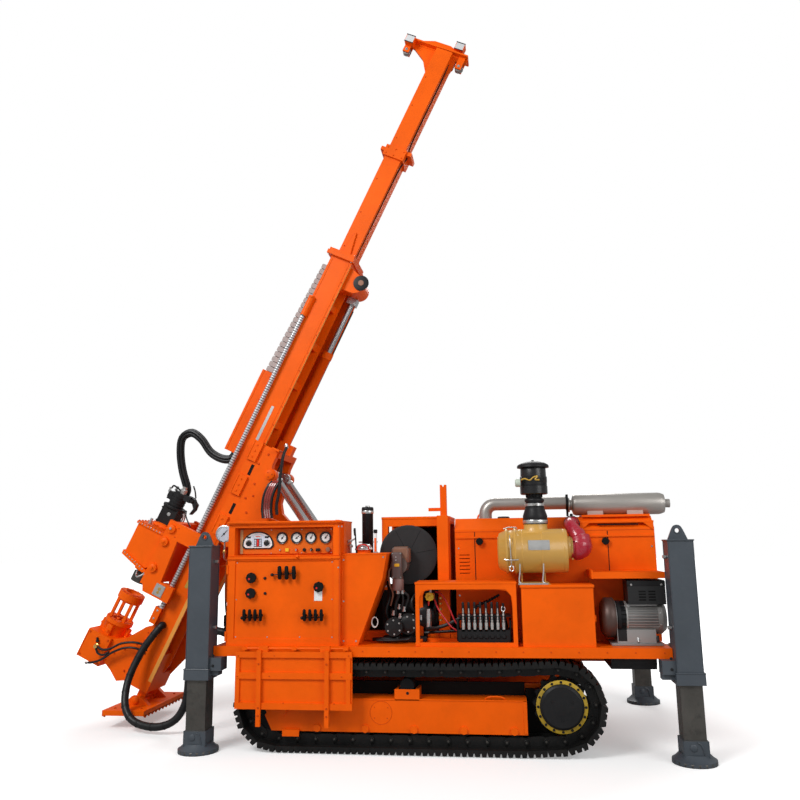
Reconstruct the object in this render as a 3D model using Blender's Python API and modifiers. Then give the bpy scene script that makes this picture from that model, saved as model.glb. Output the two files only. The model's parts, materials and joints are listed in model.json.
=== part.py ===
# Core drilling rig on crawler tracks, with a tilting and sliding mast.
# Metres, +Z up, +X towards the engine end, -Y the operator's side.
import math

import bmesh
import bpy
from mathutils import Matrix, Vector

# Driving sizes
GAP = 0.0003
DECK_X = (-1.15, 2.56)
DECK_Y = 1.08
DECK_TOP = 0.825
DECK_THICK = 0.08
TRACK_X = (-0.615, 1.700)
TRACK_END_Z = (0.356, 0.375)
TRACK_END_R = 0.300
TRACK_Y = (0.70, 1.10)
SHOE_PITCH = 0.154
LUG_HEIGHT = 0.026
SHOE_THICK = 0.030
JACK_X = (-1.25, 2.66)
JACK_Y = 1.09
JACK_SIDE = 0.19
JACK_TOP = 1.655
JACK_BOTTOM = 0.60
MAST_LEAN = math.radians(25.6)
MAST_PIVOT = (-0.803, 0.0, 1.761)
MAST_DATUM = (-0.35, 0.0, 0.45)
MAST_FRONT = -0.45
MAST_REAR = -0.215
MAST_HALF = 0.21
MAST_Z = (-2.37, 2.30)
EXTENSION_Z = (2.345, 4.86)
TILT_FOOT = (0.055, 0.19, 0.93)
TILT_EYE = (-0.924, 0.19, 2.318)
TILT_BARREL = 1.06
SPINDLE_X = -0.87
SHEAVES = (("front", -0.77), ("rear", -0.15))
SHEAVE_Z = 4.77
GUIDE_ROD = (-0.46, 0.24, 0.018)
FOOT_AXIS = (-2.24, 0.0, 0.215)
WINCH = (0.44, -0.30, 1.555)
PLATFORM_AXIS = (-0.44, -1.125, 0.815)

ORANGE = ("orange_paint", (0.83, 0.115, 0.010), 0.0, 0.42)
SLATE = ("slate_paint", (0.058, 0.068, 0.080), 0.0, 0.5)
BLACK = ("black_parts", (0.012, 0.012, 0.013), 0.0, 0.55)
TRACK = ("track_steel", (0.020, 0.019, 0.018), 0.4, 0.6)
STEEL = ("bright_steel", (0.62, 0.62, 0.60), 1.0, 0.28)
TAN = ("tan_paint", (0.58, 0.32, 0.07), 0.0, 0.45)
RUBBER = ("black_rubber", (0.010, 0.010, 0.010), 0.0, 0.75)
CRIMSON = ("crimson_rubber", (0.36, 0.012, 0.022), 0.0, 0.4)
CASTING = ("grey_casting", (0.40, 0.41, 0.42), 0.6, 0.5)


def clear_scene():
    for obj in list(bpy.data.objects):
        bpy.data.objects.remove(obj, do_unlink=True)


def new_collection(name, hidden=False):
    found = bpy.data.collections.new(name)
    bpy.context.scene.collection.children.link(found)
    found.hide_render = hidden
    return found


def material(look):
    name, colour, metallic, roughness = look
    found = bpy.data.materials.get(name)
    if found:
        return found
    found = bpy.data.materials.new(name)
    found.use_nodes = True
    shader = found.node_tree.nodes["Principled BSDF"]
    shader.inputs["Base Color"].default_value = (*colour, 1.0)
    shader.inputs["Metallic"].default_value = metallic
    shader.inputs["Roughness"].default_value = roughness
    return found


def add(name, bm, look, parent=None, centre=(0, 0, 0), smooth=False):
    bmesh.ops.recalc_face_normals(bm, faces=bm.faces)
    mesh = bpy.data.meshes.new(name)
    bm.to_mesh(mesh)
    bm.free()
    obj = bpy.data.objects.new(name, mesh)
    RIG.objects.link(obj)
    obj.location = centre
    obj.parent = parent
    mesh.materials.append(material(look))
    if smooth:
        mesh.polygons.foreach_set("use_smooth", [True] * len(mesh.polygons))
        mesh.set_sharp_from_angle(angle=math.radians(35))
    return obj


def empty(name, place, parent=None, turn=(0, 0, 0)):
    obj = bpy.data.objects.new(name, None)
    RIG.objects.link(obj)
    obj.location = place
    obj.rotation_euler = turn
    obj.parent = parent
    return obj


def box(name, low, high, look=ORANGE, parent=None, bevel=0.0):
    middle = [(a + b) / 2 for a, b in zip(low, high)]
    size = [b - a for a, b in zip(low, high)]
    bm = bmesh.new()
    bmesh.ops.create_cube(bm, size=1.0)
    bmesh.ops.scale(bm, vec=size, verts=bm.verts)
    obj = add(name, bm, look, parent, middle)
    if bevel:
        edge = obj.modifiers.new("edge", "BEVEL")
        edge.width = bevel
        edge.segments = 2
    return obj


def prism(name, points, low, high, look=ORANGE, parent=None, axis="y", smooth=False):
    """A flat outline pushed along an axis. The outline is (x, z) for y, (y, z) for x and (x, y) for z."""
    lift = {
        "y": lambda a, b, c: (a, c, b),
        "x": lambda a, b, c: (c, a, b),
        "z": lambda a, b, c: (a, b, c),
    }[axis]
    bm = bmesh.new()
    ring = [bm.verts.new(lift(a, b, low)) for a, b in points]
    face = bm.faces.new(ring)
    made = bmesh.ops.extrude_face_region(bm, geom=[face])
    moved = [v for v in made["geom"] if isinstance(v, bmesh.types.BMVert)]
    shift = Vector(lift(0, 0, high)) - Vector(lift(0, 0, low))
    bmesh.ops.translate(bm, vec=shift, verts=moved)
    return add(name, bm, look, parent, smooth=smooth)


def rod(name, start, end, radius, look=ORANGE, parent=None, steps=24, radius_end=None):
    start, end = Vector(start), Vector(end)
    along = end - start
    bm = bmesh.new()
    bmesh.ops.create_cone(
        bm,
        cap_ends=True,
        segments=steps,
        radius1=radius,
        radius2=radius if radius_end is None else radius_end,
        depth=along.length,
    )
    turn = along.to_track_quat("Z", "Y").to_matrix().to_4x4()
    bmesh.ops.transform(bm, matrix=turn, verts=bm.verts)
    return add(name, bm, look, parent, (start + end) / 2, smooth=True)


def helpers(target, parts, operation):
    group = new_collection(f"{target.name}_{operation.lower()}", hidden=True)
    for part in parts:
        RIG.objects.unlink(part)
        group.objects.link(part)
        part.hide_render = True
        part.display_type = "WIRE"
    step = target.modifiers.new(operation.lower(), "BOOLEAN")
    step.operation = operation
    step.solver = "EXACT"
    step.operand_type = "COLLECTION"
    step.collection = group
    return target


def fuse(target, *parts):
    return helpers(target, parts, "UNION")


def cut(target, *parts):
    return helpers(target, parts, "DIFFERENCE")


def track_path():
    """Points and outward directions round the belt line, one per half shoe."""
    x0, x1 = TRACK_X
    z0, z1 = TRACK_END_Z
    radius = TRACK_END_R
    line = []

    def arc(cx, cz, r, a0, a1):
        count = 24
        for i in range(count + 1):
            a = math.radians(a0 + (a1 - a0) * i / count)
            line.append((cx + r * math.cos(a), cz + r * math.sin(a)))

    arc(x1, z1, radius, -85, 88)
    line.append((0.535, 0.645))
    arc(x0, z0, radius, 93, 270)
    base = SHOE_THICK + LUG_HEIGHT
    line.append((x1 - 0.30, base))
    return line


def resample(line, count):
    line = line + [line[0]]
    lengths = [math.dist(a, b) for a, b in zip(line, line[1:])]
    step = sum(lengths) / count
    points = []
    i, used = 0, 0.0
    for k in range(count):
        want = k * step
        while used + lengths[i] < want:
            used += lengths[i]
            i += 1
        f = (want - used) / lengths[i]
        a, b = line[i], line[i + 1]
        points.append((a[0] + (b[0] - a[0]) * f, a[1] + (b[1] - a[1]) * f))
    return points


def track(name, side):
    line = track_path()
    total = sum(math.dist(a, b) for a, b in zip(line, line[1:] + line[:1]))
    shoes = round(total / SHOE_PITCH)
    points = resample(line, shoes * 4)
    outer, inner = [], []
    count = len(points)
    for i, (x, z) in enumerate(points):
        bx, bz = points[i - 1]
        ax, az = points[(i + 1) % count]
        tx, tz = ax - bx, az - bz
        size = math.hypot(tx, tz)
        nx, nz = tz / size, -tx / size
        out = SHOE_THICK + (LUG_HEIGHT if i % 4 in (0, 1) else 0.0)
        outer.append((x + nx * out, z + nz * out))
        if i % 2 == 0:
            inner.append((x - nx * 0.012, z - nz * 0.012))
    lo, hi = sorted((side * TRACK_Y[0], side * TRACK_Y[1]))
    body = prism(name, outer, lo, hi, TRACK)
    hole = prism(name + "_inside", inner, lo - 0.05, hi + 0.05, TRACK)
    return cut(body, hole)


def end_wheel(name, x, z, side, radius, look):
    wheel = rod(name, (x, side * 0.76, z), (x, side * 1.06, z), radius, look, steps=36)
    hub = rod(name + "_hub", (x, side * 1.00, z), (x, side * 1.10, z), 0.19, look, steps=36)
    return fuse(wheel, hub)


def track_frame(name, side):
    inner, outer = sorted((side * 0.78, side * 1.00))
    profile = [
        (-0.60, 0.40),
        (-0.72, 0.24),
        (-0.66, 0.15),
        (1.43, 0.15),
        (1.43, 0.41),
        (-0.60, 0.41),
    ]
    beam = prism(name, profile, inner, outer)
    rollers = []
    for k, x in enumerate((-0.275, 0.125, 0.525, 0.925, 1.325)):
        rollers.append(
            rod(f"{name}_roller_{k}", (x, side * 0.76, 0.145), (x, side * 1.03, 0.145), 0.0762)
        )
    near, far = sorted((side * 0.70, side * 0.7597))
    rollers.append(box(f"{name}_final_drive", (1.25, near, 0.24), (1.84, far, 0.50)))
    near, far = sorted((side * 0.70, side * 0.80))
    rollers.append(box(f"{name}_drive_root", (1.22, near, 0.22), (1.42, far, 0.40)))
    rollers.append(box(f"{name}_carrier_post", (0.36, inner, 0.40), (0.59, outer, 0.50)))
    rollers.append(rod(f"{name}_carrier", (0.47, side * 0.79, 0.545), (0.47, side * 1.01, 0.545), 0.062))
    rollers.append(end_wheel(f"{name}_idler", TRACK_X[0], TRACK_END_Z[0], side, 0.255, ORANGE))
    return fuse(beam, *rollers)


def build_undercarriage():
    frame = box("undercarriage_frame", (-0.35, -0.62, 0.44), (1.30, 0.62, 0.64), ORANGE)
    arms = []
    for k, x in enumerate((-0.05, 1.05)):
        arms.append(box(f"cross_arm_{k}", (x - 0.10, -0.7797, 0.27), (x + 0.10, 0.7797, 0.50)))
    fuse(frame, *arms)
    for side, word in ((-1, "left"), (1, "right")):
        track_frame(f"track_frame_{word}", side)
        track(f"track_{word}", side)
        end_wheel(f"drive_sprocket_{word}", TRACK_X[1], TRACK_END_Z[1], side, 0.255, BLACK)


def build_deck():
    top, thick = DECK_TOP, DECK_THICK
    deck = box("deck_frame", (DECK_X[0], -DECK_Y, top - thick), (DECK_X[1], DECK_Y, top))
    rails = []
    for k, y in enumerate((-0.42, 0.42)):
        rails.append(box(f"deck_rail_{k}", (-1.05, y - 0.08, 0.6403), (2.45, y + 0.08, top - thick + 0.02)))
    px, py, pz = PLATFORM_AXIS
    for k, x in enumerate((-0.88, -0.46, -0.03)):
        rails.append(box(f"platform_lug_{k}", (x, py - 0.0125, pz - 0.0125), (x + 0.04, -1.05, pz + 0.0085)))
    rails.append(rod("platform_pin", (-0.88, py, pz), (0.01, py, pz), 0.01))
    for side in (-1, 1):
        for k, y in enumerate((0.095, 0.26)):
            low, high = sorted((side * y, side * (y + 0.025)))
            rails.append(box(f"tilt_lug_{side}_{k}", (-0.03, low, top - 0.02), (0.14, high, 0.99)))
        rails.append(rod(f"tilt_foot_pin_{side}", (TILT_FOOT[0], side * 0.085, TILT_FOOT[2]),
                         (TILT_FOOT[0], side * 0.295, TILT_FOOT[2]), 0.026))
    fuse(deck, *rails)
    box("under_tray", (2.10, -1.02, 0.655), (2.45, -0.52, top - thick - GAP), BLACK)
    return deck


def build_jacks():
    half = JACK_SIDE / 2
    wall = 0.012
    spots = (
        ("front_left", JACK_X[0], -JACK_Y),
        ("front_right", JACK_X[0], JACK_Y),
        ("rear_left", JACK_X[1], -JACK_Y),
        ("rear_right", JACK_X[1], JACK_Y),
    )
    for word, x, y in spots:
        inward = 1 if x < 0 else -1
        sleeve = box(f"jack_sleeve_{word}", (x - half, y - half, JACK_BOTTOM), (x + half, y + half, JACK_TOP), SLATE)
        lug = box(f"lug_{word}", (x - 0.05, y - 0.02, JACK_TOP - 0.02), (x + 0.05, y + 0.02, JACK_TOP + 0.105), SLATE)
        collar = box(f"collar_{word}", (x - half - 0.012, y - half - 0.012, JACK_BOTTOM - 0.03),
                     (x + half + 0.012, y + half + 0.012, JACK_BOTTOM + 0.06), SLATE)
        bracket_low = (min(x, x + inward * 0.20), y - 0.08 * (1 if y > 0 else 0), 0.62)
        bracket_high = (max(x, x + inward * 0.20), y + 0.08 * (0 if y > 0 else 1), DECK_TOP - DECK_THICK - GAP)
        bracket = box(f"bracket_{word}", bracket_low, bracket_high, SLATE)
        fuse(sleeve, lug, collar, bracket)
        bore = box(f"bore_{word}", (x - half + wall, y - half + wall, JACK_BOTTOM - 0.2),
                   (x + half - wall, y + half - wall, JACK_TOP - 0.03), SLATE)
        cut(sleeve, bore)
        inner = half - wall - 0.0008
        leg = box(f"jack_leg_{word}", (x - inner, y - inner, 0.03), (x + inner, y + inner, 1.05), BLACK)
        foot = rod(f"foot_{word}", (x, y, 0.0), (x, y, 0.035), 0.165, BLACK, steps=32)
        boot = rod(f"boot_{word}", (x, y, 0.03), (x, y, 0.17), 0.125, BLACK, steps=4, radius_end=0.115)
        boot.rotation_euler = (0, 0, math.radians(45))
        fuse(leg, foot, boot)


def build_controls():
    cabinet = box("control_cabinet", (-1.055, -1.05, DECK_TOP + GAP), (-0.03, -0.55, 1.84))
    recess = box("dial_recess", (-1.00, -1.20, 1.565), (-0.135, -0.985, 1.80))
    lower = box("lever_recess", (-0.99, -1.20, 0.88), (-0.13, -1.035, 1.52))
    cut(cabinet, recess, lower)
    box("dial_panel", (-0.97, -1.000, 1.58), (-0.165, -0.9853, 1.785), CASTING)
    tank = prism(
        "hydraulic_tank",
        [(-0.0297, DECK_TOP + GAP), (0.065, DECK_TOP + GAP), (0.275, 1.36), (0.315, 1.572), (-0.0297, 1.572)],
        -1.0,
        -0.63,
    )
    rod("accumulator", (0.10, -0.72, 1.5723), (0.10, -0.72, 1.955), 0.05, BLACK)
    return tank


def build_platform():
    """The step platform folds up about the deck edge. Its two stays swing with it."""
    hinge = empty("platform_axis", PLATFORM_AXIS)
    x0, x1 = -0.93 - PLATFORM_AXIS[0], 0.045 - PLATFORM_AXIS[0]
    top, bottom = -0.024, 0.345 - PLATFORM_AXIS[2]
    plate = box("folding_platform", (x0, -0.012, bottom), (x1, 0.0, top), ORANGE, hinge)
    ribs = [
        box("platform_rib_top", (x0, -0.035, top - 0.045), (x1, -0.005, top), ORANGE, hinge),
        box("platform_rib_mid", (x0, -0.035, -0.235), (x1, -0.005, -0.185), ORANGE, hinge),
        box("platform_rib_low", (x0, -0.035, bottom), (x1, -0.005, bottom + 0.05), ORANGE, hinge),
    ]
    for k, x in enumerate((x0, x0 + 0.19, x0 + 0.40, x0 + 0.58, x1 - 0.04)):
        ribs.append(box(f"platform_rib_{k}", (x, -0.035, bottom), (x + 0.04, -0.005, top), ORANGE, hinge))
    for k, x in enumerate((-0.525, 0.045)):
        ribs.append(box(f"platform_stay_{k}", (x, -0.05, -0.60), (x + 0.04, -0.02, 0.0), ORANGE, hinge))
    for k, x in enumerate((-0.30, 0.22)):
        ribs.append(box(f"platform_knuckle_{k}", (x, -0.02, top - 0.02), (x + 0.08, 0.018, 0.02), ORANGE, hinge))
    fuse(plate, *ribs)
    cut(plate, rod("platform_bore", (-1, 0, 0), (1, 0, 0), 0.0104, ORANGE, hinge))


def build_winch():
    frame = box("winch_frame", (0.215, -0.62, 1.80), (0.825, -0.54, 1.88))
    posts = [
        box("winch_post_a", (0.215, -0.62, DECK_TOP + GAP), (0.27, -0.54, 1.82)),
        box("winch_post_b", (0.77, -0.62, DECK_TOP + GAP), (0.825, -0.54, 1.82)),
        box("winch_header_far", (0.215, 0.0, 1.80), (0.825, 0.08, 1.88)),
        box("winch_post_c", (0.215, 0.0, DECK_TOP + GAP), (0.27, 0.08, 1.82)),
        box("winch_post_d", (0.77, 0.0, DECK_TOP + GAP), (0.825, 0.08, 1.82)),
        box("winch_tie_a", (0.215, -0.60, 1.82), (0.27, 0.06, 1.87)),
        box("winch_tie_b", (0.77, -0.60, 1.82), (0.825, 0.06, 1.87)),
        box("winch_shelf", (0.215, -0.60, 1.20), (0.825, 0.06, 1.245)),
        box("winch_bearing_far", (0.37, -0.02, 1.22), (0.51, 0.02, 1.68)),
        box("winch_bearing_near", (0.37, -0.60, 1.22), (0.51, -0.565, 1.68)),
        box("winch_foot_near", (0.30, -0.60, 1.22), (0.58, -0.555, 1.27)),
        rod("winch_shaft", (0.44, -0.60, WINCH[2]), (0.44, 0.02, WINCH[2]), 0.035, STEEL),
        box("mast_rest", (0.712, -0.24, DECK_TOP + GAP), (0.772, -0.17, 2.19)),
        box("mast_rest_cap", (0.62, -0.235, 1.94), (0.73, -0.175, 2.0)),
    ]
    fuse(frame, *posts)
    x, y, z = WINCH
    drum = rod("winch_drum", (x, y - 0.19, z), (x, y + 0.20, z), 0.13, BLACK, steps=36)
    parts = [
        rod("flange_near", (x, y - 0.20, z), (x, y - 0.175, z), 0.262, BLACK, steps=48),
        rod("flange_far", (x, y + 0.19, z), (x, y + 0.215, z), 0.262, BLACK, steps=48),
    ]
    fuse(drum, *parts)
    cut(drum, rod("drum_bore", (x, -1, z), (x, 1, z), 0.0358, BLACK))
    rod("winch_motor", (x - 0.05, -0.84, z - 0.09), (x - 0.05, -0.6003, z - 0.09), 0.07, CASTING)


def build_valves():
    x0, x1, y0, y1 = 0.557, 1.38, -1.05, -0.72
    z0, z1 = DECK_TOP + GAP, 1.33
    frame = box("valve_frame", (x0, y0, z0), (x1, y1, z1))
    cut(
        frame,
        box("valve_front", (x0 + 0.035, y0 - 0.1, z0 + 0.03), (x1 - 0.035, y1 + 0.1, z1 - 0.055)),
        box("valve_side", (x0 - 0.1, y0 + 0.035, z0 + 0.03), (x1 + 0.1, y1 - 0.035, z1 - 0.055)),
        box("valve_bottom", (x0 + 0.035, y0 + 0.035, z0 - 0.1), (x1 - 0.035, y1 - 0.035, z0 + 0.2)),
    )
    bank = box("valve_bank", (0.90, -1.0, z0), (1.32, -0.80, 1.03), BLACK)
    levers = []
    for k in range(8):
        x = 0.945 + 0.043 * k
        levers.append(rod(f"valve_lever_{k}", (x, -0.96, 1.0), (x, -0.98, 1.15), 0.012, STEEL, steps=8))
    return fuse(bank, *levers)


def build_tool_box():
    box("tool_box", (1.42, -1.05, DECK_TOP + GAP), (1.99, -0.66, 1.305))


def build_hood():
    y0, y1 = -0.65, 0.75
    z0, z1, lip = DECK_TOP + GAP, 1.86, 1.76
    outline = [(y0, z0), (y1, z0), (y1, lip), (y1 - 0.12, z1), (y0 + 0.12, z1), (y0, lip)]
    hood = prism("engine_hood", outline, 0.87, 2.57, axis="x")
    wall = 0.03
    inside = [(y0 + wall, z0 - 0.2), (y1 - wall, z0 - 0.2), (y1 - wall, lip - 0.01), (y1 - 0.13, z1 - wall),
              (y0 + 0.13, z1 - wall), (y0 + wall, lip - 0.01)]
    hollow = prism("hood_inside", inside, 0.87 + wall, 2.57 - wall, axis="x")
    doors = [
        box("door_hole_a", (1.10, 0.6, 1.05), (1.65, 0.9, 1.63)),
        box("door_hole_b", (1.83, 0.6, 1.05), (2.38, 0.9, 1.63)),
    ]
    cut(hood, hollow, *doors)
    fuse(hood, box("hood_shelf", (1.9903, -0.98, 1.36), (2.5647, -0.64, 1.41)))
    box("engine_block", (1.35, -0.32, DECK_TOP + GAP), (2.30, 0.36, 1.55), CASTING)
    for k, (low, high) in enumerate(((1.055, 1.695), (1.785, 2.425))):
        axis = empty(f"hood_door_axis_{k}", ((low if k == 0 else high), 0.765, 1.34))
        x0 = 0.0 if k == 0 else low - high
        x1 = high - low if k == 0 else 0.0
        box(f"hood_door_{'ab'[k]}", (x0, -0.0145, -0.335), (x1, 0.010, 0.335), ORANGE, axis)


def build_air_intake():
    y = -0.86
    cleaner = rod("air_cleaner", (1.245, y, 1.575), (1.815, y, 1.575), 0.18, TAN, steps=40)
    legs = [box("cleaner_leg_a", (1.40, y - 0.05, 1.3053), (1.46, y + 0.05, 1.45), TAN),
            box("cleaner_leg_b", (1.58, y - 0.05, 1.3053), (1.64, y + 0.05, 1.45), TAN)]
    neck = rod("cleaner_neck", (1.52, y, 1.70), (1.52, y, 1.79), 0.095, TAN)
    fuse(cleaner, *legs, neck)
    stack = rod("pre_cleaner", (1.52, y, 1.7903), (1.52, y, 2.00), 0.075, BLACK)
    parts = [
        rod("pre_cleaner_bowl", (1.53, y, 1.99), (1.53, y, 2.26), 0.105, BLACK, steps=32),
        rod("pre_cleaner_cap", (1.53, y, 2.25), (1.53, y, 2.32), 0.13, BLACK, steps=32, radius_end=0.115),
    ]
    fuse(stack, *parts)
    elbow = rod("intake_elbow", (1.8153, y, 1.60), (1.93, y, 1.60), 0.085, CRIMSON)
    return elbow


def build_exhaust():
    y, z = -0.45, 1.98
    pipe = rod("exhaust_pipe", (1.14, y, 1.8603), (1.14, y, z), 0.045, STEEL)
    run = rod("exhaust_run", (1.11, y, z), (1.90, y, z), 0.05, STEEL)
    fuse(pipe, run)
    muffler = rod("muffler", (1.9003, y, 1.965), (2.70, y, 1.965), 0.088, STEEL, steps=32)
    feet = [box("muffler_foot_a", (2.02, y - 0.05, 1.8603), (2.14, y + 0.05, 1.92), STEEL),
            box("muffler_foot_b", (2.38, y - 0.05, 1.8603), (2.50, y + 0.05, 1.92), STEEL)]
    fuse(muffler, *feet)


def build_generator():
    y = -0.84
    body = rod("generator", (2.06, y, 1.035), (2.57, y, 1.035), 0.125, CASTING, steps=32)
    bell = rod("generator_bell", (2.06, y, 1.035), (2.15, y, 1.035), 0.155, CASTING, steps=32)
    feet = box("generator_feet", (2.16, y - 0.10, DECK_TOP + GAP), (2.48, y + 0.10, 0.95), CASTING)
    terminals = box("generator_terminals", (2.28, y - 0.10, 1.12), (2.56, y + 0.10, 1.33), BLACK)
    fuse(body, bell, feet, terminals)


def build_trestle():
    outline = [(-1.10, DECK_TOP + GAP), (-0.30, DECK_TOP + GAP), (-0.36, 0.95), (-0.70, 1.84),
               (-0.90, 1.84), (-1.08, 1.60)]
    near = prism("mast_trestle", outline, -0.44, -0.40)
    parts = [
        prism("trestle_far", outline, 0.40, 0.44),
        box("trestle_base", (-1.05, -0.43, DECK_TOP + GAP), (-0.40, 0.43, 0.87)),
        rod("trestle_pin", (MAST_PIVOT[0], -0.47, MAST_PIVOT[2]), (MAST_PIVOT[0], 0.47, MAST_PIVOT[2]), 0.045),
    ]
    fuse(near, *parts)
    return near


def build_bracket(datum):
    """The carriage that tilts on the trestle and guides the mast."""
    outline = [(-0.29, 0.24), (-0.29, -0.72), (-0.10, -0.80), (0.20, -0.66), (0.43, -0.50), (0.42, -0.38),
               (0.33, -0.34), (0.13, -0.42), (0.06, -0.10), (0.06, 0.05), (-0.02, 0.07), (-0.06, 0.24)]
    near = prism("mast_bracket", outline, -0.33, -0.245, ORANGE, datum)
    tie = box("bracket_tie", (-0.06, -0.30, -0.70), (0.02, 0.30, -0.56), ORANGE, datum)
    tie_high = box("bracket_tie_high", (-0.09, -0.30, 0.175), (-0.01, 0.30, 0.235), ORANGE, datum)
    pin = rod("bracket_boss_near", (0, -0.345, 0), (0, -0.28, 0), 0.05, ORANGE, datum)
    boss = rod("bracket_boss_far", (0, 0.28, 0), (0, 0.345, 0), 0.05, ORANGE, datum)
    far = prism("bracket_far", outline, 0.245, 0.33, ORANGE, datum)
    pads = []
    for side in (-1, 1):
        low, high = sorted((side * (MAST_HALF + 0.0005), side * 0.26))
        for k, z in enumerate((-0.70, -0.28, 0.08)):
            pads.append(box(f"guide_pad_{side}_{k}", (-0.28, low, z), (-0.22, high, z + 0.14), ORANGE, datum))
    fuse(near, tie, tie_high, pin, boss, far, *pads)
    bore = rod("bracket_bore", (0.35, -0.5, -0.45), (0.35, 0.5, -0.45), 0.046, ORANGE, datum)
    cut(near, bore)


def guide_rods(datum):
    x, y, radius = GUIDE_ROD
    parts = []
    for side, word in ((-1, "left"), (1, "right")):
        parts.append(rod(f"guide_rod_{word}", (x, side * y, -1.72), (x, side * y, 1.72), radius, STEEL, datum))
        for k, z in enumerate((-1.74, 1.60)):
            near, far = sorted((side * 0.19, side * 0.265))
            parts.append(box(f"rod_holder_{word}_{k}", (-0.49, near, z), (-0.42, far, z + 0.14), ORANGE, datum))
    return parts


def build_mast(datum):
    beam = box("mast", (MAST_FRONT, -MAST_HALF, MAST_Z[0]), (MAST_REAR, MAST_HALF, MAST_Z[1]), ORANGE, datum)
    parts = [
        box("mast_spine", (MAST_REAR - 0.02, -0.12, -0.55), (-0.10, 0.12, 2.28), ORANGE, datum),
        box("foot_lug_near", (-0.318, -0.14, -2.50), (-0.238, -0.10, -2.30), ORANGE, datum),
        box("foot_lug_far", (-0.318, 0.10, -2.50), (-0.238, 0.14, -2.30), ORANGE, datum),
        *guide_rods(datum),
        box("mast_head_flange", (-0.50, -0.25, 2.28), (-0.20, 0.25, 2.32), ORANGE, datum),
    ]
    fuse(beam, *parts)
    cut(beam, rod("foot_pin_hole", (-0.278, -0.2, -2.465), (-0.278, 0.2, -2.465), 0.0257, ORANGE, datum))
    tube = box("mast_extension", (-0.44, -0.105, 2.3203), (-0.255, 0.105, EXTENSION_Z[1]), ORANGE, datum)
    more = [
        box("extension_flange", (-0.49, -0.24, 2.3203), (-0.21, 0.24, 2.35), ORANGE, datum),
        box("extension_collar", (-0.47, -0.135, 3.55), (-0.225, 0.135, 3.68), ORANGE, datum),
        prism("crown", [(-0.81, 4.90), (-0.81, 4.84), (-0.45, 4.78), (-0.25, 4.78), (-0.10, 4.84), (-0.10, 4.90),
                        (-0.30, 4.98), (-0.50, 4.98)], -0.08, 0.08, ORANGE, datum),
    ]
    for word, x in SHEAVES:
        for k, y in enumerate((-0.04, 0.03)):
            more.append(box(f"sheave_cheek_{word}_{k}", (x - 0.03, y, SHEAVE_Z - 0.025), (x + 0.03, y + 0.01, 4.87),
                            ORANGE, datum))
        more.append(rod(f"sheave_pin_{word}", (x, -0.045, SHEAVE_Z), (x, 0.045, SHEAVE_Z), 0.012, ORANGE, datum))
    fuse(tube, *more)
    for word, x in SHEAVES:
        axis = empty(f"sheave_axis_{word}", (x, 0, SHEAVE_Z), datum)
        wheel = rod(f"crown_sheave_{word}", (0, -0.022, 0), (0, 0.022, 0), 0.045, CASTING, axis)
        cut(wheel, rod(f"sheave_bore_{word}", (0, -0.1, 0), (0, 0.1, 0), 0.0125, CASTING, axis))


def build_slide_cylinder(datum):
    barrel = rod("slide_cylinder_barrel", (-0.04, 0, 0.30), (-0.04, 0, 1.35), 0.052, ORANGE, datum)
    cut(barrel, rod("slide_bore", (-0.04, 0, 0.36), (-0.04, 0, 1.45), 0.0292, ORANGE, datum))
    eye = box("slide_cylinder_foot", (-0.09, -0.05, 0.2353), (0.01, 0.05, 0.33), ORANGE, datum)
    fuse(barrel, eye)
    shaft = rod("slide_cylinder_rod", (-0.04, 0, 0.48), (-0.04, 0, 1.96), 0.028, STEEL, datum)
    fuse(shaft, box("slide_rod_clevis", (-0.0997, -0.06, 1.90), (0.0, 0.06, 2.05), ORANGE, datum))


def build_head(datum):
    z = -1.12
    carriage = box("head_carriage", (-0.60, -0.30, -1.50), (-0.5, 0.30, -0.80), ORANGE, datum)
    parts = [
        box("carriage_cheek_near", (-0.62, -0.32, -1.50), (-0.32, -0.27, -0.80), ORANGE, datum),
        box("carriage_cheek_far", (-0.62, 0.27, -1.50), (-0.32, 0.32, -0.80), ORANGE, datum),
    ]
    x, y, radius = GUIDE_ROD
    for k, low in enumerate((-1.47, -0.98)):
        for side in (-1, 1):
            near, far = sorted((side * 0.2155, side * 0.28))
            parts.append(box(f"carriage_shoe_{k}_{side}", (-0.51, near, low), (-0.42, far, low + 0.15), ORANGE, datum))
    fuse(carriage, *parts)
    cut(carriage, *[rod(f"shoe_bore_{side}", (x, side * y, -2), (x, side * y, 0), radius + 0.0007, ORANGE, datum)
                    for side in (-1, 1)])
    outline = [(-1.02, -1.27), (-1.02, -0.95), (-0.6203, -0.95), (-0.6203, -1.20), (-0.70, -1.33)]
    gear = prism("rotary_head", outline, -0.28, 0.20, ORANGE, datum)
    bore = rod("head_bore", (SPINDLE_X, 0, -1.6), (SPINDLE_X, 0, -0.6), 0.0567, ORANGE, datum)
    cut(gear, bore)
    rod("head_motor", (SPINDLE_X + 0.12, 0.10, -0.9497), (SPINDLE_X + 0.12, 0.10, -0.60), 0.085, BLACK, datum)
    axis = empty("spindle_axis", (SPINDLE_X, 0, z), datum)
    spindle = rod("spindle", (0, 0, -0.38), (0, 0, 0.30), 0.056, STEEL, axis)
    fuse(spindle, rod("chuck", (0, 0, -0.40), (0, 0, -0.22), 0.09, BLACK, axis))


def build_clamp(datum):
    arm = box("rod_clamp", (-0.66, -0.16, -2.36), (-0.4503, 0.16, -1.85), ORANGE, datum)
    parts = [
        box("clamp_body", (-1.03, -0.19, -2.37), (-0.62, 0.19, -2.10), ORANGE, datum),
        rod("clamp_barrel", (SPINDLE_X, 0, -2.15), (SPINDLE_X, 0, -1.90), 0.12, ORANGE, datum),
        rod("clamp_ring", (SPINDLE_X, 0, -1.92), (SPINDLE_X, 0, -1.70), 0.115, ORANGE, datum),
    ]
    fuse(arm, *parts)
    cut(arm, rod("clamp_bore", (SPINDLE_X, 0, -2.6), (SPINDLE_X, 0, -1.4), 0.05, ORANGE, datum))


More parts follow.
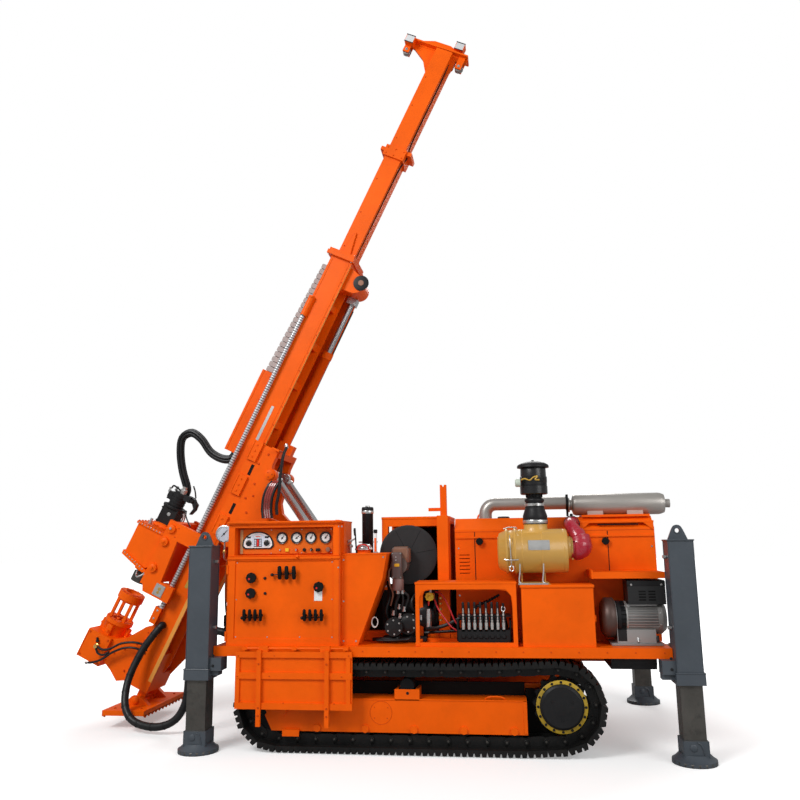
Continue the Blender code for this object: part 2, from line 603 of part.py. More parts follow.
def build_foot():
    axis = empty("foot_axis", FOOT_AXIS)
    plate = box("ground_foot", (-0.21, -0.45, -0.115), (0.20, 0.45, -0.065), ORANGE, axis)
    lugs = [box(f"foot_lug_{k}", (-0.06, y, -0.08), (0.06, y + 0.04, 0.05), ORANGE, axis)
            for k, y in enumerate((-0.30, 0.26))]
    pin = rod("foot_pin", (0, -0.30, 0), (0, 0.30, 0), 0.025, ORANGE, axis)
    fuse(plate, *lugs, pin)
    return axis


def build_tilt_cylinders():
    for side, word in ((-1, "left"), (1, "right")):
        foot = Vector((TILT_FOOT[0], side * TILT_FOOT[1], TILT_FOOT[2]))
        eye = Vector((TILT_EYE[0], side * TILT_EYE[1], TILT_EYE[2]))
        along = (eye - foot).normalized()
        axis = empty(f"tilt_axis_{word}", foot)
        barrel = rod(f"tilt_barrel_{word}", (0, 0, 0), along * TILT_BARREL, 0.062, ORANGE, axis)
        eye_end = rod(f"tilt_barrel_eye_{word}", (0, -0.045, 0), (0, 0.045, 0), 0.055, ORANGE, axis)
        fuse(barrel, eye_end)
        cut(
            barrel,
            rod(f"tilt_bore_{word}", along * 0.09, along * 1.3, 0.0312, ORANGE, axis),
            rod(f"tilt_pin_hole_{word}", (0, -0.1, 0), (0, 0.1, 0), 0.0267, ORANGE, axis),
        )
        long = (eye - foot).length
        shaft = rod(f"tilt_rod_{word}", along * (long - 1.15), along * long, 0.030, STEEL, axis)
        centre = along * long
        wide, wider = Vector((0, 0.04, 0)), Vector((0, 0.0547, 0))
        eye = rod(f"tilt_rod_eye_{word}", centre - wide, centre + wide, 0.05, STEEL, axis)
        pin = rod(f"tilt_rod_pin_{word}", centre - wider, centre + wider, 0.025, STEEL, axis)
        fuse(shaft, eye, pin)


clear_scene()
RIG = new_collection("core_drilling_rig")
build_undercarriage()
build_deck()
build_jacks()
build_controls()
build_platform()
build_winch()
build_valves()
build_tool_box()
build_hood()
build_air_intake()
build_exhaust()
build_generator()
build_trestle()
pivot = empty("mast_pivot", MAST_PIVOT, None, (0, MAST_LEAN, 0))
datum = empty("mast_datum", MAST_DATUM, pivot)
build_bracket(datum)
build_mast(datum)
build_slide_cylinder(datum)
build_head(datum)
build_clamp(datum)
build_foot()
build_tilt_cylinders()
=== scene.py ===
# Looks of the crawler core drilling rig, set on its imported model.
import json
import math

import bmesh
import bpy
from mathutils import Matrix, Vector

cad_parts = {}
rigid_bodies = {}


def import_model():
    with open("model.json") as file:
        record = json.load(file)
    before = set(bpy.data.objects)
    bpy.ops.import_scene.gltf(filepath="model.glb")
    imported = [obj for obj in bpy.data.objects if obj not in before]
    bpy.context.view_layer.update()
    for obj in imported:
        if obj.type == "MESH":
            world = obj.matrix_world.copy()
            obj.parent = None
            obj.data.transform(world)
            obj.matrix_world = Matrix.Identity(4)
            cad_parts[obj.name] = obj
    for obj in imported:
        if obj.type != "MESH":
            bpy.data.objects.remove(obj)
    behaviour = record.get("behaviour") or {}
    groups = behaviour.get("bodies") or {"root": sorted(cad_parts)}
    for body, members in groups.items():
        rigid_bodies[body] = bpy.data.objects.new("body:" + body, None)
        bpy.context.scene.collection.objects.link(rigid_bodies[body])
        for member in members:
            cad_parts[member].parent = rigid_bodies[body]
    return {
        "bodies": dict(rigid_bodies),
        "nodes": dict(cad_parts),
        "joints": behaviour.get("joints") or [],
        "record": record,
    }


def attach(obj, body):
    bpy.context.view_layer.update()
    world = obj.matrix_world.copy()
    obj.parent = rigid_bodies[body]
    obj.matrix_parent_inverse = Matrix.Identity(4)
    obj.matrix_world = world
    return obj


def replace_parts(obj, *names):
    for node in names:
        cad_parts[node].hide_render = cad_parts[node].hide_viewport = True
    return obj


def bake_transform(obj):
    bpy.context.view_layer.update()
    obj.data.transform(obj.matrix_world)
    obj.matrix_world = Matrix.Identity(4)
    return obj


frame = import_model()
NODES = frame["nodes"]
scene = bpy.context.scene


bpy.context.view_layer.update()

# Measures, in metres: +X to the engine end, -Y to the operator, +Z up

# Gaps left between pieces
GAP = 0.0003
RUN = 0.0007

# Tracks: the belt is the line between shoes and links
TRACK_X = (-0.615, 1.700)
TRACK_END_R = 0.300
TRACK_Y = (0.70, 1.10)
LINK_Y = (0.82, 0.98)
FRAME_INNER = 0.78
SHOE_PITCH = 0.154
LUG_HEIGHT = 0.026
SHOE_THICK = 0.030
LINK_DEPTH = 0.075
SHOE_TIP = SHOE_THICK + LUG_HEIGHT
TRACK_END_Z = (SHOE_TIP + TRACK_END_R, SHOE_TIP + TRACK_END_R + 0.019)
BELT_TOP = TRACK_END_Z[0] + TRACK_END_R - 0.008
ROLLER_X = (-0.275, 0.125, 0.525, 0.925, 1.325)
ROLLER_R = 0.070

# Deck and jacks
DECK_X = (-1.15, 2.56)
DECK_Y = 1.08
DECK_THICK = 0.08
DECK_TOP = TRACK_END_Z[1] + TRACK_END_R + SHOE_TIP + 0.014 + DECK_THICK
DECK_RAIL_Y = 0.42
RAIL_DEPTH = 0.105
JACK_X = (-1.25, 2.66)
JACK_Y = 1.09
JACK_SIDE = 0.19
JACK_WALL = 0.012
JACK_TOP = 1.655
JACK_BOTTOM = 0.60
FOOT_RADIUS = 0.165
# Each jack's name, x and side
JACKS = (("front_left", JACK_X[0], -1), ("front_right", JACK_X[0], 1), ("rear_left", JACK_X[1], -1),
         ("rear_right", JACK_X[1], 1))

# Mast, in measures of its own: x to the rear, z up the mast
MAST_LEAN = math.radians(25.6)
MAST_PIVOT = (-0.803, 0.0, 1.761)
MAST_DATUM = (-0.35, 0.0, 0.45)
MAST_FRONT = -0.45
MAST_REAR = -0.215
MAST_HALF = 0.21
MAST_WALL = 0.018
# Each window's lower edge and height
MAST_WINDOWS = ((-1.98, 0.62), (-1.30, 0.62), (-0.62, 0.62), (0.06, 0.37), (0.50, 0.37), (0.94, 0.37),
                (1.38, 0.37), (1.81, 0.17))
MAST_Z = (-2.37, 2.30)
EXTENSION_TOP = 4.86
SLIDE_CYLINDER = (-0.125, 0.085)
SPINDLE_X = -0.87
SPINDLE_Z = -1.12
SHEAVES = (("front", -0.77), ("rear", -0.15))
SHEAVE_Z = 4.77
GUIDE_ROD = (-0.438, MAST_HALF + 0.03, 0.018)
FOOT_PIN = (-0.278, -2.465)
HINGE_KNUCKLES = ((-0.665, -0.87), (-0.675, -1.01), (-0.665, -1.28))

# Other joints and what they carry
TILT_FOOT = (0.055, 0.19, 0.93)
TILT_EYE = (-0.924, 0.19, 2.318)
TILT_BARREL = 1.06
TILT_ROD = 1.15
FOOT_AXIS = (-2.24, 0.0, 0.215)
WINCH = (0.44, -0.30, 1.555)
WINCH_RADIUS = 0.25
PLATFORM_AXIS = (-0.44, -TRACK_Y[1] - 0.025, DECK_TOP - 0.010)
HOOD_X = (0.87, 2.57)
HOOD_Y = (-0.65, 0.75)
HOOD_TOP = 1.86
HOOD_LIP = 1.76
# Each service door's name, lower and upper x, and hinge
HOOD_DOORS = (("a", 1.055, 1.695, 1.055), ("b", 1.785, 2.425, 2.425))
DOOR_HINGE = (0.765, 1.34)
CLEANER = (1.245, -0.86, 1.575)
PRE_CLEANER = (1.565, -0.86, 1.7953)
MUFFLER = (1.91, -0.45, 1.968)
PIPE_Z = 1.988
GENERATOR = (2.06, -0.84, 1.035)

# From mast measures to the rig's
MAST = Matrix.Translation(MAST_PIVOT) @ Matrix.Rotation(MAST_LEAN, 4, "Y") @ Matrix.Translation(MAST_DATUM)
WORLD = Matrix.Identity(4)

# The sign of y on each side
SIDES = ((-1, "left"), (1, "right"))

# Directions: to the operator, up, down and to the engine end
FRONT, UP, DOWN, REAR = (0, -1, 0), (0, 0, 1), (0, 0, -1), (1, 0, 0)


def up_mast(x, y, z):
    return MAST @ Vector((x, y, z))


# Camera

LENS, SENSOR = 34.2, 36.0
VIEWPOINT = (1.305, -7.453, 1.670)
# Rows of its turn: the picture's right, up and back as columns
VIEW_TURN = Matrix(((0.9909, 0.0374, 0.1297), (0.1346, -0.1795, -0.9745), (-0.0132, 0.983, -0.1823)))

lens = bpy.data.cameras.new("camera")
lens.lens = LENS
lens.sensor_width = SENSOR
lens.clip_end = 200.0
camera = bpy.data.objects.new("camera", lens)
scene.collection.objects.link(camera)
camera.matrix_world = Matrix.Translation(VIEWPOINT) @ VIEW_TURN.to_quaternion().to_matrix().to_4x4()
scene.camera = camera

# Materials

LOOKS = {}


def node(tree, kind, **values):
    made = tree.nodes.new(kind)
    for key, value in values.items():
        if key in made.inputs:
            made.inputs[key].default_value = value
        else:
            setattr(made, key, value)
    return made


def noise(tree, coord, scale, detail=4.0, rough=0.6, stretch=None):
    made = node(tree, "ShaderNodeTexNoise", Scale=scale, Detail=detail, Roughness=rough)
    if stretch:
        mapping = node(tree, "ShaderNodeMapping", Scale=stretch)
        tree.links.new(coord, mapping.inputs["Vector"])
        coord = mapping.outputs["Vector"]
    tree.links.new(coord, made.inputs["Vector"])
    return made.outputs["Fac"]


def ranged(tree, value, low, high, start=0.0, end=1.0):
    made = node(tree, "ShaderNodeMapRange")
    made.inputs["From Min"].default_value = start
    made.inputs["From Max"].default_value = end
    made.inputs["To Min"].default_value = low
    made.inputs["To Max"].default_value = high
    tree.links.new(value, made.inputs["Value"])
    return made.outputs["Result"]


def mixed(tree, factor, a, b):
    """A colour between a and b, each a colour or an output."""
    made = node(tree, "ShaderNodeMix", data_type="RGBA")
    for socket, value in ((made.inputs["A"], a), (made.inputs["B"], b)):
        socket = next(s for s in made.inputs if s.name == socket.name and s.type == "RGBA")
        if isinstance(value, tuple):
            socket.default_value = (*value, 1.0)
        else:
            tree.links.new(value, socket)
    target = next(s for s in made.inputs if s.name == "Factor" and s.type == "VALUE")
    if isinstance(factor, float):
        target.default_value = factor
    else:
        tree.links.new(factor, target)
    return next(s for s in made.outputs if s.type == "RGBA")


def blended(tree, factor, a, b):
    """A number between a and b, by a factor output."""
    made = node(tree, "ShaderNodeMapRange")
    tree.links.new(factor, made.inputs["Value"])
    for name, value in (("To Min", a), ("To Max", b)):
        if isinstance(value, float):
            made.inputs[name].default_value = value
        else:
            tree.links.new(value, made.inputs[name])
    return made.outputs["Result"]


def in_box(tree, coord, low, high):
    """1 inside a box, 0 outside it."""
    middle = [(a + b) / 2 for a, b in zip(low, high)]
    half = [(b - a) / 2 for a, b in zip(low, high)]
    steps = [("SUBTRACT", middle), ("ABSOLUTE", None), ("SUBTRACT", half)]
    for operation, value in steps:
        made = node(tree, "ShaderNodeVectorMath", operation=operation)
        tree.links.new(coord, made.inputs[0])
        if value:
            made.inputs[1].default_value = value
        coord = made.outputs["Vector"]
    parts = node(tree, "ShaderNodeSeparateXYZ")
    tree.links.new(coord, parts.inputs[0])
    value = parts.outputs[0]
    for other in parts.outputs[1:]:
        made = node(tree, "ShaderNodeMath", operation="MAXIMUM")
        tree.links.new(value, made.inputs[0])
        tree.links.new(other, made.inputs[1])
        value = made.outputs[0]
    made = node(tree, "ShaderNodeMath", operation="LESS_THAN")
    tree.links.new(value, made.inputs[0])
    made.inputs[1].default_value = 0.0
    return made.outputs[0]


def look(name, colour, rough=0.42, metal=0.0, spread=0.10, grain=90.0, bump=0.15, grime=0.0,
         grime_colour=(0.05, 0.035, 0.02), stretch=None, coat=0.0, zones=(), on_mast=False, shine=0.5):
    """A finish whose colour, roughness and fine relief vary. Zones are boxes with a finish of their own."""
    mat = bpy.data.materials.new(name)
    mat.use_nodes = True
    tree = mat.node_tree
    shader = tree.nodes["Principled BSDF"]
    coord = node(tree, "ShaderNodeTexCoord").outputs["Object"]
    broad = noise(tree, coord, 2.3, 5.0)
    fine = noise(tree, coord, grain, 6.0, 0.65, stretch)
    spots = noise(tree, coord, 11.0, 8.0, 0.7)
    dark = tuple(v * (1 - spread) for v in colour)
    light = tuple(min(1.0, v * (1 + spread)) for v in colour)
    tint = mixed(tree, ranged(tree, broad, 0.0, 1.0, 0.3, 0.7), dark, light)
    dirty = ranged(tree, spots, 0.0, grime, 0.52, 0.80)
    tint = mixed(tree, dirty, tint, grime_colour)
    roughness = ranged(tree, fine, max(0.05, rough - 0.09), min(1.0, rough + 0.12), 0.25, 0.75)
    metallic = None
    if zones:
        place = coord
        if on_mast:
            back = MAST.inverted()
            mapping = node(tree, "ShaderNodeMapping", Location=back.to_translation(),
                           Rotation=(0, -MAST_LEAN, 0))
            tree.links.new(coord, mapping.inputs["Vector"])
            place = mapping.outputs["Vector"]
        metallic = metal
        for low, high, other, other_rough, other_metal in zones:
            mask = in_box(tree, place, low, high)
            shade = mixed(tree, ranged(tree, broad, 0.0, 1.0, 0.3, 0.7), tuple(v * 0.85 for v in other),
                          other)
            tint = mixed(tree, mask, tint, shade)
            roughness = blended(tree, mask, roughness, other_rough)
            metallic = blended(tree, mask, metallic, other_metal)
    tree.links.new(tint, shader.inputs["Base Color"])
    tree.links.new(roughness, shader.inputs["Roughness"])
    if metallic is not None and not isinstance(metallic, float):
        tree.links.new(metallic, shader.inputs["Metallic"])
    else:
        shader.inputs["Metallic"].default_value = metal
    shader.inputs["Coat Weight"].default_value = coat
    shader.inputs["Specular IOR Level"].default_value = shine
    relief = node(tree, "ShaderNodeBump", Strength=bump, Distance=0.002)
    tree.links.new(fine, relief.inputs["Height"])
    tree.links.new(relief.outputs["Normal"], shader.inputs["Normal"])
    LOOKS[name] = mat
    return mat


ORANGE_RGB = (0.86, 0.112, 0.001)
BLACK_RGB = (0.011, 0.011, 0.012)
STEEL_RGB = (0.60, 0.60, 0.59)
CAST_RGB = (0.30, 0.29, 0.28)

look("orange", ORANGE_RGB, 0.45, grime=0.10, grime_colour=(0.30, 0.05, 0.002), shine=0.12)
look("deep_orange", (0.62, 0.070, 0.002), 0.5, grime=0.2, grime_colour=(0.15, 0.03, 0.01), shine=0.15)
look("slate", (0.052, 0.064, 0.078), 0.42, spread=0.12, grime=0.25, grime_colour=(0.10, 0.11, 0.12))
look("black", BLACK_RGB, 0.45, spread=0.3, grime=0.3, grime_colour=(0.03, 0.028, 0.025), shine=0.22)
look("matt_black", (0.006, 0.006, 0.006), 0.65, spread=0.3, shine=0.15)
look("rubber", (0.009, 0.009, 0.010), 0.40, spread=0.3, grain=160, bump=0.3, shine=0.35)
look("track", (0.009, 0.009, 0.009), 0.38, 0.2, shine=0.3, spread=0.4, grain=35, bump=0.7, grime=0.5,
     grime_colour=(0.035, 0.030, 0.024))
look("steel", STEEL_RGB, 0.30, 0.9, grain=50, bump=0.1, spread=0.08)
look("rod_steel", (0.55, 0.56, 0.57), 0.24, 0.85, grain=40, bump=0.15, spread=0.15, stretch=(1, 1, 6))
look("worn_steel", (0.085, 0.080, 0.072), 0.40, 0.6, grain=30, bump=0.5, spread=0.35, grime=0.7,
     grime_colour=(0.02, 0.02, 0.02), stretch=(6, 6, 0.5))
look("stainless", (0.42, 0.395, 0.365), 0.36, 0.6, grain=60, bump=0.01, spread=0.10, stretch=(0.3, 4, 4))
look("tan", (0.60, 0.33, 0.065), 0.36, spread=0.07, grime=0.1, coat=0.2)
look("crimson", (0.40, 0.010, 0.030), 0.28, spread=0.12, coat=0.5, bump=0.1)
look("red_hose", (0.50, 0.015, 0.02), 0.4, spread=0.1)
look("clear_hose", (0.30, 0.030, 0.020), 0.25, spread=0.45, grain=20, coat=0.6)
look("casting", CAST_RGB, 0.5, 0.5, grain=120, bump=0.5, spread=0.15)
look("aluminium", (0.50, 0.49, 0.47), 0.38, 0.7, grain=120, bump=0.3, spread=0.12)
look("brown_motor", (0.27, 0.125, 0.075), 0.5, 0.2, grain=110, bump=0.4, spread=0.25)
look("brass", (0.72, 0.46, 0.14), 0.28, 0.9, spread=0.1)
look("yellow", (0.78, 0.50, 0.015), 0.4, spread=0.1, grime=0.35, grime_colour=(0.05, 0.04, 0.01))
look("red", (0.62, 0.015, 0.01), 0.35, spread=0.08)
look("ring_yellow", (0.42, 0.27, 0.010), 0.45, spread=0.3, grime=0.5, grime_colour=(0.03, 0.025, 0.01))
look("chain_grey", (0.44, 0.395, 0.38), 0.6, spread=0.12, grain=60, grime=0.2,
     grime_colour=(0.20, 0.16, 0.15), shine=0.2)
look("rod_bright", (0.60, 0.61, 0.63), 0.36, 0.45, spread=0.12, grain=60, bump=0.2, shine=0.5)
look("guard_black", (0.022, 0.021, 0.022), 0.50, spread=0.2, grime=0.3, grime_colour=(0.05, 0.045, 0.04),
     shine=0.3)
look("foot_metal", (0.55, 0.42, 0.37), 0.35, 0.4, spread=0.15)
look("pale_green", (0.50, 0.56, 0.47), 0.5, spread=0.1)
look("motor_plate", (0.135, 0.095, 0.090), 0.5, 0.2, grain=110, bump=0.4, spread=0.2)
look("motor_foot", (0.27, 0.165, 0.15), 0.5, 0.2, grain=110, bump=0.4, spread=0.2)
# Light ochre: the colour of the painted highlights along the mast's rear corners
look("ochre", (0.80, 0.34, 0.065), 0.45, spread=0.12, grime=0.15, grime_colour=(0.55, 0.12, 0.02),
     shine=0.15)
look("gold", (0.50, 0.30, 0.035), 0.45, spread=0.2)
look("white", (0.80, 0.80, 0.79), 0.35, spread=0.03, bump=0.05)
look("dial_black", (0.008, 0.008, 0.009), 0.3, spread=0.1, bump=0.05)
look("glass_blue", (0.62, 0.68, 0.78), 0.15, spread=0.05, bump=0.02, coat=0.8)
look("label", (0.46, 0.46, 0.45), 0.35, 0.6, spread=0.15, grain=30, stretch=(1, 1, 8))
look("amber", (0.80, 0.45, 0.02), 0.3, spread=0.1)
look("lamp_glass", (0.75, 0.77, 0.78), 0.12, 0.3, spread=0.1, coat=0.8)
look("beige", (0.52, 0.34, 0.15), 0.5, spread=0.08)
look("panel", (0.70, 0.13, 0.010), 0.45, grime=0.2, grime_colour=(0.40, 0.16, 0.05), shine=0.12)

# Shapes


class Piece:
    """Gathers shapes into one mesh. Each shape has its own finish."""

    def __init__(self, name, body, slot, place=WORLD):
        self.name, self.body, self.slot, self.place = name, body, slot, place
        self.bm = bmesh.new()
        self.looks = []

    def take(self, bm, finish, smooth=True):
        bmesh.ops.recalc_face_normals(bm, faces=bm.faces)
        if finish not in self.looks:
            self.looks.append(finish)
        index = self.looks.index(finish)
        for face in bm.faces:
            face.material_index = index
            face.smooth = smooth
        bm.transform(self.place)
        mesh = bpy.data.meshes.new("shape")
        bm.to_mesh(mesh)
        bm.free()
        self.bm.from_mesh(mesh)
        bpy.data.meshes.remove(mesh)
        return self

    def box(self, low, high, finish="orange", bevel=0.003, spin=None):
        """A block with softened edges. Spin is an axis and an angle in degrees about its middle."""
        middle = Vector([(a + b) / 2 for a, b in zip(low, high)])
        size = [abs(b - a) for a, b in zip(low, high)]
        bm = bmesh.new()
        bmesh.ops.create_cube(bm, size=1.0)
        bmesh.ops.scale(bm, vec=size, verts=bm.verts)
        bevel = min(bevel, min(size) * 0.3)
        bmesh.ops.bevel(bm, geom=bm.edges[:], offset=bevel, segments=1, affect="EDGES")
        if spin:
            bm.transform(Matrix.Rotation(math.radians(spin[1]), 4, spin[0]))
        bm.transform(Matrix.Translation(middle))
        return self.take(bm, finish)

    def prism(self, points, low, high, finish="orange", axis="y", bevel=0.002):
        """A flat outline pushed along an axis. It is (x, z) for y, (y, z) for x and (x, y) for z."""
        lift = {
            "y": lambda a, b, c: (a, c, b),
            "x": lambda a, b, c: (c, a, b),
            "z": lambda a, b, c: (a, b, c),
        }[axis]
        bm = bmesh.new()
        face = bm.faces.new([bm.verts.new(lift(a, b, low)) for a, b in points])
        made = bmesh.ops.extrude_face_region(bm, geom=[face])
        moved = [v for v in made["geom"] if isinstance(v, bmesh.types.BMVert)]
        bmesh.ops.translate(bm, vec=Vector(lift(0, 0, high)) - Vector(lift(0, 0, low)), verts=moved)
        bevel = min(bevel, abs(high - low) * 0.3)
        if bevel:
            rim = [e for e in bm.edges if len(e.link_faces) == 2 and e.calc_face_angle(0) > 0.6]
            bmesh.ops.bevel(bm, geom=rim, offset=bevel, segments=1, affect="EDGES", clamp_overlap=True)
        return self.take(bm, finish)

    def lathe(self, start, direction, profile, finish="steel", steps=24, flat=False):
        """A profile of (radius, distance along the direction), turned about it."""
        bm = bmesh.new()
        rings = []
        for radius, height in profile:
            if radius < 1e-6:
                rings.append([bm.verts.new((0, 0, height))])
                continue
            ring = []
            for k in range(steps):
                a = 2 * math.pi * k / steps
                ring.append(bm.verts.new((radius * math.cos(a), radius * math.sin(a), height)))
            rings.append(ring)
        for a, b in zip(rings, rings[1:]):
            for k in range(steps):
                n = (k + 1) % steps
                if len(a) == 1 and len(b) == 1:
                    break
                if len(a) == 1:
                    bm.faces.new((a[0], b[k], b[n]))
                elif len(b) == 1:
                    bm.faces.new((a[n], a[k], b[0]))
                else:
                    bm.faces.new((a[n], a[k], b[k], b[n]))
        turned = Vector(direction).to_track_quat("Z", "Y").to_matrix().to_4x4()
        bm.transform(Matrix.Translation(start) @ turned)
        return self.take(bm, finish, not flat)

    def rod(self, start, end, radius, finish="steel", steps=18, taper=None, edge=None):
        start, end = Vector(start), Vector(end)
        long = (end - start).length
        far = radius if taper is None else taper
        c = min(radius, far) * 0.12 if edge is None else edge
        c = min(c, long * 0.3)
        profile = [(0, 0), (radius - c, 0), (radius, c), (far, long - c), (far - c, long), (0, long)]
        return self.lathe(start, end - start, profile, finish, steps)

    def ball(self, centre, radius, finish="black", scale=(1, 1, 1), steps=14):
        bm = bmesh.new()
        bmesh.ops.create_uvsphere(bm, u_segments=steps, v_segments=max(6, steps // 2), radius=radius)
        bmesh.ops.scale(bm, vec=scale, verts=bm.verts)
        bmesh.ops.translate(bm, vec=centre, verts=bm.verts)
        return self.take(bm, finish)

    def bolt(self, spot, normal=FRONT, size=0.009, finish="steel"):
        """A hexagon head on its washer."""
        self.lathe(spot, normal, [(0, -0.001), (size * 1.25, -0.001), (size * 1.25, size * 0.18),
                                  (0, size * 0.18)], finish, 12)
        profile = [(0, 0), (size, size * 0.18), (size, size * 0.75), (size * 0.85, size * 0.9),
                   (0, size * 0.9)]
        return self.lathe(spot, normal, profile, finish, 6, flat=True)

    def bolts(self, spots, normal=FRONT, size=0.009, finish="steel"):
        for spot in spots:
            self.bolt(spot, normal, size, finish)
        return self

    def tube(self, points, radius, finish="rubber", steps=10, smooth=5, sizes=None):
        """A bent tube through points."""
        line = curve(points, smooth) if smooth else [Vector(p) for p in points]
        bm = bmesh.new()
        rings = sweep(bm, line, radius, steps, sizes)
        bm.faces.new(rings[0])
        bm.faces.new(rings[-1])
        return self.take(bm, finish)

    def done(self):
        mesh = bpy.data.meshes.new(self.name)
        self.bm.to_mesh(mesh)
        self.bm.free()
        mesh.set_sharp_from_angle(angle=math.radians(40))
        for finish in self.looks:
            mesh.materials.append(LOOKS[finish])
        obj = bpy.data.objects.new(self.name, mesh)
        scene.collection.objects.link(obj)
        if self.body:
            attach(obj, self.body)
        return obj


def curve(points, steps):
    """Points spread along a smooth line through the given ones."""
    points = [Vector(p) for p in points]
    ends = [2 * points[0] - points[1]] + points + [2 * points[-1] - points[-2]]
    line = []
    for p, q, r, s in zip(ends, ends[1:], ends[2:], ends[3:]):
        for i in range(steps):
            t = i / steps
            line.append(0.5 * (2 * q + (r - p) * t + (2 * p - 5 * q + 4 * r - s) * t * t
                               + (3 * q - p - 3 * r + s) * t ** 3))
    return line + [points[-1]]


def frames(line):
    """Two directions across the line at each point, carried along it without twist."""
    found = []
    side = None
    for k, point in enumerate(line):
        along = (line[min(k + 1, len(line) - 1)] - line[max(k - 1, 0)]).normalized()
        if side is None:
            side = along.cross(Vector(UP))
            if side.length < 0.1:
                side = along.cross(Vector((0, 1, 0)))
        side = (side - along * side.dot(along)).normalized()
        found.append((side, along.cross(side).normalized()))
    return found


def sweep(bm, line, radius, steps, sizes=None):
    rings = []
    for k, (point, (a, b)) in enumerate(zip(line, frames(line))):
        r = radius * (sizes[k * (len(sizes) - 1) // max(1, len(line) - 1)] if sizes else 1.0)
        ring = []
        for j in range(steps):
            t = 2 * math.pi * j / steps
            ring.append(bm.verts.new(point + a * (r * math.cos(t)) + b * (r * math.sin(t))))
        rings.append(ring)
    for p, q in zip(rings, rings[1:]):
        for j in range(steps):
            n = (j + 1) % steps
            bm.faces.new((p[j], p[n], q[n], q[j]))
    return rings


def arc(x, z, radius, start, end, count):
    turns = [math.radians(start + (end - start) * i / count) for i in range(count + 1)]
    return [(x + radius * math.cos(a), z + radius * math.sin(a)) for a in turns]


def sides(side, near, far):
    """The lower and upper y of a piece between two distances from the middle."""
    return sorted((side * near, side * far))


def hoop(x, y, z, wide, tall, count=16, sweep_by=2 * math.pi):
    """Points round an upright ellipse that faces the operator."""
    turns = [sweep_by * j / count for j in range(count + 1)]
    return [(x + wide * math.cos(t), y, z + tall * math.sin(t)) for t in turns]


def evenly(count, first=0.0):
    """Angles spread round a full turn."""
    return [2 * math.pi * (k + first) / count for k in range(count)]


def around(centre, radius, angles, axis="y"):
    """Points at the angles round a centre, in the plane across an axis."""
    x, y, z = centre
    found = []
    for a in angles:
        p, q = radius * math.cos(a), radius * math.sin(a)
        found.append({"x": (x, y + p, z + q), "y": (x + p, y, z + q), "z": (x + p, y + q, z)}[axis])
    return found


def row(start, end, count):
    a, b = Vector(start), Vector(end)
    return [a.lerp(b, k / (count - 1)) for k in range(count)]


# Cords


def strands(name, line, width, offsets, radius, finishes, steps=8):
    """Several hoses side by side along one line."""
    piece = Piece(name, None, "black_parts")
    across = frames(line)
    for k, (u, v) in enumerate(offsets):
        moved = [p + a * (u * width) + b * (v * width) for p, (a, b) in zip(line, across)]
        piece.tube(moved, radius, finishes[k % len(finishes)], steps, 0)
    return piece.done()


def head_hoses():
    points = [(-0.815, 0.025, -0.63), (-0.83, 0.01, -0.57), (-0.84, 0.0, -0.50), (-0.97, 0.0, -0.36),
              (-1.08, 0.0, -0.20), (-1.13, 0.0, -0.06),
              (-1.06, 0.0, 0.03), (-0.93, 0.0, 0.01), (-0.80, 0.0, -0.06), (-0.70, 0.0, -0.08),
              (-0.61, 0.0, -0.07), (-0.545, 0.0, -0.03), (-0.525, 0.0, 0.07), (-0.462, 0.0, 0.15)]
    line = curve([up_mast(*p) for p in points], 4)
    offsets = [(0.0, 0.0)] + [(math.cos(a), math.sin(a)) for a in (0.3, 1.35, 2.4, 3.45, 4.5, 5.55)]
    obj = strands("head_hoses", line, 0.029, offsets, 0.0150, ["rubber", "rubber", "black"])
    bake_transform(obj)


def ground_hoses():
    points = [(-2.00, -0.2103, 0.90), (-2.00, -0.245, 0.90), (-2.06, -0.28, 0.82), (-2.16, -0.32, 0.66),
              (-2.235, -0.40, 0.42),
              (-2.20, -0.50, 0.215), (-2.08, -0.55, 0.095), (-1.85, -0.60, 0.065), (-1.67, -0.60, 0.13),
              (-1.575, -0.60, 0.30),
              (-1.55, -0.62, 0.58), (-1.53, -0.64, 0.80), (-1.42, -0.66, 0.90), (-1.25, -0.68, 0.90),
              (-1.15, -0.70, 0.875), (-1.06, -0.70, 0.87)]
    line = curve(points, 5)
    half = 40
    near = Piece("ground_hose_mast", None, "black_parts")
    near.tube(line[:half + 1], 0.034, "rubber", 14, 0)
    for k in range(4, half, 3):
        along = (line[k + 1] - line[k]).normalized()
        near.lathe(line[k] - along * 0.009, along,
                   [(0.030, 0), (0.0358, 0.002), (0.0358, 0.016), (0.030, 0.018)], "black", 14)
    near = near.done()
    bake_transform(near)
    far = Piece("ground_hose_deck", None, "black_parts")
    far.tube(line[half:], 0.034, "rubber", 14, 0)
    for k in range(half + 3, len(line) - 3, 3):
        along = (line[k + 1] - line[k]).normalized()
        far.lathe(line[k] - along * 0.009, along, [(0.030, 0), (0.0358, 0.002), (0.0358, 0.016),
                                                   (0.030, 0.018)], "black", 14)
    far = far.done()
    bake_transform(far)


head_hoses()
ground_hoses()

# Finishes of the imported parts

ROD_ZONES = [((-0.481, -0.262, -1.60), (-0.439, -0.219, 1.58), (0.55, 0.56, 0.57), 0.25, 0.9),
             ((-0.481, 0.219, -1.60), (-0.439, 0.262, 1.58), (0.55, 0.56, 0.57), 0.25, 0.9)]
look("mast_paint", ORANGE_RGB, 0.38, grime=0.10, grime_colour=(0.30, 0.05, 0.002), shine=0.12,
     zones=ROD_ZONES, on_mast=True)
look("frame_left", ORANGE_RGB, 0.40, grime=0.12, grime_colour=(0.30, 0.05, 0.002), shine=0.12,
     zones=[((-0.60, -1.02, 0.05), (1.44, -0.785, 0.1490), BLACK_RGB, 0.45, 0.3),
            ((-0.86, -0.975, 0.10), (-0.37, -0.825, 0.65), BLACK_RGB, 0.45, 0.3),
            ((0.40, -1.02, 0.452), (0.54, -0.781, 0.60), BLACK_RGB, 0.45, 0.3)])
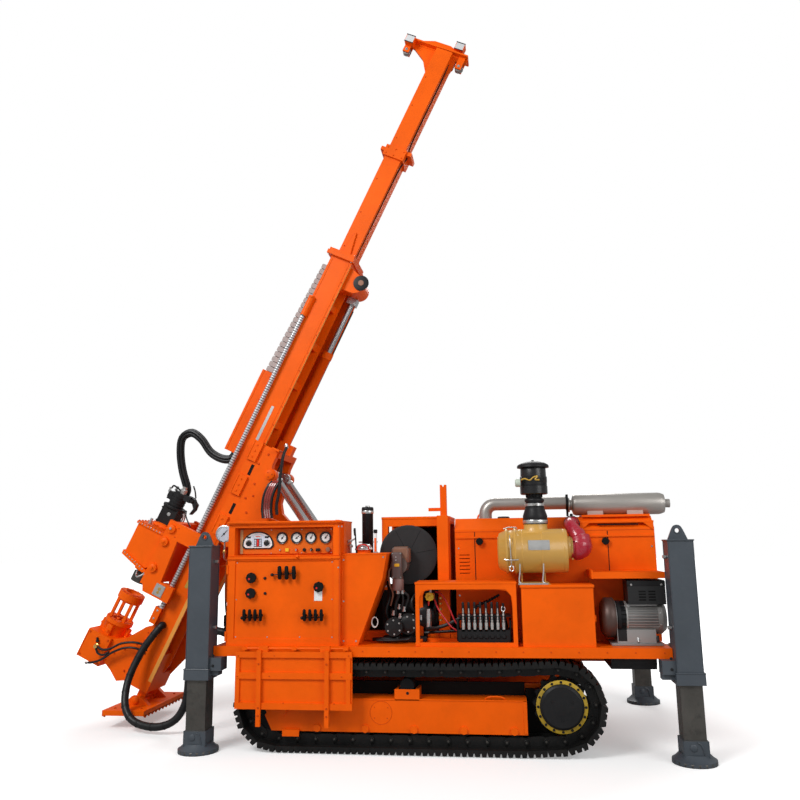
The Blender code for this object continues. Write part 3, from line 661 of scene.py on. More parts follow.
look("frame_right", ORANGE_RGB, 0.40, grime=0.12, grime_colour=(0.30, 0.05, 0.002), shine=0.12,
     zones=[((-0.60, 0.785, 0.05), (1.44, 1.02, 0.1490), BLACK_RGB, 0.45, 0.3),
            ((-0.86, 0.825, 0.10), (-0.37, 0.975, 0.65), BLACK_RGB, 0.45, 0.3),
            ((0.40, 0.781, 0.452), (0.54, 1.02, 0.60), BLACK_RGB, 0.45, 0.3)])
look("deck_paint", ORANGE_RGB, 0.38, grime=0.12, grime_colour=(0.30, 0.05, 0.002), shine=0.12,
     zones=[((2.561, -0.9, 0.7), (2.75, -0.74, 0.87), (0.10, 0.08, 0.07), 0.5, 0.6)])
look("winch_paint", ORANGE_RGB, 0.38, grime=0.12, grime_colour=(0.30, 0.05, 0.002), shine=0.12,
     zones=[((0.40, -0.61, 1.515), (0.48, 0.03, 1.595), (0.4, 0.4, 0.4), 0.3, 0.9),
            ((0.365, -0.61, 1.245), (0.515, -0.550, 1.665), BLACK_RGB, 0.5, 0.0),
            # Below the shelf the frame's lower bay is painted black: painted shade of the open bay
            ((0.200, -0.63, 0.80), (0.840, 0.10, 1.248), BLACK_RGB, 0.5, 0.0),
            ((0.365, -0.03, 1.245), (0.515, 0.025, 1.665), BLACK_RGB, 0.5, 0.0)])
look("generator_metal", (0.42, 0.41, 0.40), 0.38, 0.7, grain=110, bump=0.3, spread=0.12,
     zones=[((2.262, -0.97, 1.144), (2.57, -0.71, 1.34), BLACK_RGB, 0.4, 0.0),
            ((2.05, -1.02, 0.86), (2.17, -0.66, 1.21), (0.10, 0.06, 0.05), 0.45, 0.4),
            ((2.175, -1.02, 0.86), (2.245, -0.66, 1.21), BLACK_RGB, 0.45, 0.3)])
look("winch_motor_metal", (0.15, 0.10, 0.085), 0.45, 0.3, grain=110, bump=0.4, spread=0.25)

NAMED = {
    "mast": "mast_paint", "track_frame_left": "frame_left", "track_frame_right": "frame_right",
    "deck_frame": "deck_paint", "winch_frame": "winch_paint", "generator": "generator_metal",
    "winch_motor": "winch_motor_metal",
    "dial_panel": "orange", "muffler": "stainless", "exhaust_pipe": "stainless", "engine_block": "casting",
    "spindle": "worn_steel", "slide_cylinder_rod": "rod_steel",
}
BY_SLOT = {
    "orange_paint": "orange", "slate_paint": "slate", "black_parts": "black", "track_steel": "track",
    "bright_steel": "rod_steel", "tan_paint": "tan", "crimson_rubber": "crimson", "grey_casting": "casting",
}
SLOT_OF = {entry["node"]: entry["material_slot"] for entry in frame["record"]["subparts"]}


def finish_of(name):
    if name.startswith("jack_leg"):
        return "worn_steel"
    return NAMED.get(name, BY_SLOT[SLOT_OF.get(name, "black_parts")])


def finish_nodes():
    for name, obj in NODES.items():
        obj.data.materials.clear()
        obj.data.materials.append(LOOKS[finish_of(name)])


finish_nodes()

# Main forms, in more detail than the solids they stand for


def new_collection(name, hidden=False):
    found = bpy.data.collections.new(name)
    bpy.context.scene.collection.children.link(found)
    found.hide_render = hidden
    return found


def place(obj, parent=None, centre=(0, 0, 0)):
    RIG.objects.link(obj)
    obj.location = centre
    obj.parent = parent
    return obj


def add(name, bm, parent=None, centre=(0, 0, 0), smooth=False):
    bmesh.ops.recalc_face_normals(bm, faces=bm.faces)
    mesh = bpy.data.meshes.new(name)
    bm.to_mesh(mesh)
    bm.free()
    if smooth:
        mesh.polygons.foreach_set("use_smooth", [True] * len(mesh.polygons))
        mesh.set_sharp_from_angle(angle=math.radians(35))
    return place(bpy.data.objects.new(name, mesh), parent, centre)


def empty(name, spot, parent=None, turn=(0, 0, 0)):
    obj = bpy.data.objects.new(name, None)
    RIG.objects.link(obj)
    obj.location = spot
    obj.rotation_euler = turn
    obj.parent = parent
    return obj


def box(name, low, high, parent=None, bevel=0.0):
    middle = [(a + b) / 2 for a, b in zip(low, high)]
    size = [abs(b - a) for a, b in zip(low, high)]
    bm = bmesh.new()
    bmesh.ops.create_cube(bm, size=1.0)
    bmesh.ops.scale(bm, vec=size, verts=bm.verts)
    obj = add(name, bm, parent, middle)
    if bevel:
        edge = obj.modifiers.new("edge", "BEVEL")
        edge.width = bevel
        edge.segments = 2
    return obj


def prism(name, points, low, high, parent=None, axis="y", smooth=False):
    """A flat outline pushed along an axis. It is (x, z) for y, (y, z) for x and (x, y) for z."""
    lift = {
        "y": lambda a, b, c: (a, c, b),
        "x": lambda a, b, c: (c, a, b),
        "z": lambda a, b, c: (a, b, c),
    }[axis]
    bm = bmesh.new()
    face = bm.faces.new([bm.verts.new(lift(a, b, low)) for a, b in points])
    made = bmesh.ops.extrude_face_region(bm, geom=[face])
    moved = [v for v in made["geom"] if isinstance(v, bmesh.types.BMVert)]
    shift = Vector(lift(0, 0, high)) - Vector(lift(0, 0, low))
    bmesh.ops.translate(bm, vec=shift, verts=moved)
    return add(name, bm, parent, smooth=smooth)


def rod(name, start, end, radius, parent=None, steps=20, radius_end=None):
    start, end = Vector(start), Vector(end)
    along = end - start
    far = radius if radius_end is None else radius_end
    bm = bmesh.new()
    bmesh.ops.create_cone(bm, cap_ends=True, segments=steps, radius1=radius, radius2=far,
                          depth=along.length)
    turn = along.to_track_quat("Z", "Y").to_matrix().to_4x4()
    bmesh.ops.transform(bm, matrix=turn, verts=bm.verts)
    return add(name, bm, parent, (start + end) / 2, smooth=True)


def lathe(name, profile, centre, parent=None, steps=32, turn=(0, 0, 0)):
    """A profile of (radius, height), listed from the top down, turned round its own z axis."""
    bm = bmesh.new()
    line = [bm.verts.new((radius, 0.0, height)) for radius, height in profile]
    for a, b in zip(line, line[1:]):
        bm.edges.new((a, b))
    mesh = bpy.data.meshes.new(name)
    bm.to_mesh(mesh)
    bm.free()
    obj = place(bpy.data.objects.new(name, mesh), parent, centre)
    obj.rotation_euler = turn
    screw = obj.modifiers.new("turn", "SCREW")
    screw.steps = steps
    screw.render_steps = steps
    screw.use_merge_vertices = True
    screw.merge_threshold = 0.0001
    screw.use_smooth_shade = True
    return obj


def hose(name, points, radius, parent=None, sizes=None, resolution=3):
    """A bent tube through points, with closed ends."""
    curve = bpy.data.curves.new(name, "CURVE")
    curve.dimensions = "3D"
    curve.bevel_depth = radius
    curve.bevel_resolution = resolution
    curve.use_fill_caps = True
    spline = curve.splines.new("POLY")
    spline.points.add(len(points) - 1)
    for i, (point, spot) in enumerate(zip(spline.points, points)):
        point.co = (*spot, 1.0)
        point.radius = sizes[i] if sizes else 1.0
    spline.use_smooth = True
    return place(bpy.data.objects.new(name, curve), parent)


def helpers(target, parts, operation):
    group = new_collection(f"{target.name}_{operation.lower()}", hidden=True)
    for part in parts:
        RIG.objects.unlink(part)
        group.objects.link(part)
        part.hide_render = True
        part.display_type = "WIRE"
    step = target.modifiers.new(operation.lower(), "BOOLEAN")
    step.operation = operation
    step.solver = "EXACT"
    step.operand_type = "COLLECTION"
    step.collection = group
    return target


def fuse(target, *parts):
    return helpers(target, parts, "UNION")


def cut(target, *parts):
    return helpers(target, parts, "DIFFERENCE")


def build_track_frame(name, side):
    reach = TRACK_Y[1] - 0.10
    inner, outer = sides(side, FRAME_INNER, reach)
    chain_z = SHOE_TIP + LINK_DEPTH
    low, high = chain_z + 0.019, chain_z + 0.279
    profile = [(-0.60, high), (-0.72, low + 0.12), (-0.66, low), (1.43, low), (1.43, high)]
    beam = prism(name, profile, inner, outer)
    parts = []
    z = chain_z + ROLLER_R + 0.0008
    for k, x in enumerate(ROLLER_X):
        near, far = (x, side * 0.79, z), (x, side * (reach - 0.01), z)
        parts.append(rod(f"{name}_roller_{k}", near, far, ROLLER_R, steps=16))
        near, far = (x, side * 0.95, z - 0.024), (x, side * (reach + 0.015), z - 0.024)
        parts.append(rod(f"{name}_axle_{k}", near, far, 0.030, steps=10))
    z = BELT_TOP - LINK_DEPTH - 0.063
    parts.append(box(f"{name}_carrier_post", (0.375, inner, high - 0.01), (0.565, outer, z - 0.025)))
    parts.append(rod(f"{name}_carrier", (0.47, side * 0.80, z), (0.47, side * (reach - 0.01), z), 0.058,
                     steps=16))
    x, z = TRACK_X[0], TRACK_END_Z[0]
    wheel = TRACK_END_R - LINK_DEPTH - 0.0015
    near, far = LINK_Y[0] + 0.01, LINK_Y[1] - 0.01
    parts.append(rod(f"{name}_idler", (x, side * near, z), (x, side * far, z), wheel, steps=28))
    parts.append(rod(f"{name}_idler_hub", (x, side * FRAME_INNER, z), (x, side * (reach + 0.03), z), 0.10))
    near, far = sides(side, 0.70, FRAME_INNER - 0.0203)
    parts.append(box(f"{name}_final_drive", (1.25, near, low + 0.09), (1.84, far, high + 0.09)))
    near, far = sides(side, 0.70, FRAME_INNER + 0.02)
    parts.append(box(f"{name}_drive_root", (1.22, near, low + 0.07), (1.42, far, high - 0.01)))
    near, far = sides(side, reach - 0.005, reach + 0.035)
    parts.append(box(f"{name}_step", (-0.56, near, low - 0.035), (-0.42, far, low + 0.015)))
    return fuse(beam, *parts)


def build_sprocket(name, side):
    x, z = TRACK_X[1], TRACK_END_Z[1]
    face = TRACK_Y[1]
    teeth = 15
    tip = TRACK_END_R - LINK_DEPTH - 0.004
    root = tip - 0.025
    outline = []
    for k in range(teeth):
        for share, radius in ((0.0, root), (0.28, tip), (0.52, tip), (0.80, root)):
            a = 2 * math.pi * (k + share) / teeth
            outline.append((x + radius * math.cos(a), z + radius * math.sin(a)))
    lo, hi = sides(side, LINK_Y[0] + 0.04, LINK_Y[1] - 0.04)
    ring = prism(name, outline, lo, hi)
    start = FRAME_INNER - 0.02
    hub = rod(f"{name}_hub", (x, side * start, z), (x, side * (face - 0.10), z), root - 0.031)
    rim = rod(f"{name}_rim", (x, side * (face - 0.11), z), (x, side * (face - 0.06), z), root - 0.003,
              steps=28)
    cover = rod(f"{name}_cover", (x, side * (face - 0.07), z), (x, side * (face - 0.015), z), 0.150,
                steps=24)
    return fuse(ring, hub, rim, cover)


def build_undercarriage():
    rail_foot = DECK_TOP - DECK_THICK - RAIL_DEPTH
    frame = box("undercarriage_frame", (-0.35, -0.56, 0.44), (1.30, 0.56, rail_foot - GAP))
    arms = []
    for k, x in enumerate((-0.05, 1.05)):
        reach = FRAME_INNER - GAP
        arms.append(box(f"cross_arm_{k}", (x - 0.10, -reach, 0.27), (x + 0.10, reach, 0.50)))
    fuse(frame, *arms)
    cut(
        frame,
        box("frame_well_front", (-0.30, -0.50, 0.30), (-0.20, 0.50, 0.60)),
        box("frame_well_middle", (0.10, -0.50, 0.30), (0.90, 0.50, 0.60)),
    )
    for side, word in SIDES:
        build_track_frame(f"track_frame_{word}", side)
        build_sprocket(f"drive_sprocket_{word}", side)


def deck_wells():
    """Hollows in the underside, between the deck's long and cross members."""
    wells = []
    rows = ((-1.02, -0.52), (-0.32, 0.32), (0.52, 1.02))
    columns = ((-1.09, 0.62), (0.68, 2.50))
    for i, (y0, y1) in enumerate(rows):
        for j, (x0, x1) in enumerate(columns):
            wells.append(box(f"deck_well_{i}_{j}", (x0, y0, 0.50), (x1, y1, DECK_TOP - 0.012)))
    return wells


def build_deck():
    top, thick = DECK_TOP, DECK_THICK
    deck = box("deck_frame", (DECK_X[0], -DECK_Y, top - thick), (DECK_X[1], DECK_Y, top))
    parts = []
    for side in (-1, 1):
        low, high = sides(side, DECK_RAIL_Y - 0.08, DECK_RAIL_Y + 0.08)
        parts.append(box(f"deck_rail_{side}", (-1.05, low, top - thick - RAIL_DEPTH),
                         (2.45, high, top - thick + 0.02)))
        for k, y in enumerate((0.095, 0.26)):
            low, high = sides(side, y, y + 0.025)
            profile = [(-0.06, top - 0.005), (0.17, top - 0.005), (0.10, 0.99), (0.01, 0.99)]
            parts.append(prism(f"tilt_lug_{side}_{k}", profile, low, high))
        x, _, z = TILT_FOOT
        parts.append(rod(f"tilt_foot_pin_{side}", (x, side * 0.085, z), (x, side * 0.295, z), 0.026))
    px, py, pz = PLATFORM_AXIS
    for k, x in enumerate((-0.88, -0.46, -0.03)):
        parts.append(box(f"platform_lug_{k}", (x, py - 0.0125, pz - 0.0125),
                         (x + 0.04, -1.05, pz + 0.0085)))
    parts.append(rod("platform_pin", (-0.88, py, pz), (0.01, py, pz), 0.01, steps=16))
    parts.append(rod("tow_eye_stub", (2.50, -0.82, 0.785), (2.70, -0.82, 0.785), 0.036))
    parts.append(rod("tow_eye_rim", (2.62, -0.82, 0.785), (2.66, -0.82, 0.785), 0.048))
    cut(deck, *deck_wells())
    fuse(deck, *parts)
    tray = [(-1.02, 0.70), (-1.00, 0.655), (-0.56, 0.655), (-0.52, 0.70), (-0.52, top - thick - GAP),
            (-1.02, top - thick - GAP)]
    prism("under_tray", tray, 2.10, 2.45, axis="x")


def build_jack(word, x, y):
    half = JACK_SIDE / 2
    inward = 1 if x < 0 else -1
    sleeve = box(f"jack_sleeve_{word}", (x - half, y - half, JACK_BOTTOM), (x + half, y + half, JACK_TOP))
    ear = [(x - 0.075, JACK_TOP - 0.01)] + [(x - 0.075, JACK_TOP + 0.004)]
    ear += [(x - 0.045, JACK_TOP + 0.075)] + arc(x, JACK_TOP + 0.075, 0.040, 160, 20, 8)
    ear += [(x + 0.045, JACK_TOP + 0.075), (x + 0.075, JACK_TOP + 0.004), (x + 0.075, JACK_TOP - 0.01)]
    lug = prism(f"jack_lug_{word}", ear, y - 0.012, y + 0.012)
    out = half + 0.012
    collar = box(f"jack_collar_{word}", (x - out, y - out, JACK_BOTTOM - 0.03), (x + out, y + out, 0.655))
    cap = box(f"jack_cap_{word}", (x - half - 0.006, y - half - 0.006, JACK_TOP - 0.012),
              (x + half + 0.006, y + half + 0.006, JACK_TOP))
    x0, x1 = sorted((x, x + inward * 0.20))
    arm = box(f"jack_arm_{word}", (x0, y - 0.07, 0.64), (x1, y + 0.07, DECK_TOP - DECK_THICK - GAP))
    toe = box(f"jack_toe_{word}", (x0, y - 0.045, 0.60), (x1 - 0.03, y + 0.045, 0.66))
    fuse(sleeve, lug, cap, collar, arm, toe)
    inside = half - JACK_WALL
    bore = box(f"jack_bore_{word}", (x - inside, y - inside, 0.40),
               (x + inside, y + inside, JACK_TOP - 0.03))
    eye = rod(f"jack_eye_{word}", (x, y - 0.1, JACK_TOP + 0.07), (x, y + 0.1, JACK_TOP + 0.07), 0.018,
              steps=10)
    cut(sleeve, bore, eye)
    inner = inside - RUN
    leg = box(f"jack_leg_{word}", (x - inner, y - inner, 0.05), (x + inner, y + inner, 1.05))
    shoe = box(f"jack_shoe_{word}", (x - 0.092, y - 0.092, 0.045), (x + 0.092, y + 0.092, 0.175))
    foot = lathe(f"jack_foot_{word}", [(0.0, 0.075), (0.10, 0.07), (0.145, 0.030), (FOOT_RADIUS, 0.026),
                                       (FOOT_RADIUS, 0.0), (0.0, 0.0)], (x, y, 0.0), steps=20)
    fuse(leg, shoe, foot)


def build_jacks():
    for word, x, side in JACKS:
        build_jack(word, x, side * JACK_Y)


def build_controls():
    cabinet = box("control_cabinet", (-1.055, -1.05, DECK_TOP + GAP), (-0.075, -0.64, 1.84))
    cut(
        cabinet,
        box("dial_recess", (-1.00, -1.20, 1.565), (-0.135, -0.95, 1.80)),
        box("lever_recess", (-0.99, -1.20, 0.88), (-0.13, -1.040, 1.52)),
    )
    fuse(
        cabinet,
        box("cabinet_roof", (-1.065, -1.075, 1.833), (-0.055, -0.63, 1.848)),
        box("cabinet_wing", (-0.10, -0.98, 1.5723), (-0.055, -0.65, 1.84)),
        box("cabinet_sill", (-1.055, -1.062, 1.535), (-0.075, -1.04, 1.555)),
    )
    profile = [(-0.0747, DECK_TOP + GAP), (0.065, DECK_TOP + GAP), (0.275, 1.36), (0.315, 1.572),
               (-0.0747, 1.572)]
    tank = prism("hydraulic_tank", profile, -1.0, -0.63)
    neck = rod("tank_neck", (0.095, -0.86, 1.56), (0.095, -0.86, 1.60), 0.062)
    fuse(tank, neck)
    can = [(0.0, 0.40), (0.050, 0.40), (0.054, 0.385), (0.054, 0.345), (0.050, 0.34), (0.050, 0.0),
           (0.0, 0.0)]
    lathe("accumulator", can, (0.10, -0.70, 1.5723), steps=16)


def build_platform():
    """The step platform folds up about the deck edge. Its two stays swing with it."""
    hinge = empty("platform_axis", PLATFORM_AXIS)
    x0, x1 = -0.93 - PLATFORM_AXIS[0], 0.045 - PLATFORM_AXIS[0]
    top, bottom = -0.024, 0.345 - PLATFORM_AXIS[2]
    plate = box("folding_platform", (x0, -0.012, bottom), (x1, 0.0, top), hinge)
    ribs = []
    for k, (low, high) in enumerate(((top - 0.045, top), (-0.235, -0.185), (bottom, bottom + 0.05))):
        ribs.append(box(f"platform_rail_{k}", (x0, -0.030, low), (x1, -0.005, high), hinge))
    for k, x in enumerate((x0, x1 - 0.050)):
        ribs.append(box(f"platform_rib_{k}", (x, -0.028, bottom + 0.004), (x + 0.035, -0.005, top - 0.004),
                        hinge))
    for k, x in enumerate((-0.305, 0.262)):
        ribs.append(box(f"platform_stay_{k}", (x, -0.046, -0.60), (x + 0.036, -0.02, -0.01), hinge))
    for k, x in enumerate((-0.30, 0.22)):
        ribs.append(box(f"platform_knuckle_{k}", (x, -0.02, top - 0.02), (x + 0.08, 0.018, 0.02), hinge))
    fuse(plate, *ribs)
    cut(plate, rod("platform_bore", (-1, 0, 0), (1, 0, 0), 0.0104, hinge, steps=16))


def build_winch():
    """Open frame with the winch in it, and the post that the mast lies on for travel."""
    x0, x1, y0, y1 = 0.215, 0.825, -0.62, 0.08
    base = DECK_TOP + GAP
    frame = box("winch_frame", (x0, y0, 1.80), (x1, y0 + 0.08, 1.88))
    parts = [box("winch_header_far", (x0, y1 - 0.08, 1.80), (x1, y1, 1.88))]
    for k, (x, y) in enumerate(((x0, y0), (x1 - 0.055, y0), (x0, y1 - 0.08), (x1 - 0.055, y1 - 0.08))):
        parts.append(box(f"winch_post_{k}", (x, y, base), (x + 0.055, y + 0.08, 1.82)))
    for k, x in enumerate((x0, x1 - 0.055)):
        parts.append(box(f"winch_tie_{k}", (x, y0 + 0.02, 1.82), (x + 0.055, y1 - 0.02, 1.87)))
        parts.append(box(f"winch_sill_{k}", (x, y0 + 0.02, 1.19), (x + 0.055, y1 - 0.02, 1.245)))
    x, _, z = WINCH
    parts.append(box("winch_shelf", (x0, y0 + 0.02, 1.20), (x1, y1 - 0.02, 1.24)))
    parts.append(box("winch_bearing_far", (0.37, -0.02, 1.22), (0.51, 0.02, 1.66)))
    parts.append(box("winch_bearing_near", (0.37, -0.60, 1.22), (0.51, -0.565, 1.66)))
    parts.append(rod("winch_shaft", (x, -0.60, z), (x, 0.02, z), 0.035))
    parts.append(box("mast_rest", (0.712, -0.24, base), (0.772, -0.17, 2.15)))
    parts.append(box("mast_rest_low", (0.700, -0.245, base), (0.784, -0.165, 1.24)))
    parts.append(box("mast_rest_arm", (0.60, -0.235, 1.945), (0.73, -0.175, 1.975)))
    cradle = [(0.712, 2.14), (0.772, 2.14), (0.772, 2.19), (0.755, 2.19), (0.742, 2.165), (0.729, 2.19),
              (0.712, 2.19)]
    parts.append(prism("mast_rest_fork", cradle, -0.24, -0.17))
    fuse(frame, *parts)
    y = WINCH[1]
    near, far = y - 0.20, y + 0.215
    reel = [(0.0, near), (WINCH_RADIUS, near), (WINCH_RADIUS, near + 0.014), (0.235, near + 0.022),
            (0.13, near + 0.03), (0.13, far - 0.03), (0.235, far - 0.022), (WINCH_RADIUS, far - 0.014),
            (WINCH_RADIUS, far), (0.0, far)]
    profile = [(radius, -height) for radius, height in reel]
    drum = lathe("winch_drum", profile, (x, 0.0, z), steps=28, turn=(math.radians(90), 0, 0))
    cut(drum, rod("drum_bore", (x, -1, z), (x, 1, z), 0.0358))
    motor = rod("winch_motor", (x - 0.05, -0.80, z - 0.09), (x - 0.05, -0.6003, z - 0.09), 0.072)
    fuse(
        motor,
        box("motor_case", (x - 0.115, -0.78, z - 0.08), (x + 0.035, -0.64, z + 0.065), bevel=0.02),
        box("motor_front", (x - 0.105, -0.84, z - 0.20), (x - 0.025, -0.76, z + 0.02)),
        rod("motor_neck", (x - 0.06, -0.80, z - 0.29), (x - 0.06, -0.80, z - 0.18), 0.046),
    )
    pumps = box("pump_group", (0.28, -0.58, base), (0.70, -0.28, 1.02))
    more = [
        rod("pump_a", (0.352, -0.90, 0.96), (0.352, -0.50, 0.96), 0.075),
        rod("pump_b", (0.465, -0.86, 0.98), (0.465, -0.50, 0.98), 0.082),
        box("pump_block", (0.40, -0.71, base), (0.62, -0.55, 1.10)),
        rod("pump_c", (0.66, -0.68, 1.02), (0.66, -0.40, 1.02), 0.06),
        rod("filter_can", (0.46, -0.70, 1.00), (0.46, -0.70, 1.17), 0.05),
    ]
    fuse(pumps, *more)


def build_valves():
    """Angle frame with gusseted corners, and the bank of eight lever valves inside it."""
    x0, x1, y0, y1 = 0.557, 1.38, -1.05, -0.72
    z0, z1 = DECK_TOP + GAP, 1.33
    frame = box("valve_frame", (x0, y0, z0), (x1, y1, z1))
    a, b, low, high = x0 + 0.03, x1 - 0.035, z0 + 0.03, z1 - 0.055
    front = [(a, low), (b, low), (b, high - 0.06), (b - 0.05, high), (a + 0.06, high),
             (a + 0.02, high - 0.02), (a, high - 0.07)]
    cut(
        frame,
        prism("valve_front", front, y0 - 0.1, y1 + 0.1),
        box("valve_side", (x0 - 0.1, y0 + 0.035, low), (x1 + 0.1, y1 - 0.035, high)),
        box("valve_bottom", (a, y0 + 0.035, z0 - 0.1), (b, y1 - 0.035, z0 + 0.2)),
    )
    bank = box("valve_bank", (0.90, -1.0, z0), (1.32, -0.80, 0.95))
    parts = []
    for k in range(8):
        x = 0.925 + 0.0467 * k
        parts.append(box(f"valve_body_{k}", (x, -0.985, 0.94), (x + 0.036, -0.82, 1.06)))
        parts.append(rod(f"valve_lever_{k}", (x + 0.018, -0.975, 1.03), (x + 0.018, -1.0, 1.16), 0.011,
                         steps=8))
    return fuse(bank, *parts)


def build_tool_box():
    case = box("tool_box", (1.42, -1.05, DECK_TOP + GAP), (1.99, -0.66, 1.29))
    lid = box("tool_box_lid", (1.412, -1.058, 1.285), (1.998, -0.655, 1.305))
    return fuse(case, lid)


def hood_outline(inset):
    y0, y1 = HOOD_Y[0] + inset, HOOD_Y[1] - inset
    low = DECK_TOP + GAP - (0.2 if inset else 0.0)
    corner = 0.12 + inset / 3
    return [(y0, low), (y1, low), (y1, HOOD_LIP - inset / 3), (y1 - corner + inset, HOOD_TOP - inset),
            (y0 + corner - inset, HOOD_TOP - inset), (y0, HOOD_LIP - inset / 3)]


def hood_louvres():
    slats = []
    for k in range(6):
        z = 1.385 + 0.031 * k
        slats.append(box(f"louvre_{k}", (0.905, -0.70, z), (0.992, -0.60, z + 0.009)))
        slats.append(box(f"louvre_far_{k}", (0.93, 0.70, z), (1.03, 0.80, z + 0.013)))
    for k in range(10):
        z = 1.02 + 0.062 * k
        slats.append(box(f"rear_louvre_{k}", (2.50, -0.42, z), (2.62, 0.52, z + 0.026)))
    return slats


def build_hood():
    x0, x1 = HOOD_X
    hood = prism("engine_hood", hood_outline(0.0), x0, x1, axis="x")
    hollow = prism("hood_inside", hood_outline(0.03), x0 + 0.03, x1 - 0.03, axis="x")
    cut(
        hood,
        hollow,
        box("door_hole_a", (1.10, 0.6, 1.05), (1.65, 0.9, 1.63)),
        box("door_hole_b", (1.83, 0.6, 1.05), (2.38, 0.9, 1.63)),
        *hood_louvres(),
    )
    parts = [
        box("hood_shelf", (1.9903, -0.98, 1.375), (2.5647, -0.64, 1.40)),
        box("hood_shelf_lip", (1.9903, -0.98, 1.35), (2.5647, -0.965, 1.40)),
        box("hood_shelf_end", (1.9903, -0.98, 1.35), (2.005, -0.64, 1.415)),
        box("hood_rail", (x0 + 0.005, -0.662, 1.685), (x1 - 0.005, -0.64, 1.70)),
        box("hood_rail_far", (x0 + 0.005, 0.74, 1.685), (x1 - 0.005, 0.762, 1.70)),
        rod("intake_stub", (1.88, -0.50, 1.80), (1.88, -0.68, 1.80), 0.062),
        box("muffler_plate", (1.98, -0.58, 1.855), (2.555, -0.32, 1.875)),
    ]
    fuse(hood, *parts)
    for word, low, high, hinge_x in HOOD_DOORS:
        axis = empty(f"hood_door_axis_{word}", (hinge_x, *DOOR_HINGE))
        a, b = low - hinge_x, high - hinge_x
        door = box(f"hood_door_{word}", (a, -0.0145, -0.335), (b, 0.004, 0.335), axis)
        rim = [box(f"door_rim_{word}_{k}", (a + 0.02, 0.0, z), (b - 0.02, 0.010, z + 0.02), axis)
               for k, z in enumerate((-0.30, -0.01, 0.28))]
        fuse(door, *rim)


def build_air_intake():
    x, y, z = CLEANER
    # Heights here run along the cleaner, from its dust-bowl end
    can = [(0.0, 0.57), (0.172, 0.57), (0.180, 0.56), (0.180, 0.155), (0.188, 0.15), (0.188, 0.135),
           (0.176, 0.13),
           (0.176, 0.085), (0.186, 0.08), (0.186, 0.065), (0.172, 0.06), (0.150, 0.012), (0.12, 0.0),
           (0.0, 0.0)]
    cleaner = lathe("air_cleaner", can, (x, y, z), steps=28, turn=(0, math.radians(90), 0))
    parts = []
    for k, low in enumerate((1.41, 1.60)):
        parts.append(box(f"cleaner_leg_{k}", (low + 0.02, y - 0.02, 1.3053), (low + 0.03, y + 0.10, 1.46)))
    parts.append(rod("cleaner_neck", (1.565, y, 1.70), (1.565, y, 1.795), 0.098))
    parts.append(rod("cleaner_outlet", (1.80, y - 0.01, 1.60), (1.845, y - 0.01, 1.60), 0.092))
    fuse(cleaner, *parts)
    stack = [(0.0, 0.525), (0.07, 0.523), (0.118, 0.505), (0.132, 0.488), (0.132, 0.478), (0.105, 0.475),
             (0.105, 0.40), (0.112, 0.395), (0.112, 0.27), (0.100, 0.260), (0.072, 0.255), (0.066, 0.25),
             (0.066, 0.215), (0.082, 0.21), (0.082, 0.19), (0.070, 0.18), (0.085, 0.12), (0.102, 0.07),
             (0.102, 0.0), (0.0, 0.0)]
    lathe("pre_cleaner", stack, PRE_CLEANER, steps=20)


def build_exhaust():
    y = MUFFLER[1]
    bend = arc(1.14 + 0.09, PIPE_Z - 0.09, 0.09, 180, 90, 6)
    route = [(1.14, y, HOOD_TOP + GAP), *[(px, y, pz) for px, pz in bend], (1.50, y, PIPE_Z),
             (1.875, y, PIPE_Z)]
    hose("exhaust_pipe", route, 0.057, resolution=4)
    can = [(0.0, 0.84), (0.036, 0.84), (0.036, 0.795), (0.060, 0.79), (0.090, 0.755), (0.093, 0.73),
           (0.093, 0.045),
           (0.085, 0.02), (0.050, 0.0), (0.045, -0.02), (0.064, -0.022), (0.064, -0.0347), (0.0, -0.0347)]
    muffler = lathe("muffler", can, MUFFLER, steps=24, turn=(0, math.radians(90), 0))
    feet = []
    for k, x in enumerate((2.04, 2.38)):
        feet.append(box(f"muffler_foot_{k}", (x, y - 0.06, 1.8753), (x + 0.125, y + 0.06, 1.92)))
    fuse(muffler, *feet)


def build_generator():
    y = GENERATOR[1]
    can = [(0.0, 0.51), (0.09, 0.50), (0.125, 0.47), (0.125, 0.12), (0.158, 0.10), (0.158, 0.03),
           (0.12, 0.0), (0.0, 0.0)]
    body = lathe("generator", can, GENERATOR, steps=24, turn=(0, math.radians(90), 0))
    parts = [box("generator_feet", (2.17, y - 0.11, DECK_TOP + GAP), (2.47, y + 0.11, 0.95)),
             box("generator_seat", (2.26, y - 0.08, 1.10), (2.50, y + 0.08, 1.1503))]
    parts.append(box("generator_terminals", (2.27, y - 0.12, 1.145), (2.5647, y + 0.12, 1.33)))
    return fuse(body, *parts)


def build_trestle():
    base = DECK_TOP + GAP
    outline = [(-1.10, base), (-0.30, base), (-0.36, 0.95), (-0.66, 1.70)]
    outline += arc(-0.803, 1.761, 0.10, -10, 190, 12)
    outline += [(-1.06, 1.50)]
    near = prism("mast_trestle", outline, -0.44, -0.40)
    window = [(-0.98, 0.96), (-0.50, 0.96), (-0.78, 1.56), (-0.92, 1.50)]
    pin = MAST_PIVOT
    parts = [
        prism("trestle_far", outline, 0.40, 0.44),
        box("trestle_base", (-1.05, -0.43, base), (-0.40, 0.43, 0.87)),
        box("trestle_tie", (-0.72, -0.43, 0.86), (-0.66, 0.43, 1.10)),
        rod("trestle_pin", (pin[0], -0.47, pin[2]), (pin[0], 0.47, pin[2]), 0.045),
    ]
    fuse(near, *parts)
    return cut(near, prism("trestle_window", window, -0.5, 0.5))


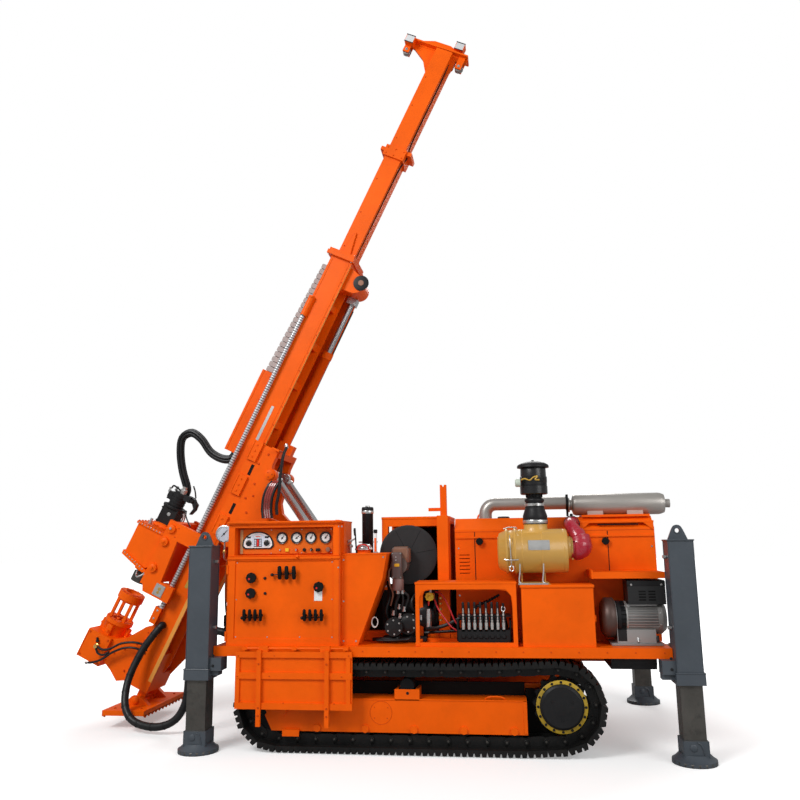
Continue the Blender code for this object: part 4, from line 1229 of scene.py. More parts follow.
def build_bracket(datum):
    """The carriage that tilts on the trestle and guides the mast."""
    outline = [(-0.29, 0.24), (-0.29, -0.72), (-0.10, -0.80), (0.20, -0.66), (0.43, -0.52), (0.43, -0.40),
               (0.36, -0.355), (0.20, -0.37), (0.115, -0.335), (0.055, -0.25), (0.035, -0.15),
               (0.052, -0.06)]
    outline += arc(0.0, 0.0, 0.062, -20, 100, 8)
    outline += [(-0.02, 0.10), (-0.02, 0.24)]
    inner, outer = MAST_HALF + 0.035, MAST_HALF + 0.12
    near = prism("mast_bracket", outline, -outer, -inner, datum)
    parts = [
        prism("bracket_far", outline, inner, outer, datum),
        box("bracket_tie", (-0.05, 0.03 - outer, -0.70), (0.03, outer - 0.03, -0.58), datum),
        box("bracket_tie_high", (-0.085, 0.03 - outer, 0.175), (-0.01, outer - 0.03, 0.235), datum),
    ]
    for side in (-1, 1):
        near_y, far_y = side * (outer - 0.05), side * (outer + 0.015)
        parts.append(rod(f"bracket_boss_{side}", (0, near_y, 0), (0, far_y, 0), 0.048, datum, steps=20))
        low, high = sides(side, MAST_HALF + 0.0005, inner + 0.015)
        ridge, crest = sides(side, outer - 0.005, outer + 0.025)
        for k, z in enumerate((-0.70, -0.28, 0.08)):
            parts.append(box(f"guide_pad_{side}_{k}", (-0.28, low, z), (-0.22, high, z + 0.14), datum))
            parts.append(box(f"pad_keeper_{side}_{k}", (-0.285, ridge, z - 0.03), (-0.185, crest, z + 0.17),
                             datum))
    fuse(near, *parts)
    cut(
        near,
        rod("bracket_bore", (0.35, -0.5, -0.45), (0.35, 0.5, -0.45), 0.0457, datum),
        box("pad_slot_high", (-0.21, -0.5, -0.09), (-0.18, 0.5, 0.02), datum),
        box("pad_slot_low", (-0.21, -0.5, -0.50), (-0.18, 0.5, -0.39), datum),
    )


def guide_rods(datum):
    x, y, radius = GUIDE_ROD
    parts = []
    for side in (-1, 1):
        parts.append(rod(f"guide_rod_{side}", (x, side * y, -1.72), (x, side * y, 1.62), radius, datum,
                         steps=16))
        low, high = sides(side, y - 0.05, y + 0.025)
        parts.append(box(f"rod_holder_low_{side}", (-0.49, low, -1.76), (-0.42, high, -1.60), datum))
        seat = side * (y - 0.015)
        parts.append(rod(f"rod_holder_high_{side}", (x, seat, 1.58), (x, seat, 1.80), 0.034, datum,
                         steps=16))
    return parts


def mast_wells(datum):
    """The open rear of the mast: shallow windows beside the middle rib, and the slide cylinder's channel."""
    wells = []
    for k, (z, tall) in enumerate(MAST_WINDOWS):
        wells.append(box(f"mast_window_{k}", (-0.36, MAST_WALL - MAST_HALF, z), (-0.15, -0.030, z + tall),
                         datum))
    wells.append(box("mast_channel", (-0.34, -0.012, -2.20), (-0.05, MAST_HALF - 0.030, 2.00), datum))
    return wells


def build_mast(datum):
    beam = box("mast", (MAST_FRONT, -MAST_HALF, MAST_Z[0]), (MAST_REAR, MAST_HALF, MAST_Z[1]), datum)
    rib = [(-0.25, -2.25), (-0.23, -2.25), (-0.185, -2.10), (-0.185, 2.02), (-0.25, 2.10)]
    plate = [(-0.25, -2.25), (-0.215, -2.25), (-0.115, -1.98), (-0.115, 1.98), (-0.16, 2.29), (-0.25, 2.29)]
    near, far = -0.030, -0.012
    fuse(
        beam,
        prism("mast_rib", rib, near, far, datum),
        prism("mast_far_plate", plate, MAST_HALF - 0.030, MAST_HALF, datum),
    )
    cut(beam, *mast_wells(datum))
    x, z = FOOT_PIN
    seat = [(-0.24, 2.0003), (-0.115, 2.0003), *arc(-0.115, 2.10, 0.0997, -80, 60, 8), (-0.24, 2.25)]
    fuse(
        beam,
        box("foot_lug_near", (x - 0.04, -0.14, z - 0.035), (x + 0.04, -0.10, -2.30), datum),
        box("foot_lug_far", (x - 0.04, 0.10, z - 0.035), (x + 0.04, 0.14, -2.30), datum),
        box("mast_head_flange", (-0.50, -0.25, 2.28), (-0.20, 0.25, 2.32), datum),
        box("hose_trough", (-0.634, -0.075, 0.03), (-0.44, 0.075, 0.93), datum),
        prism("slide_bracket", seat, -0.165, 0.135, datum),
        *guide_rods(datum),
    )
    cut(
        beam,
        box("trough_inside", (-0.622, -0.063, -0.05), (-0.4515, 0.063, 0.95), datum),
        rod("foot_pin_hole", (x, -0.2, z), (x, 0.2, z), 0.0257, datum),
    )


def build_extension(datum):
    tube = box("mast_extension", (-0.44, -0.105, 2.3203), (-0.255, 0.105, EXTENSION_TOP), datum)
    bow = [(-0.81, 4.898), (-0.81, 4.85), (-0.70, 4.82), (-0.56, 4.73), (-0.44, 4.55), (-0.25, 4.55),
           (-0.22, 4.72),
           (-0.16, 4.82), (-0.10, 4.85), (-0.10, 4.90), (-0.22, 4.93), (-0.33, 4.975), (-0.52, 4.975),
           (-0.66, 4.93)]
    parts = [
        box("extension_flange", (-0.49, -0.24, 2.3203), (-0.21, 0.24, 2.35), datum),
        box("extension_collar", (-0.465, -0.13, 3.52), (-0.230, 0.13, 3.64), datum),
        box("collar_ear_front", (-0.515, -0.11, 3.57), (-0.45, 0.11, 3.61), datum),
        box("collar_ear_rear", (-0.24, -0.11, 3.60), (-0.175, 0.11, 3.64), datum),
        prism("crown", bow, -0.022, 0.022, datum),
        box("crown_plate", (-0.80, -0.09, 4.878), (-0.09, 0.09, 4.895), datum),
    ]
    for k, low in enumerate((-0.125, 0.105)):
        rib = [(-0.40, 2.34), (-0.30, 2.34), (-0.345, 2.62), (-0.355, 2.62)]
        parts.append(prism(f"extension_gusset_{k}", rib, low, low + 0.02, datum))
    for word, x in SHEAVES:
        for k, y in enumerate((-0.045, 0.033)):
            cheek = (x - 0.035, y, SHEAVE_Z - 0.03), (x + 0.035, y + 0.012, 4.89)
            parts.append(box(f"sheave_cheek_{word}_{k}", *cheek, datum))
    parts += [
        box("lamp_front", (-0.805, -0.120, 4.812), (-0.705, -0.020, 4.892), datum),
        box("lamp_post_rear", (-0.242, -0.02, 4.89), (-0.218, 0.02, 4.955), datum),
        box("lamp_rear", (-0.280, -0.055, 4.945), (-0.180, 0.045, 5.025), datum),
    ]
    fuse(tube, *parts)
    slots = [box(f"sheave_slot_{word}", (x - 0.06, -0.0325, SHEAVE_Z - 0.2),
                 (x + 0.06, 0.0325, SHEAVE_Z + 0.055), datum) for word, x in SHEAVES]
    cut(tube, *slots)
    pins = [rod(f"sheave_axle_{word}", (x, -0.04, SHEAVE_Z), (x, 0.04, SHEAVE_Z), 0.012, datum, steps=16)
            for word, x in SHEAVES]
    fuse(tube, *pins)
    rim = [(0.012501, 0.022), (0.045, 0.022), (0.045, 0.014), (0.032, 0.004), (0.032, -0.004),
           (0.045, -0.014), (0.045, -0.022), (0.012501, -0.022), (0.012501, 0.022)]
    for word, x in SHEAVES:
        axis = empty(f"sheave_axis_{word}", (x, 0, SHEAVE_Z), datum)
        lathe(f"crown_sheave_{word}", rim, (0, 0, 0), axis, steps=16, turn=(math.radians(90), 0, 0))


def build_slide_cylinder(datum):
    x, y = SLIDE_CYLINDER
    barrel = rod("slide_cylinder_barrel", (x, y, 0.30), (x, y, 1.33), 0.050, datum)
    gland = rod("slide_gland", (x, y, 1.30), (x, y, 1.37), 0.058, datum)
    eye = box("slide_cylinder_foot", (x - 0.045, y - 0.05, 0.2353), (-0.01, y + 0.05, 0.34), datum)
    fuse(barrel, gland, eye)
    cut(barrel, rod("slide_bore", (x, y, 0.36), (x, y, 1.45), 0.0292, datum))
    shaft = rod("slide_cylinder_rod", (x, y, 0.48), (x, y, 1.985), 0.028, datum)
    head = box("slide_rod_head", (x - 0.05, y - 0.055, 1.93), (x + 0.05, y + 0.055, 1.9997), datum)
    fuse(shaft, head)


def build_head(datum):
    """Top-drive head on a carriage that rides the mast's guide rods."""
    plate = box("head_carriage", (-0.72, -0.32, -1.46), (-0.67, 0.32, -0.82), datum)
    parts = []
    for side in (-1, 1):
        low, high = sides(side, 0.27, 0.32)
        cheek = [(-0.72, -0.80), (-0.60, -0.80), (-0.56, -0.96), (-0.53, -1.36), (-0.56, -1.52),
                 (-0.66, -1.52), (-0.72, -1.40)]
        parts.append(prism(f"carriage_cheek_{side}", cheek, low, high, datum))
        parts.append(box(f"carriage_arm_{side}", (-0.63, low, -0.96), (-0.32, high, -0.80), datum))
        parts.append(box(f"carriage_foot_{side}", (-0.62, low, -1.52), (-0.38, high, -1.37), datum))
        near, far = sides(side, MAST_HALF + 0.0055, 0.28)
        for k, z in enumerate((-1.50, -0.95)):
            parts.append(box(f"carriage_shoe_{side}_{k}", (-0.51, near, z), (-0.42, far, z + 0.13), datum))
    for k, (x, z) in enumerate(HINGE_KNUCKLES):
        parts.append(rod(f"hinge_knuckle_{k}", (x, -0.345, z), (x, -0.26, z), 0.042, datum, steps=12))
    fuse(plate, *parts)
    x, y, radius = GUIDE_ROD
    bores = [rod(f"shoe_bore_{side}", (x, side * y, -2), (x, side * y, 0), radius + RUN, datum, steps=16)
             for side in (-1, 1)]
    cut(plate, *bores)
    outline = [(-1.02, -1.27), (-1.02, -0.95), (-0.7203, -0.95), (-0.7203, -1.30), (-0.76, -1.33)]
    gear = prism("rotary_head", outline, -0.28, 0.20, datum)
    rim = [(-1.035, -1.30), (-1.035, -1.26), (-0.7203, -1.345), (-0.7203, -1.36), (-0.76, -1.375)]
    more = [
        box("gear_top_flange", (-1.035, -0.295, -0.975), (-0.7203, 0.215, -0.95), datum),
        prism("gear_low_flange", rim, -0.295, 0.215, datum),
        rod("gear_boss", (SPINDLE_X, 0, -1.42), (SPINDLE_X, 0, -1.25), 0.10, datum),
    ]
    fuse(gear, *more)
    cut(gear, rod("head_bore", (SPINDLE_X, 0, -1.6), (SPINDLE_X, 0, -0.98), 0.0567, datum))
    low, high = -0.9497, -0.58
    motor = box("head_motor", (SPINDLE_X - 0.085, -0.085, low), (SPINDLE_X + 0.085, 0.085, -0.72), datum)
    extra = [
        rod("motor_body", (SPINDLE_X, 0, -0.80), (SPINDLE_X, 0, high), 0.078, datum),
        box("motor_port", (SPINDLE_X - 0.05, -0.05, -0.62), (SPINDLE_X + 0.13, 0.05, -0.56), datum),
        box("motor_valve", (SPINDLE_X - 0.11, -0.045, -0.67), (SPINDLE_X - 0.02, 0.045, -0.59), datum),
    ]
    fuse(motor, *extra)
    axis = empty("spindle_axis", (SPINDLE_X, 0, SPINDLE_Z), datum)
    spindle = rod("spindle", (0, 0, -0.40), (0, 0, 0.13), 0.056, axis)
    fuse(spindle, rod("chuck", (0, 0, -0.42), (0, 0, -0.33), 0.085, axis))


def build_clamp(datum):
    """Foot clamp that grips the rods, on a plate arm from the mast."""
    plate = [(-0.4503, -1.80), (-0.52, -1.84), (-0.60, -1.95), (-0.66, -2.04), (-0.80, -2.10),
             (-0.80, -2.30), (-0.66, -2.36), (-0.56, -2.42), (-0.4503, -2.36)]
    arm = prism("rod_clamp", plate, -0.17, 0.17, datum)
    x = SPINDLE_X
    parts = [
        box("clamp_case", (-1.030, -0.21, -2.37), (-0.775, 0.21, -2.09), datum),
        rod("clamp_barrel", (x, 0, -2.15), (x, 0, -1.97), 0.125, datum),
        rod("clamp_flange", (x, 0, -1.98), (x, 0, -1.94), 0.138, datum),
        rod("clamp_ring", (x, 0, -1.735), (x, 0, -1.665), 0.128, datum),
    ]
    for k in range(4):
        a = math.radians(45 + 90 * k)
        dx, dy = 0.105 * math.cos(a), 0.105 * math.sin(a)
        parts.append(box(f"clamp_post_{k}", (x + dx - 0.014, dy - 0.014, -1.96),
                         (x + dx + 0.014, dy + 0.014, -1.70), datum))
    fuse(arm, *parts)
    cut(arm, rod("clamp_bore", (x, 0, -2.6), (x, 0, -1.4), 0.07, datum))


def build_foot():
    """Swivelling ground plate with a toothed lower edge."""
    axis = empty("foot_axis", FOOT_AXIS)
    x0, x1, y0, y1 = -0.21, 0.20, -0.45, 0.45
    top, low, tip = -0.050, -0.095, -0.115
    plate = box("ground_foot", (x0, y0, low), (x1, y1, top), axis)
    parts = []
    for k in range(12):
        y = y0 + 0.075 * k
        for j, x in enumerate((x0, x1 - 0.012)):
            tooth = [(y, low + 0.005), (y + 0.075, low + 0.005), (y + 0.0375, tip)]
            parts.append(prism(f"tooth_{j}_{k}", tooth, x, x + 0.012, axis, axis="x"))
    for k, y in enumerate((-0.22, 0.17)):
        web = [(-0.14, top - 0.005), (0.14, top - 0.005), (0.04, 0.035), (-0.04, 0.035)]
        parts.append(prism(f"foot_web_{k}", web, y, y + 0.05, axis))
    parts.append(rod("foot_pin", (0, -0.235, 0), (0, 0.235, 0), 0.025, axis))
    fuse(plate, *parts)


def build_tilt_cylinders():
    for side, word in SIDES:
        foot = Vector((TILT_FOOT[0], side * TILT_FOOT[1], TILT_FOOT[2]))
        eye = Vector((TILT_EYE[0], side * TILT_EYE[1], TILT_EYE[2]))
        along = (eye - foot).normalized()
        axis = empty(f"tilt_axis_{word}", foot)
        barrel = rod(f"tilt_barrel_{word}", along * 0.05, along * TILT_BARREL, 0.058, axis)
        parts = [
            rod(f"tilt_barrel_eye_{word}", (0, -0.05, 0), (0, 0.05, 0), 0.058, axis),
            rod(f"tilt_gland_{word}", along * (TILT_BARREL - 0.07), along * (TILT_BARREL + 0.01), 0.066,
                axis),
        ]
        fuse(barrel, *parts)
        cut(
            barrel,
            rod(f"tilt_bore_{word}", along * 0.09, along * 1.3, 0.0412, axis),
            rod(f"tilt_pin_hole_{word}", (0, -0.1, 0), (0, 0.1, 0), 0.0267, axis),
        )
        length = (eye - foot).length
        shaft = rod(f"tilt_rod_{word}", along * (length - TILT_ROD), along * length, 0.040, axis)
        centre = along * length
        wide = Vector((0, 0.042, 0))
        wider = Vector((0, MAST_HALF + 0.035 - GAP - TILT_EYE[1], 0))
        eye = rod(f"tilt_rod_eye_{word}", centre - wide, centre + wide, 0.056, axis)
        pin = rod(f"tilt_rod_pin_{word}", centre - wider, centre + wider, 0.025, axis, steps=16)
        fuse(shaft, eye, pin)


RIG = new_collection("core_drilling_rig")
build_undercarriage()
build_deck()
build_jacks()
build_controls()
build_platform()
build_winch()
build_valves()
build_tool_box()
build_hood()
build_air_intake()
build_exhaust()
build_generator()
build_trestle()
mast_pivot = empty("mast_pivot", MAST_PIVOT, None, (0, MAST_LEAN, 0))
mast_datum = empty("mast_datum", MAST_DATUM, mast_pivot)
build_bracket(mast_datum)
build_mast(mast_datum)
build_extension(mast_datum)
build_slide_cylinder(mast_datum)
build_head(mast_datum)
build_clamp(mast_datum)
build_foot()
build_tilt_cylinders()


def bake_forms():
    """Turns the modelled forms into plain pieces that ride on their bodies."""
    bpy.context.view_layer.update()
    graph = bpy.context.evaluated_depsgraph_get()
    made = {}
    for obj in RIG.objects:
        if obj.type in ("MESH", "CURVE"):
            mesh = bpy.data.meshes.new_from_object(obj.evaluated_get(graph))
            mesh.transform(obj.matrix_world)
            made[obj.name.split(".")[0]] = mesh
    for group in [RIG] + [c for c in bpy.data.collections if c.name.endswith(("_union", "_difference"))]:
        for obj in list(group.objects):
            bpy.data.objects.remove(obj, do_unlink=True)
        bpy.data.collections.remove(group)
    bodies = frame["record"]["behaviour"]["bodies"]
    home = {name: body for body, names in bodies.items() for name in names}
    for name, mesh in made.items():
        obj = bpy.data.objects.new(f"{name}_form", mesh)
        scene.collection.objects.link(obj)
        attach(obj, home.get(name, "chassis"))
        obj.data.materials.clear()
        obj.data.materials.append(LOOKS[finish_of(name)])
        if name in NODES:
            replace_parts(obj, name)


bake_forms()

# Tracks


def belt(count):
    """Evenly spread points of the line between shoes and links."""
    line = arc(TRACK_X[1], TRACK_END_Z[1], TRACK_END_R, -85, 88, 40) + [(1.12, BELT_TOP + 0.004),
                                                                        (0.47, BELT_TOP), (-0.10, BELT_TOP)]
    line += arc(TRACK_X[0], TRACK_END_Z[0], TRACK_END_R, 93, 270, 40) + [(TRACK_X[1] - 0.30, SHOE_TIP)]
    line.append(line[0])
    lengths = [math.dist(a, b) for a, b in zip(line, line[1:])]
    step = sum(lengths) / count
    found, i, used = [], 0, 0.0
    for k in range(count):
        while used + lengths[i] < k * step:
            used += lengths[i]
            i += 1
        f = (k * step - used) / lengths[i]
        found.append(Vector((line[i][0], 0, line[i][1])).lerp(Vector((line[i + 1][0], 0, line[i + 1][1])),
                                                              f))
    return found, step


def build_tracks():
    count = round(belt(10)[1] * 10 / SHOE_PITCH)
    points, pitch = belt(count)
    section = [(-0.503, 0.001), (0.503, 0.001), (0.503, 0.018), (0.46, 0.050), (0.25, 0.052),
               (0.215, 0.026), (0.17, 0.026),
               (0.13, 0.050), (-0.10, 0.050), (-0.135, 0.026), (-0.185, 0.026), (-0.225, 0.050),
               (-0.43, 0.050), (-0.485, 0.024)]
    for side, word in SIDES:
        shoes = Piece(f"track_shoes_{word}", "chassis", "track_steel")
        chain = Piece(f"track_chain_{word}", "chassis", "track_steel")
        for k, here in enumerate(points):
            after = points[(k + 1) % count]
            along = (after - here).normalized()
            out = Vector((along.z, 0, -along.x))
            middle = (here + after) / 2
            turned = Matrix((along, (0, 1, 0), out)).transposed().to_4x4()
            shoes.place = Matrix.Translation(middle) @ turned
            chain.place = shoes.place
            outline = [(t * pitch, n) for t, n in section]
            low, high = sides(side, 0.703, 1.097)
            shoes.prism(outline, low, high, "track", bevel=0.0)
            for y in (0.85, 0.95):
                shoes.bolt((0.155 * pitch, side * y, 0.021), UP, 0.009, "track")
                shoes.bolt((-0.15 * pitch, side * y, 0.020), UP, 0.009, "track")
            reach = pitch * 0.5
            for a in (0.828, 0.945):
                low, high = sides(side, a, a + 0.027)
                plate = [(-reach - 0.024, -0.030), (-reach + 0.010, 0.002), (reach - 0.010, 0.002),
                         (reach + 0.020, -0.030),
                         (reach + 0.012, -0.062), (reach - 0.03, -0.073), (-reach + 0.03, -0.073),
                         (-reach - 0.014, -0.064)]
                shift = side * (0.010 if k % 2 else 0.0)
                chain.prism(plate, low + shift, high + shift, "track", bevel=0.0)
            chain.rod((-reach, side * 0.822, -0.034), (-reach, side * 0.990, -0.034), 0.021, "track", 12)
            chain.rod((-reach, side * 0.821, -0.034), (-reach, side * 0.993, -0.034), 0.009, "worn_steel",
                      10)
        for piece in (shoes, chain):
            piece.place = WORLD
        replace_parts(shoes.done(), f"track_{word}")
        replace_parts(chain.done(), f"track_{word}")


def build_drives():
    """Yellow bolted ring and cover on each sprocket, hubs and bolts on the track frames."""
    for side, word in SIDES:
        out = (0, side, 0)
        piece = Piece(f"drive_details_{word}", "chassis", "black_parts")
        x, z = TRACK_X[1], TRACK_END_Z[1]
        ring = [(0.150, 0), (0.198, 0), (0.200, 0.002), (0.200, 0.010), (0.197, 0.012), (0.150, 0.012)]
        piece.lathe((x, side * 1.0395, z), out, ring, "ring_yellow", 48)
        # Two matt black sheets on the frame's inner side are painted shade: the dark space behind the
        # sprocket and under the track's upper run
        low, high = sides(side, 0.800, 0.812)
        piece.prism([(1.425, 0.10), (1.66, 0.10), (1.66, 0.40), (1.50, 0.47), (1.425, 0.47)], low, high,
                    "matt_black", bevel=0.002)
        low, high = sides(side, 0.782, 0.794)
        piece.box((-0.52, low, 0.410), (1.42, high, 0.515), "matt_black", 0.002)
        cover = [(0.172, 0.0), (0.172, 0.016), (0.166, 0.024), (0.12, 0.040), (0.05, 0.0455), (0, 0.0455)]
        piece.lathe((x, side * 1.041, z), out, cover, "black", 40)
        piece.bolts(around((x, side * 1.051, z), 0.185, evenly(16)), out, 0.0085, "black")
        piece.bolts(around((x, side * 1.083, z), 0.09, evenly(3, 0.24)), out, 0.009, "black")
        piece.done()
        trim = Piece(f"track_frame_trim_{word}", "chassis", "orange_paint")
        face = side * 1.0002
        trim.lathe((0.255, face, 0.302), out, [(0.088, 0), (0.089, 0.002), (0.091, 0.002), (0.092, 0)],
                   "deep_orange", 40)
        trim.bolts([(0.255 + 0.08 * math.cos(a), face, 0.302 + 0.055 * math.sin(a))
                    for a in (0.8, 2.3, 4.0, 5.4)],
                   out, 0.004, "deep_orange")
        low, high = sides(side, 0.999, 1.005)
        trim.box((1.40, low, 0.16), (1.43, high, 0.408), "orange", 0.002)
        trim.box((-0.55, low, 0.400), (1.43, high, 0.409), "orange", 0.002)
        trim.box((0.368, low, 0.400), (0.572, high, 0.485), "orange", 0.002)
        trim.lathe((0.475, side * 1.004, 0.455), out, [(0, 0), (0.012, 0), (0.012, 0.003), (0, 0.003)],
                   "black", 14)
        trim.tube([(1.10, side * 0.97, 0.415), (1.14, side * 0.985, 0.432), (1.22, side * 0.985, 0.432),
                   (1.26, side * 0.97, 0.415)],
                  0.006, "orange", 8, 3)
        trim.done()


# Deck, jacks and platform


def build_jack_details():
    for word, x, side in JACKS:
        y, out = side * JACK_Y, 0.095
        sleeve = Piece(f"jack_trim_{word}", "chassis", "slate_paint")
        for sx in (-1, 1):
            for sy in (-1, 1):
                cx, cy = x + sx * out, y + sy * out
                sleeve.tube([(cx, cy, 0.66), (cx, cy, 1.655)], 0.0035, "slate", 6, 0)
        lip = [(-1, -1, 1, -1), (1, -1, 1, 1), (1, 1, -1, 1), (-1, 1, -1, -1)]
        for a, b, c, d in lip:
            sleeve.tube([(x + a * 0.101, y + b * 0.101, 1.650), (x + c * 0.101, y + d * 0.101, 1.650)],
                        0.004, "slate", 6, 0)
            sleeve.tube([(x + a * 0.108, y + b * 0.108, 0.656), (x + c * 0.108, y + d * 0.108, 0.656)],
                        0.004, "slate", 6, 0)
        for sy in (-1, 1):
            sleeve.lathe((x, y + sy * 0.012, 1.725), (0, sy, 0),
                         [(0.018, 0), (0.026, 0.001), (0.027, 0.004), (0.019, 0.005)], "slate", 20)
        inward = 1 if x < 0 else -1
        for z in (0.70, 0.78):
            sleeve.bolt((x + inward * 0.13, y - 0.071, z - 0.02), FRONT, 0.009, "black")
        sleeve.rod((x + inward * 0.096, y, 1.52), (x + inward * 0.125, y, 1.52), 0.014, "steel", 12)
        sleeve.rod((x + inward * 0.096, y, 0.98), (x + inward * 0.125, y, 0.98), 0.014, "steel", 12)
        sleeve.done()
        leg = Piece(f"jack_foot_trim_{word}", f"jack_leg_{word}", "black_parts")
        disc = [(0.10, 0.071), (0.112, 0.072), (0.150, 0.036), (0.164, 0.030), (0.1648, 0.004),
                (0.160, 0.0), (0.10, 0.0)]
        leg.lathe((x, y, 0.0005), UP, disc, "slate", 40)
        hub = [(0.06, 0.0), (0.075, 0.0), (0.072, 0.012), (0.05, 0.018)]
        leg.lathe((x, y, 0.070), UP, hub, "slate", 24)
        for sy in (-1, 1):
            face = y + sy * 0.0925
            leg.lathe((x - 0.02, face, 0.125), (0, sy, 0),
                      [(0, 0), (0.026, 0), (0.026, 0.004), (0.021, 0.007), (0, 0.007)], "slate", 20)
            hook = [(x + 0.01, face + sy * 0.002, 0.165), (x + 0.035, face + sy * 0.003, 0.15),
                    (x + 0.05, face + sy * 0.003, 0.115), (x + 0.06, face + sy * 0.002, 0.07)]
            leg.tube(hook, 0.005, "slate", 8, 4)
        for sx in (-1, 1):
            for sy in (-1, 1):
                leg.tube([(x + sx * 0.092, y + sy * 0.092, 0.05), (x + sx * 0.092, y + sy * 0.092, 0.174)],
                         0.003, "slate", 6, 0)
        leg.box((x - 0.0925, y - 0.0925, 0.046), (x + 0.0925, y + 0.0925, 0.176), "slate", 0.004)
        leg.done()


def build_platform_details():
    piece = Piece("platform_bolts", "folding_platform", "orange_paint")
    face = -1.1555
    spots = [(-0.905, 0.76), (-0.60, 0.762), (-0.16, 0.765), (-0.91, 0.60), (-0.64, 0.602), (-0.04, 0.602),
             (-0.88, 0.41), (-0.52, 0.395), (-0.10, 0.395), (0.02, 0.765)]
    for x, z in spots:
        piece.bolt((x, face, z), FRONT, 0.0045, "deep_orange")
    for x in (-0.727, -0.160):
        for z in (0.30, 0.36, 0.70):
            piece.bolt((x, face - 0.016, z), FRONT, 0.007, "deep_orange")
    for x in (-0.70, -0.18):
        piece.rod((x - 0.045, -1.125, 0.811), (x + 0.045, -1.125, 0.811), 0.019, "orange", 16)
    piece.done()


def build_deck_details():
    piece = Piece("deck_trim", "chassis", "orange_paint")
    for x in row((0.12, 0, 0), (2.50, 0, 0), 12):
        piece.bolt((x.x, -1.0805, 0.79), FRONT, 0.005, "deep_orange")
    piece.box((-0.05, -0.70, 0.8255), (2.02, -0.60, 0.905), "orange", 0.006)
    piece.box((-0.05, -0.704, 0.893), (2.02, -0.64, 0.909), "orange", 0.003)
    piece.tube([(2.52, -0.82, 0.785), (2.60, -0.82, 0.785)], 0.040, "brown_motor", 14, 0)
    for k in range(5):
        piece.lathe((2.585 + 0.018 * k, -0.82, 0.785), REAR,
                    [(0.034, 0), (0.044 if k % 2 else 0.049, 0.003), (0.044 if k % 2 else 0.049, 0.013),
                     (0.034, 0.017)],
                    "brown_motor", 16)
    piece.done()


build_tracks()
build_drives()
build_jack_details()
build_platform_details()
build_deck_details()

# Operator's side


def gauge(piece, x, y, z, radius, rim=0.16, face="white", needle=35):
    """A round gauge that faces the operator."""
    r = radius
    bezel = [(r * 0.70, 0.004), (r * (1 - rim), 0.010), (r * 0.97, 0.013), (r, 0.009), (r, 0.0), (0, 0)]
    piece.lathe((x, y, z), FRONT, [(0, 0.003), (r * 0.84, 0.003), (r * 0.84, 0.0)], face, 28)
    piece.lathe((x, y, z), FRONT, bezel, "dial_black", 32)
    for k in range(11):
        a = math.radians(225 - 27 * k)
        c, s = math.cos(a), math.sin(a)
        piece.box((x + c * r * 0.66 - 0.0011, y - 0.0045, z + s * r * 0.66 - r * 0.07),
                  (x + c * r * 0.66 + 0.0011, y - 0.0030, z + s * r * 0.66 + r * 0.07), "dial_black",
                  0.0002, ("Y", 90 - math.degrees(a)))
    a = math.radians(needle)
    tip = (x + math.cos(a) * r * 0.55, y - 0.006, z + math.sin(a) * r * 0.55)
    tail = (x - math.cos(a) * r * 0.25, y - 0.006, z - math.sin(a) * r * 0.25)
    piece.rod(tail, tip, r * 0.045, "dial_black", 6)
    piece.lathe((x, y - 0.003, z), FRONT, [(0, 0.006), (r * 0.13, 0.005), (r * 0.15, 0.0)], "dial_black",
                12)


def grip_lever(piece, x, z0, z1, y=-1.040, radius=0.0125):
    """A black lever seen from the front, with its boot and shaft."""
    low = z0 + (z1 - z0) * 0.45
    piece.lathe((x, y, low), FRONT, [(0, 0), (0.011, 0), (0.010, 0.006), (0.007, 0.018), (0.006, 0.030),
                                     (0, 0.03)], "matt_black", 14)
    piece.rod((x, y - 0.025, low), (x, y - 0.036, z0 + 0.012), 0.005, "black", 8)
    profile = [(0, 0), (radius * 0.7, 0.002), (radius, 0.010), (radius * 1.12, (z1 - z0) * 0.6),
               (radius * 0.95, (z1 - z0) - 0.008), (radius * 0.5, z1 - z0), (0, z1 - z0)]
    piece.lathe((x, y - 0.036, z0), (0, -0.12, 1), profile, "matt_black", 12)


def star_knob(piece, x, y, z, radius, centre="red", finish="matt_black"):
    outline = []
    for k in range(32):
        a = 2 * math.pi * k / 32
        r = radius * (0.965 + 0.035 * math.cos(8 * a))
        outline.append((x + r * math.cos(a), z + r * math.sin(a)))
    piece.lathe((x, y, z), FRONT, [(0, 0), (radius * 0.5, 0), (radius * 0.45, 0.018), (0, 0.018)], finish,
                16)
    piece.prism(outline, y - 0.036, y - 0.014, finish, bevel=0.003)
    if centre:
        piece.lathe((x - radius * 0.35, y - 0.035, z - radius * 0.2), FRONT,
                    [(0, 0.003), (radius * 0.18, 0.002), (radius * 0.20, 0)], centre, 16)


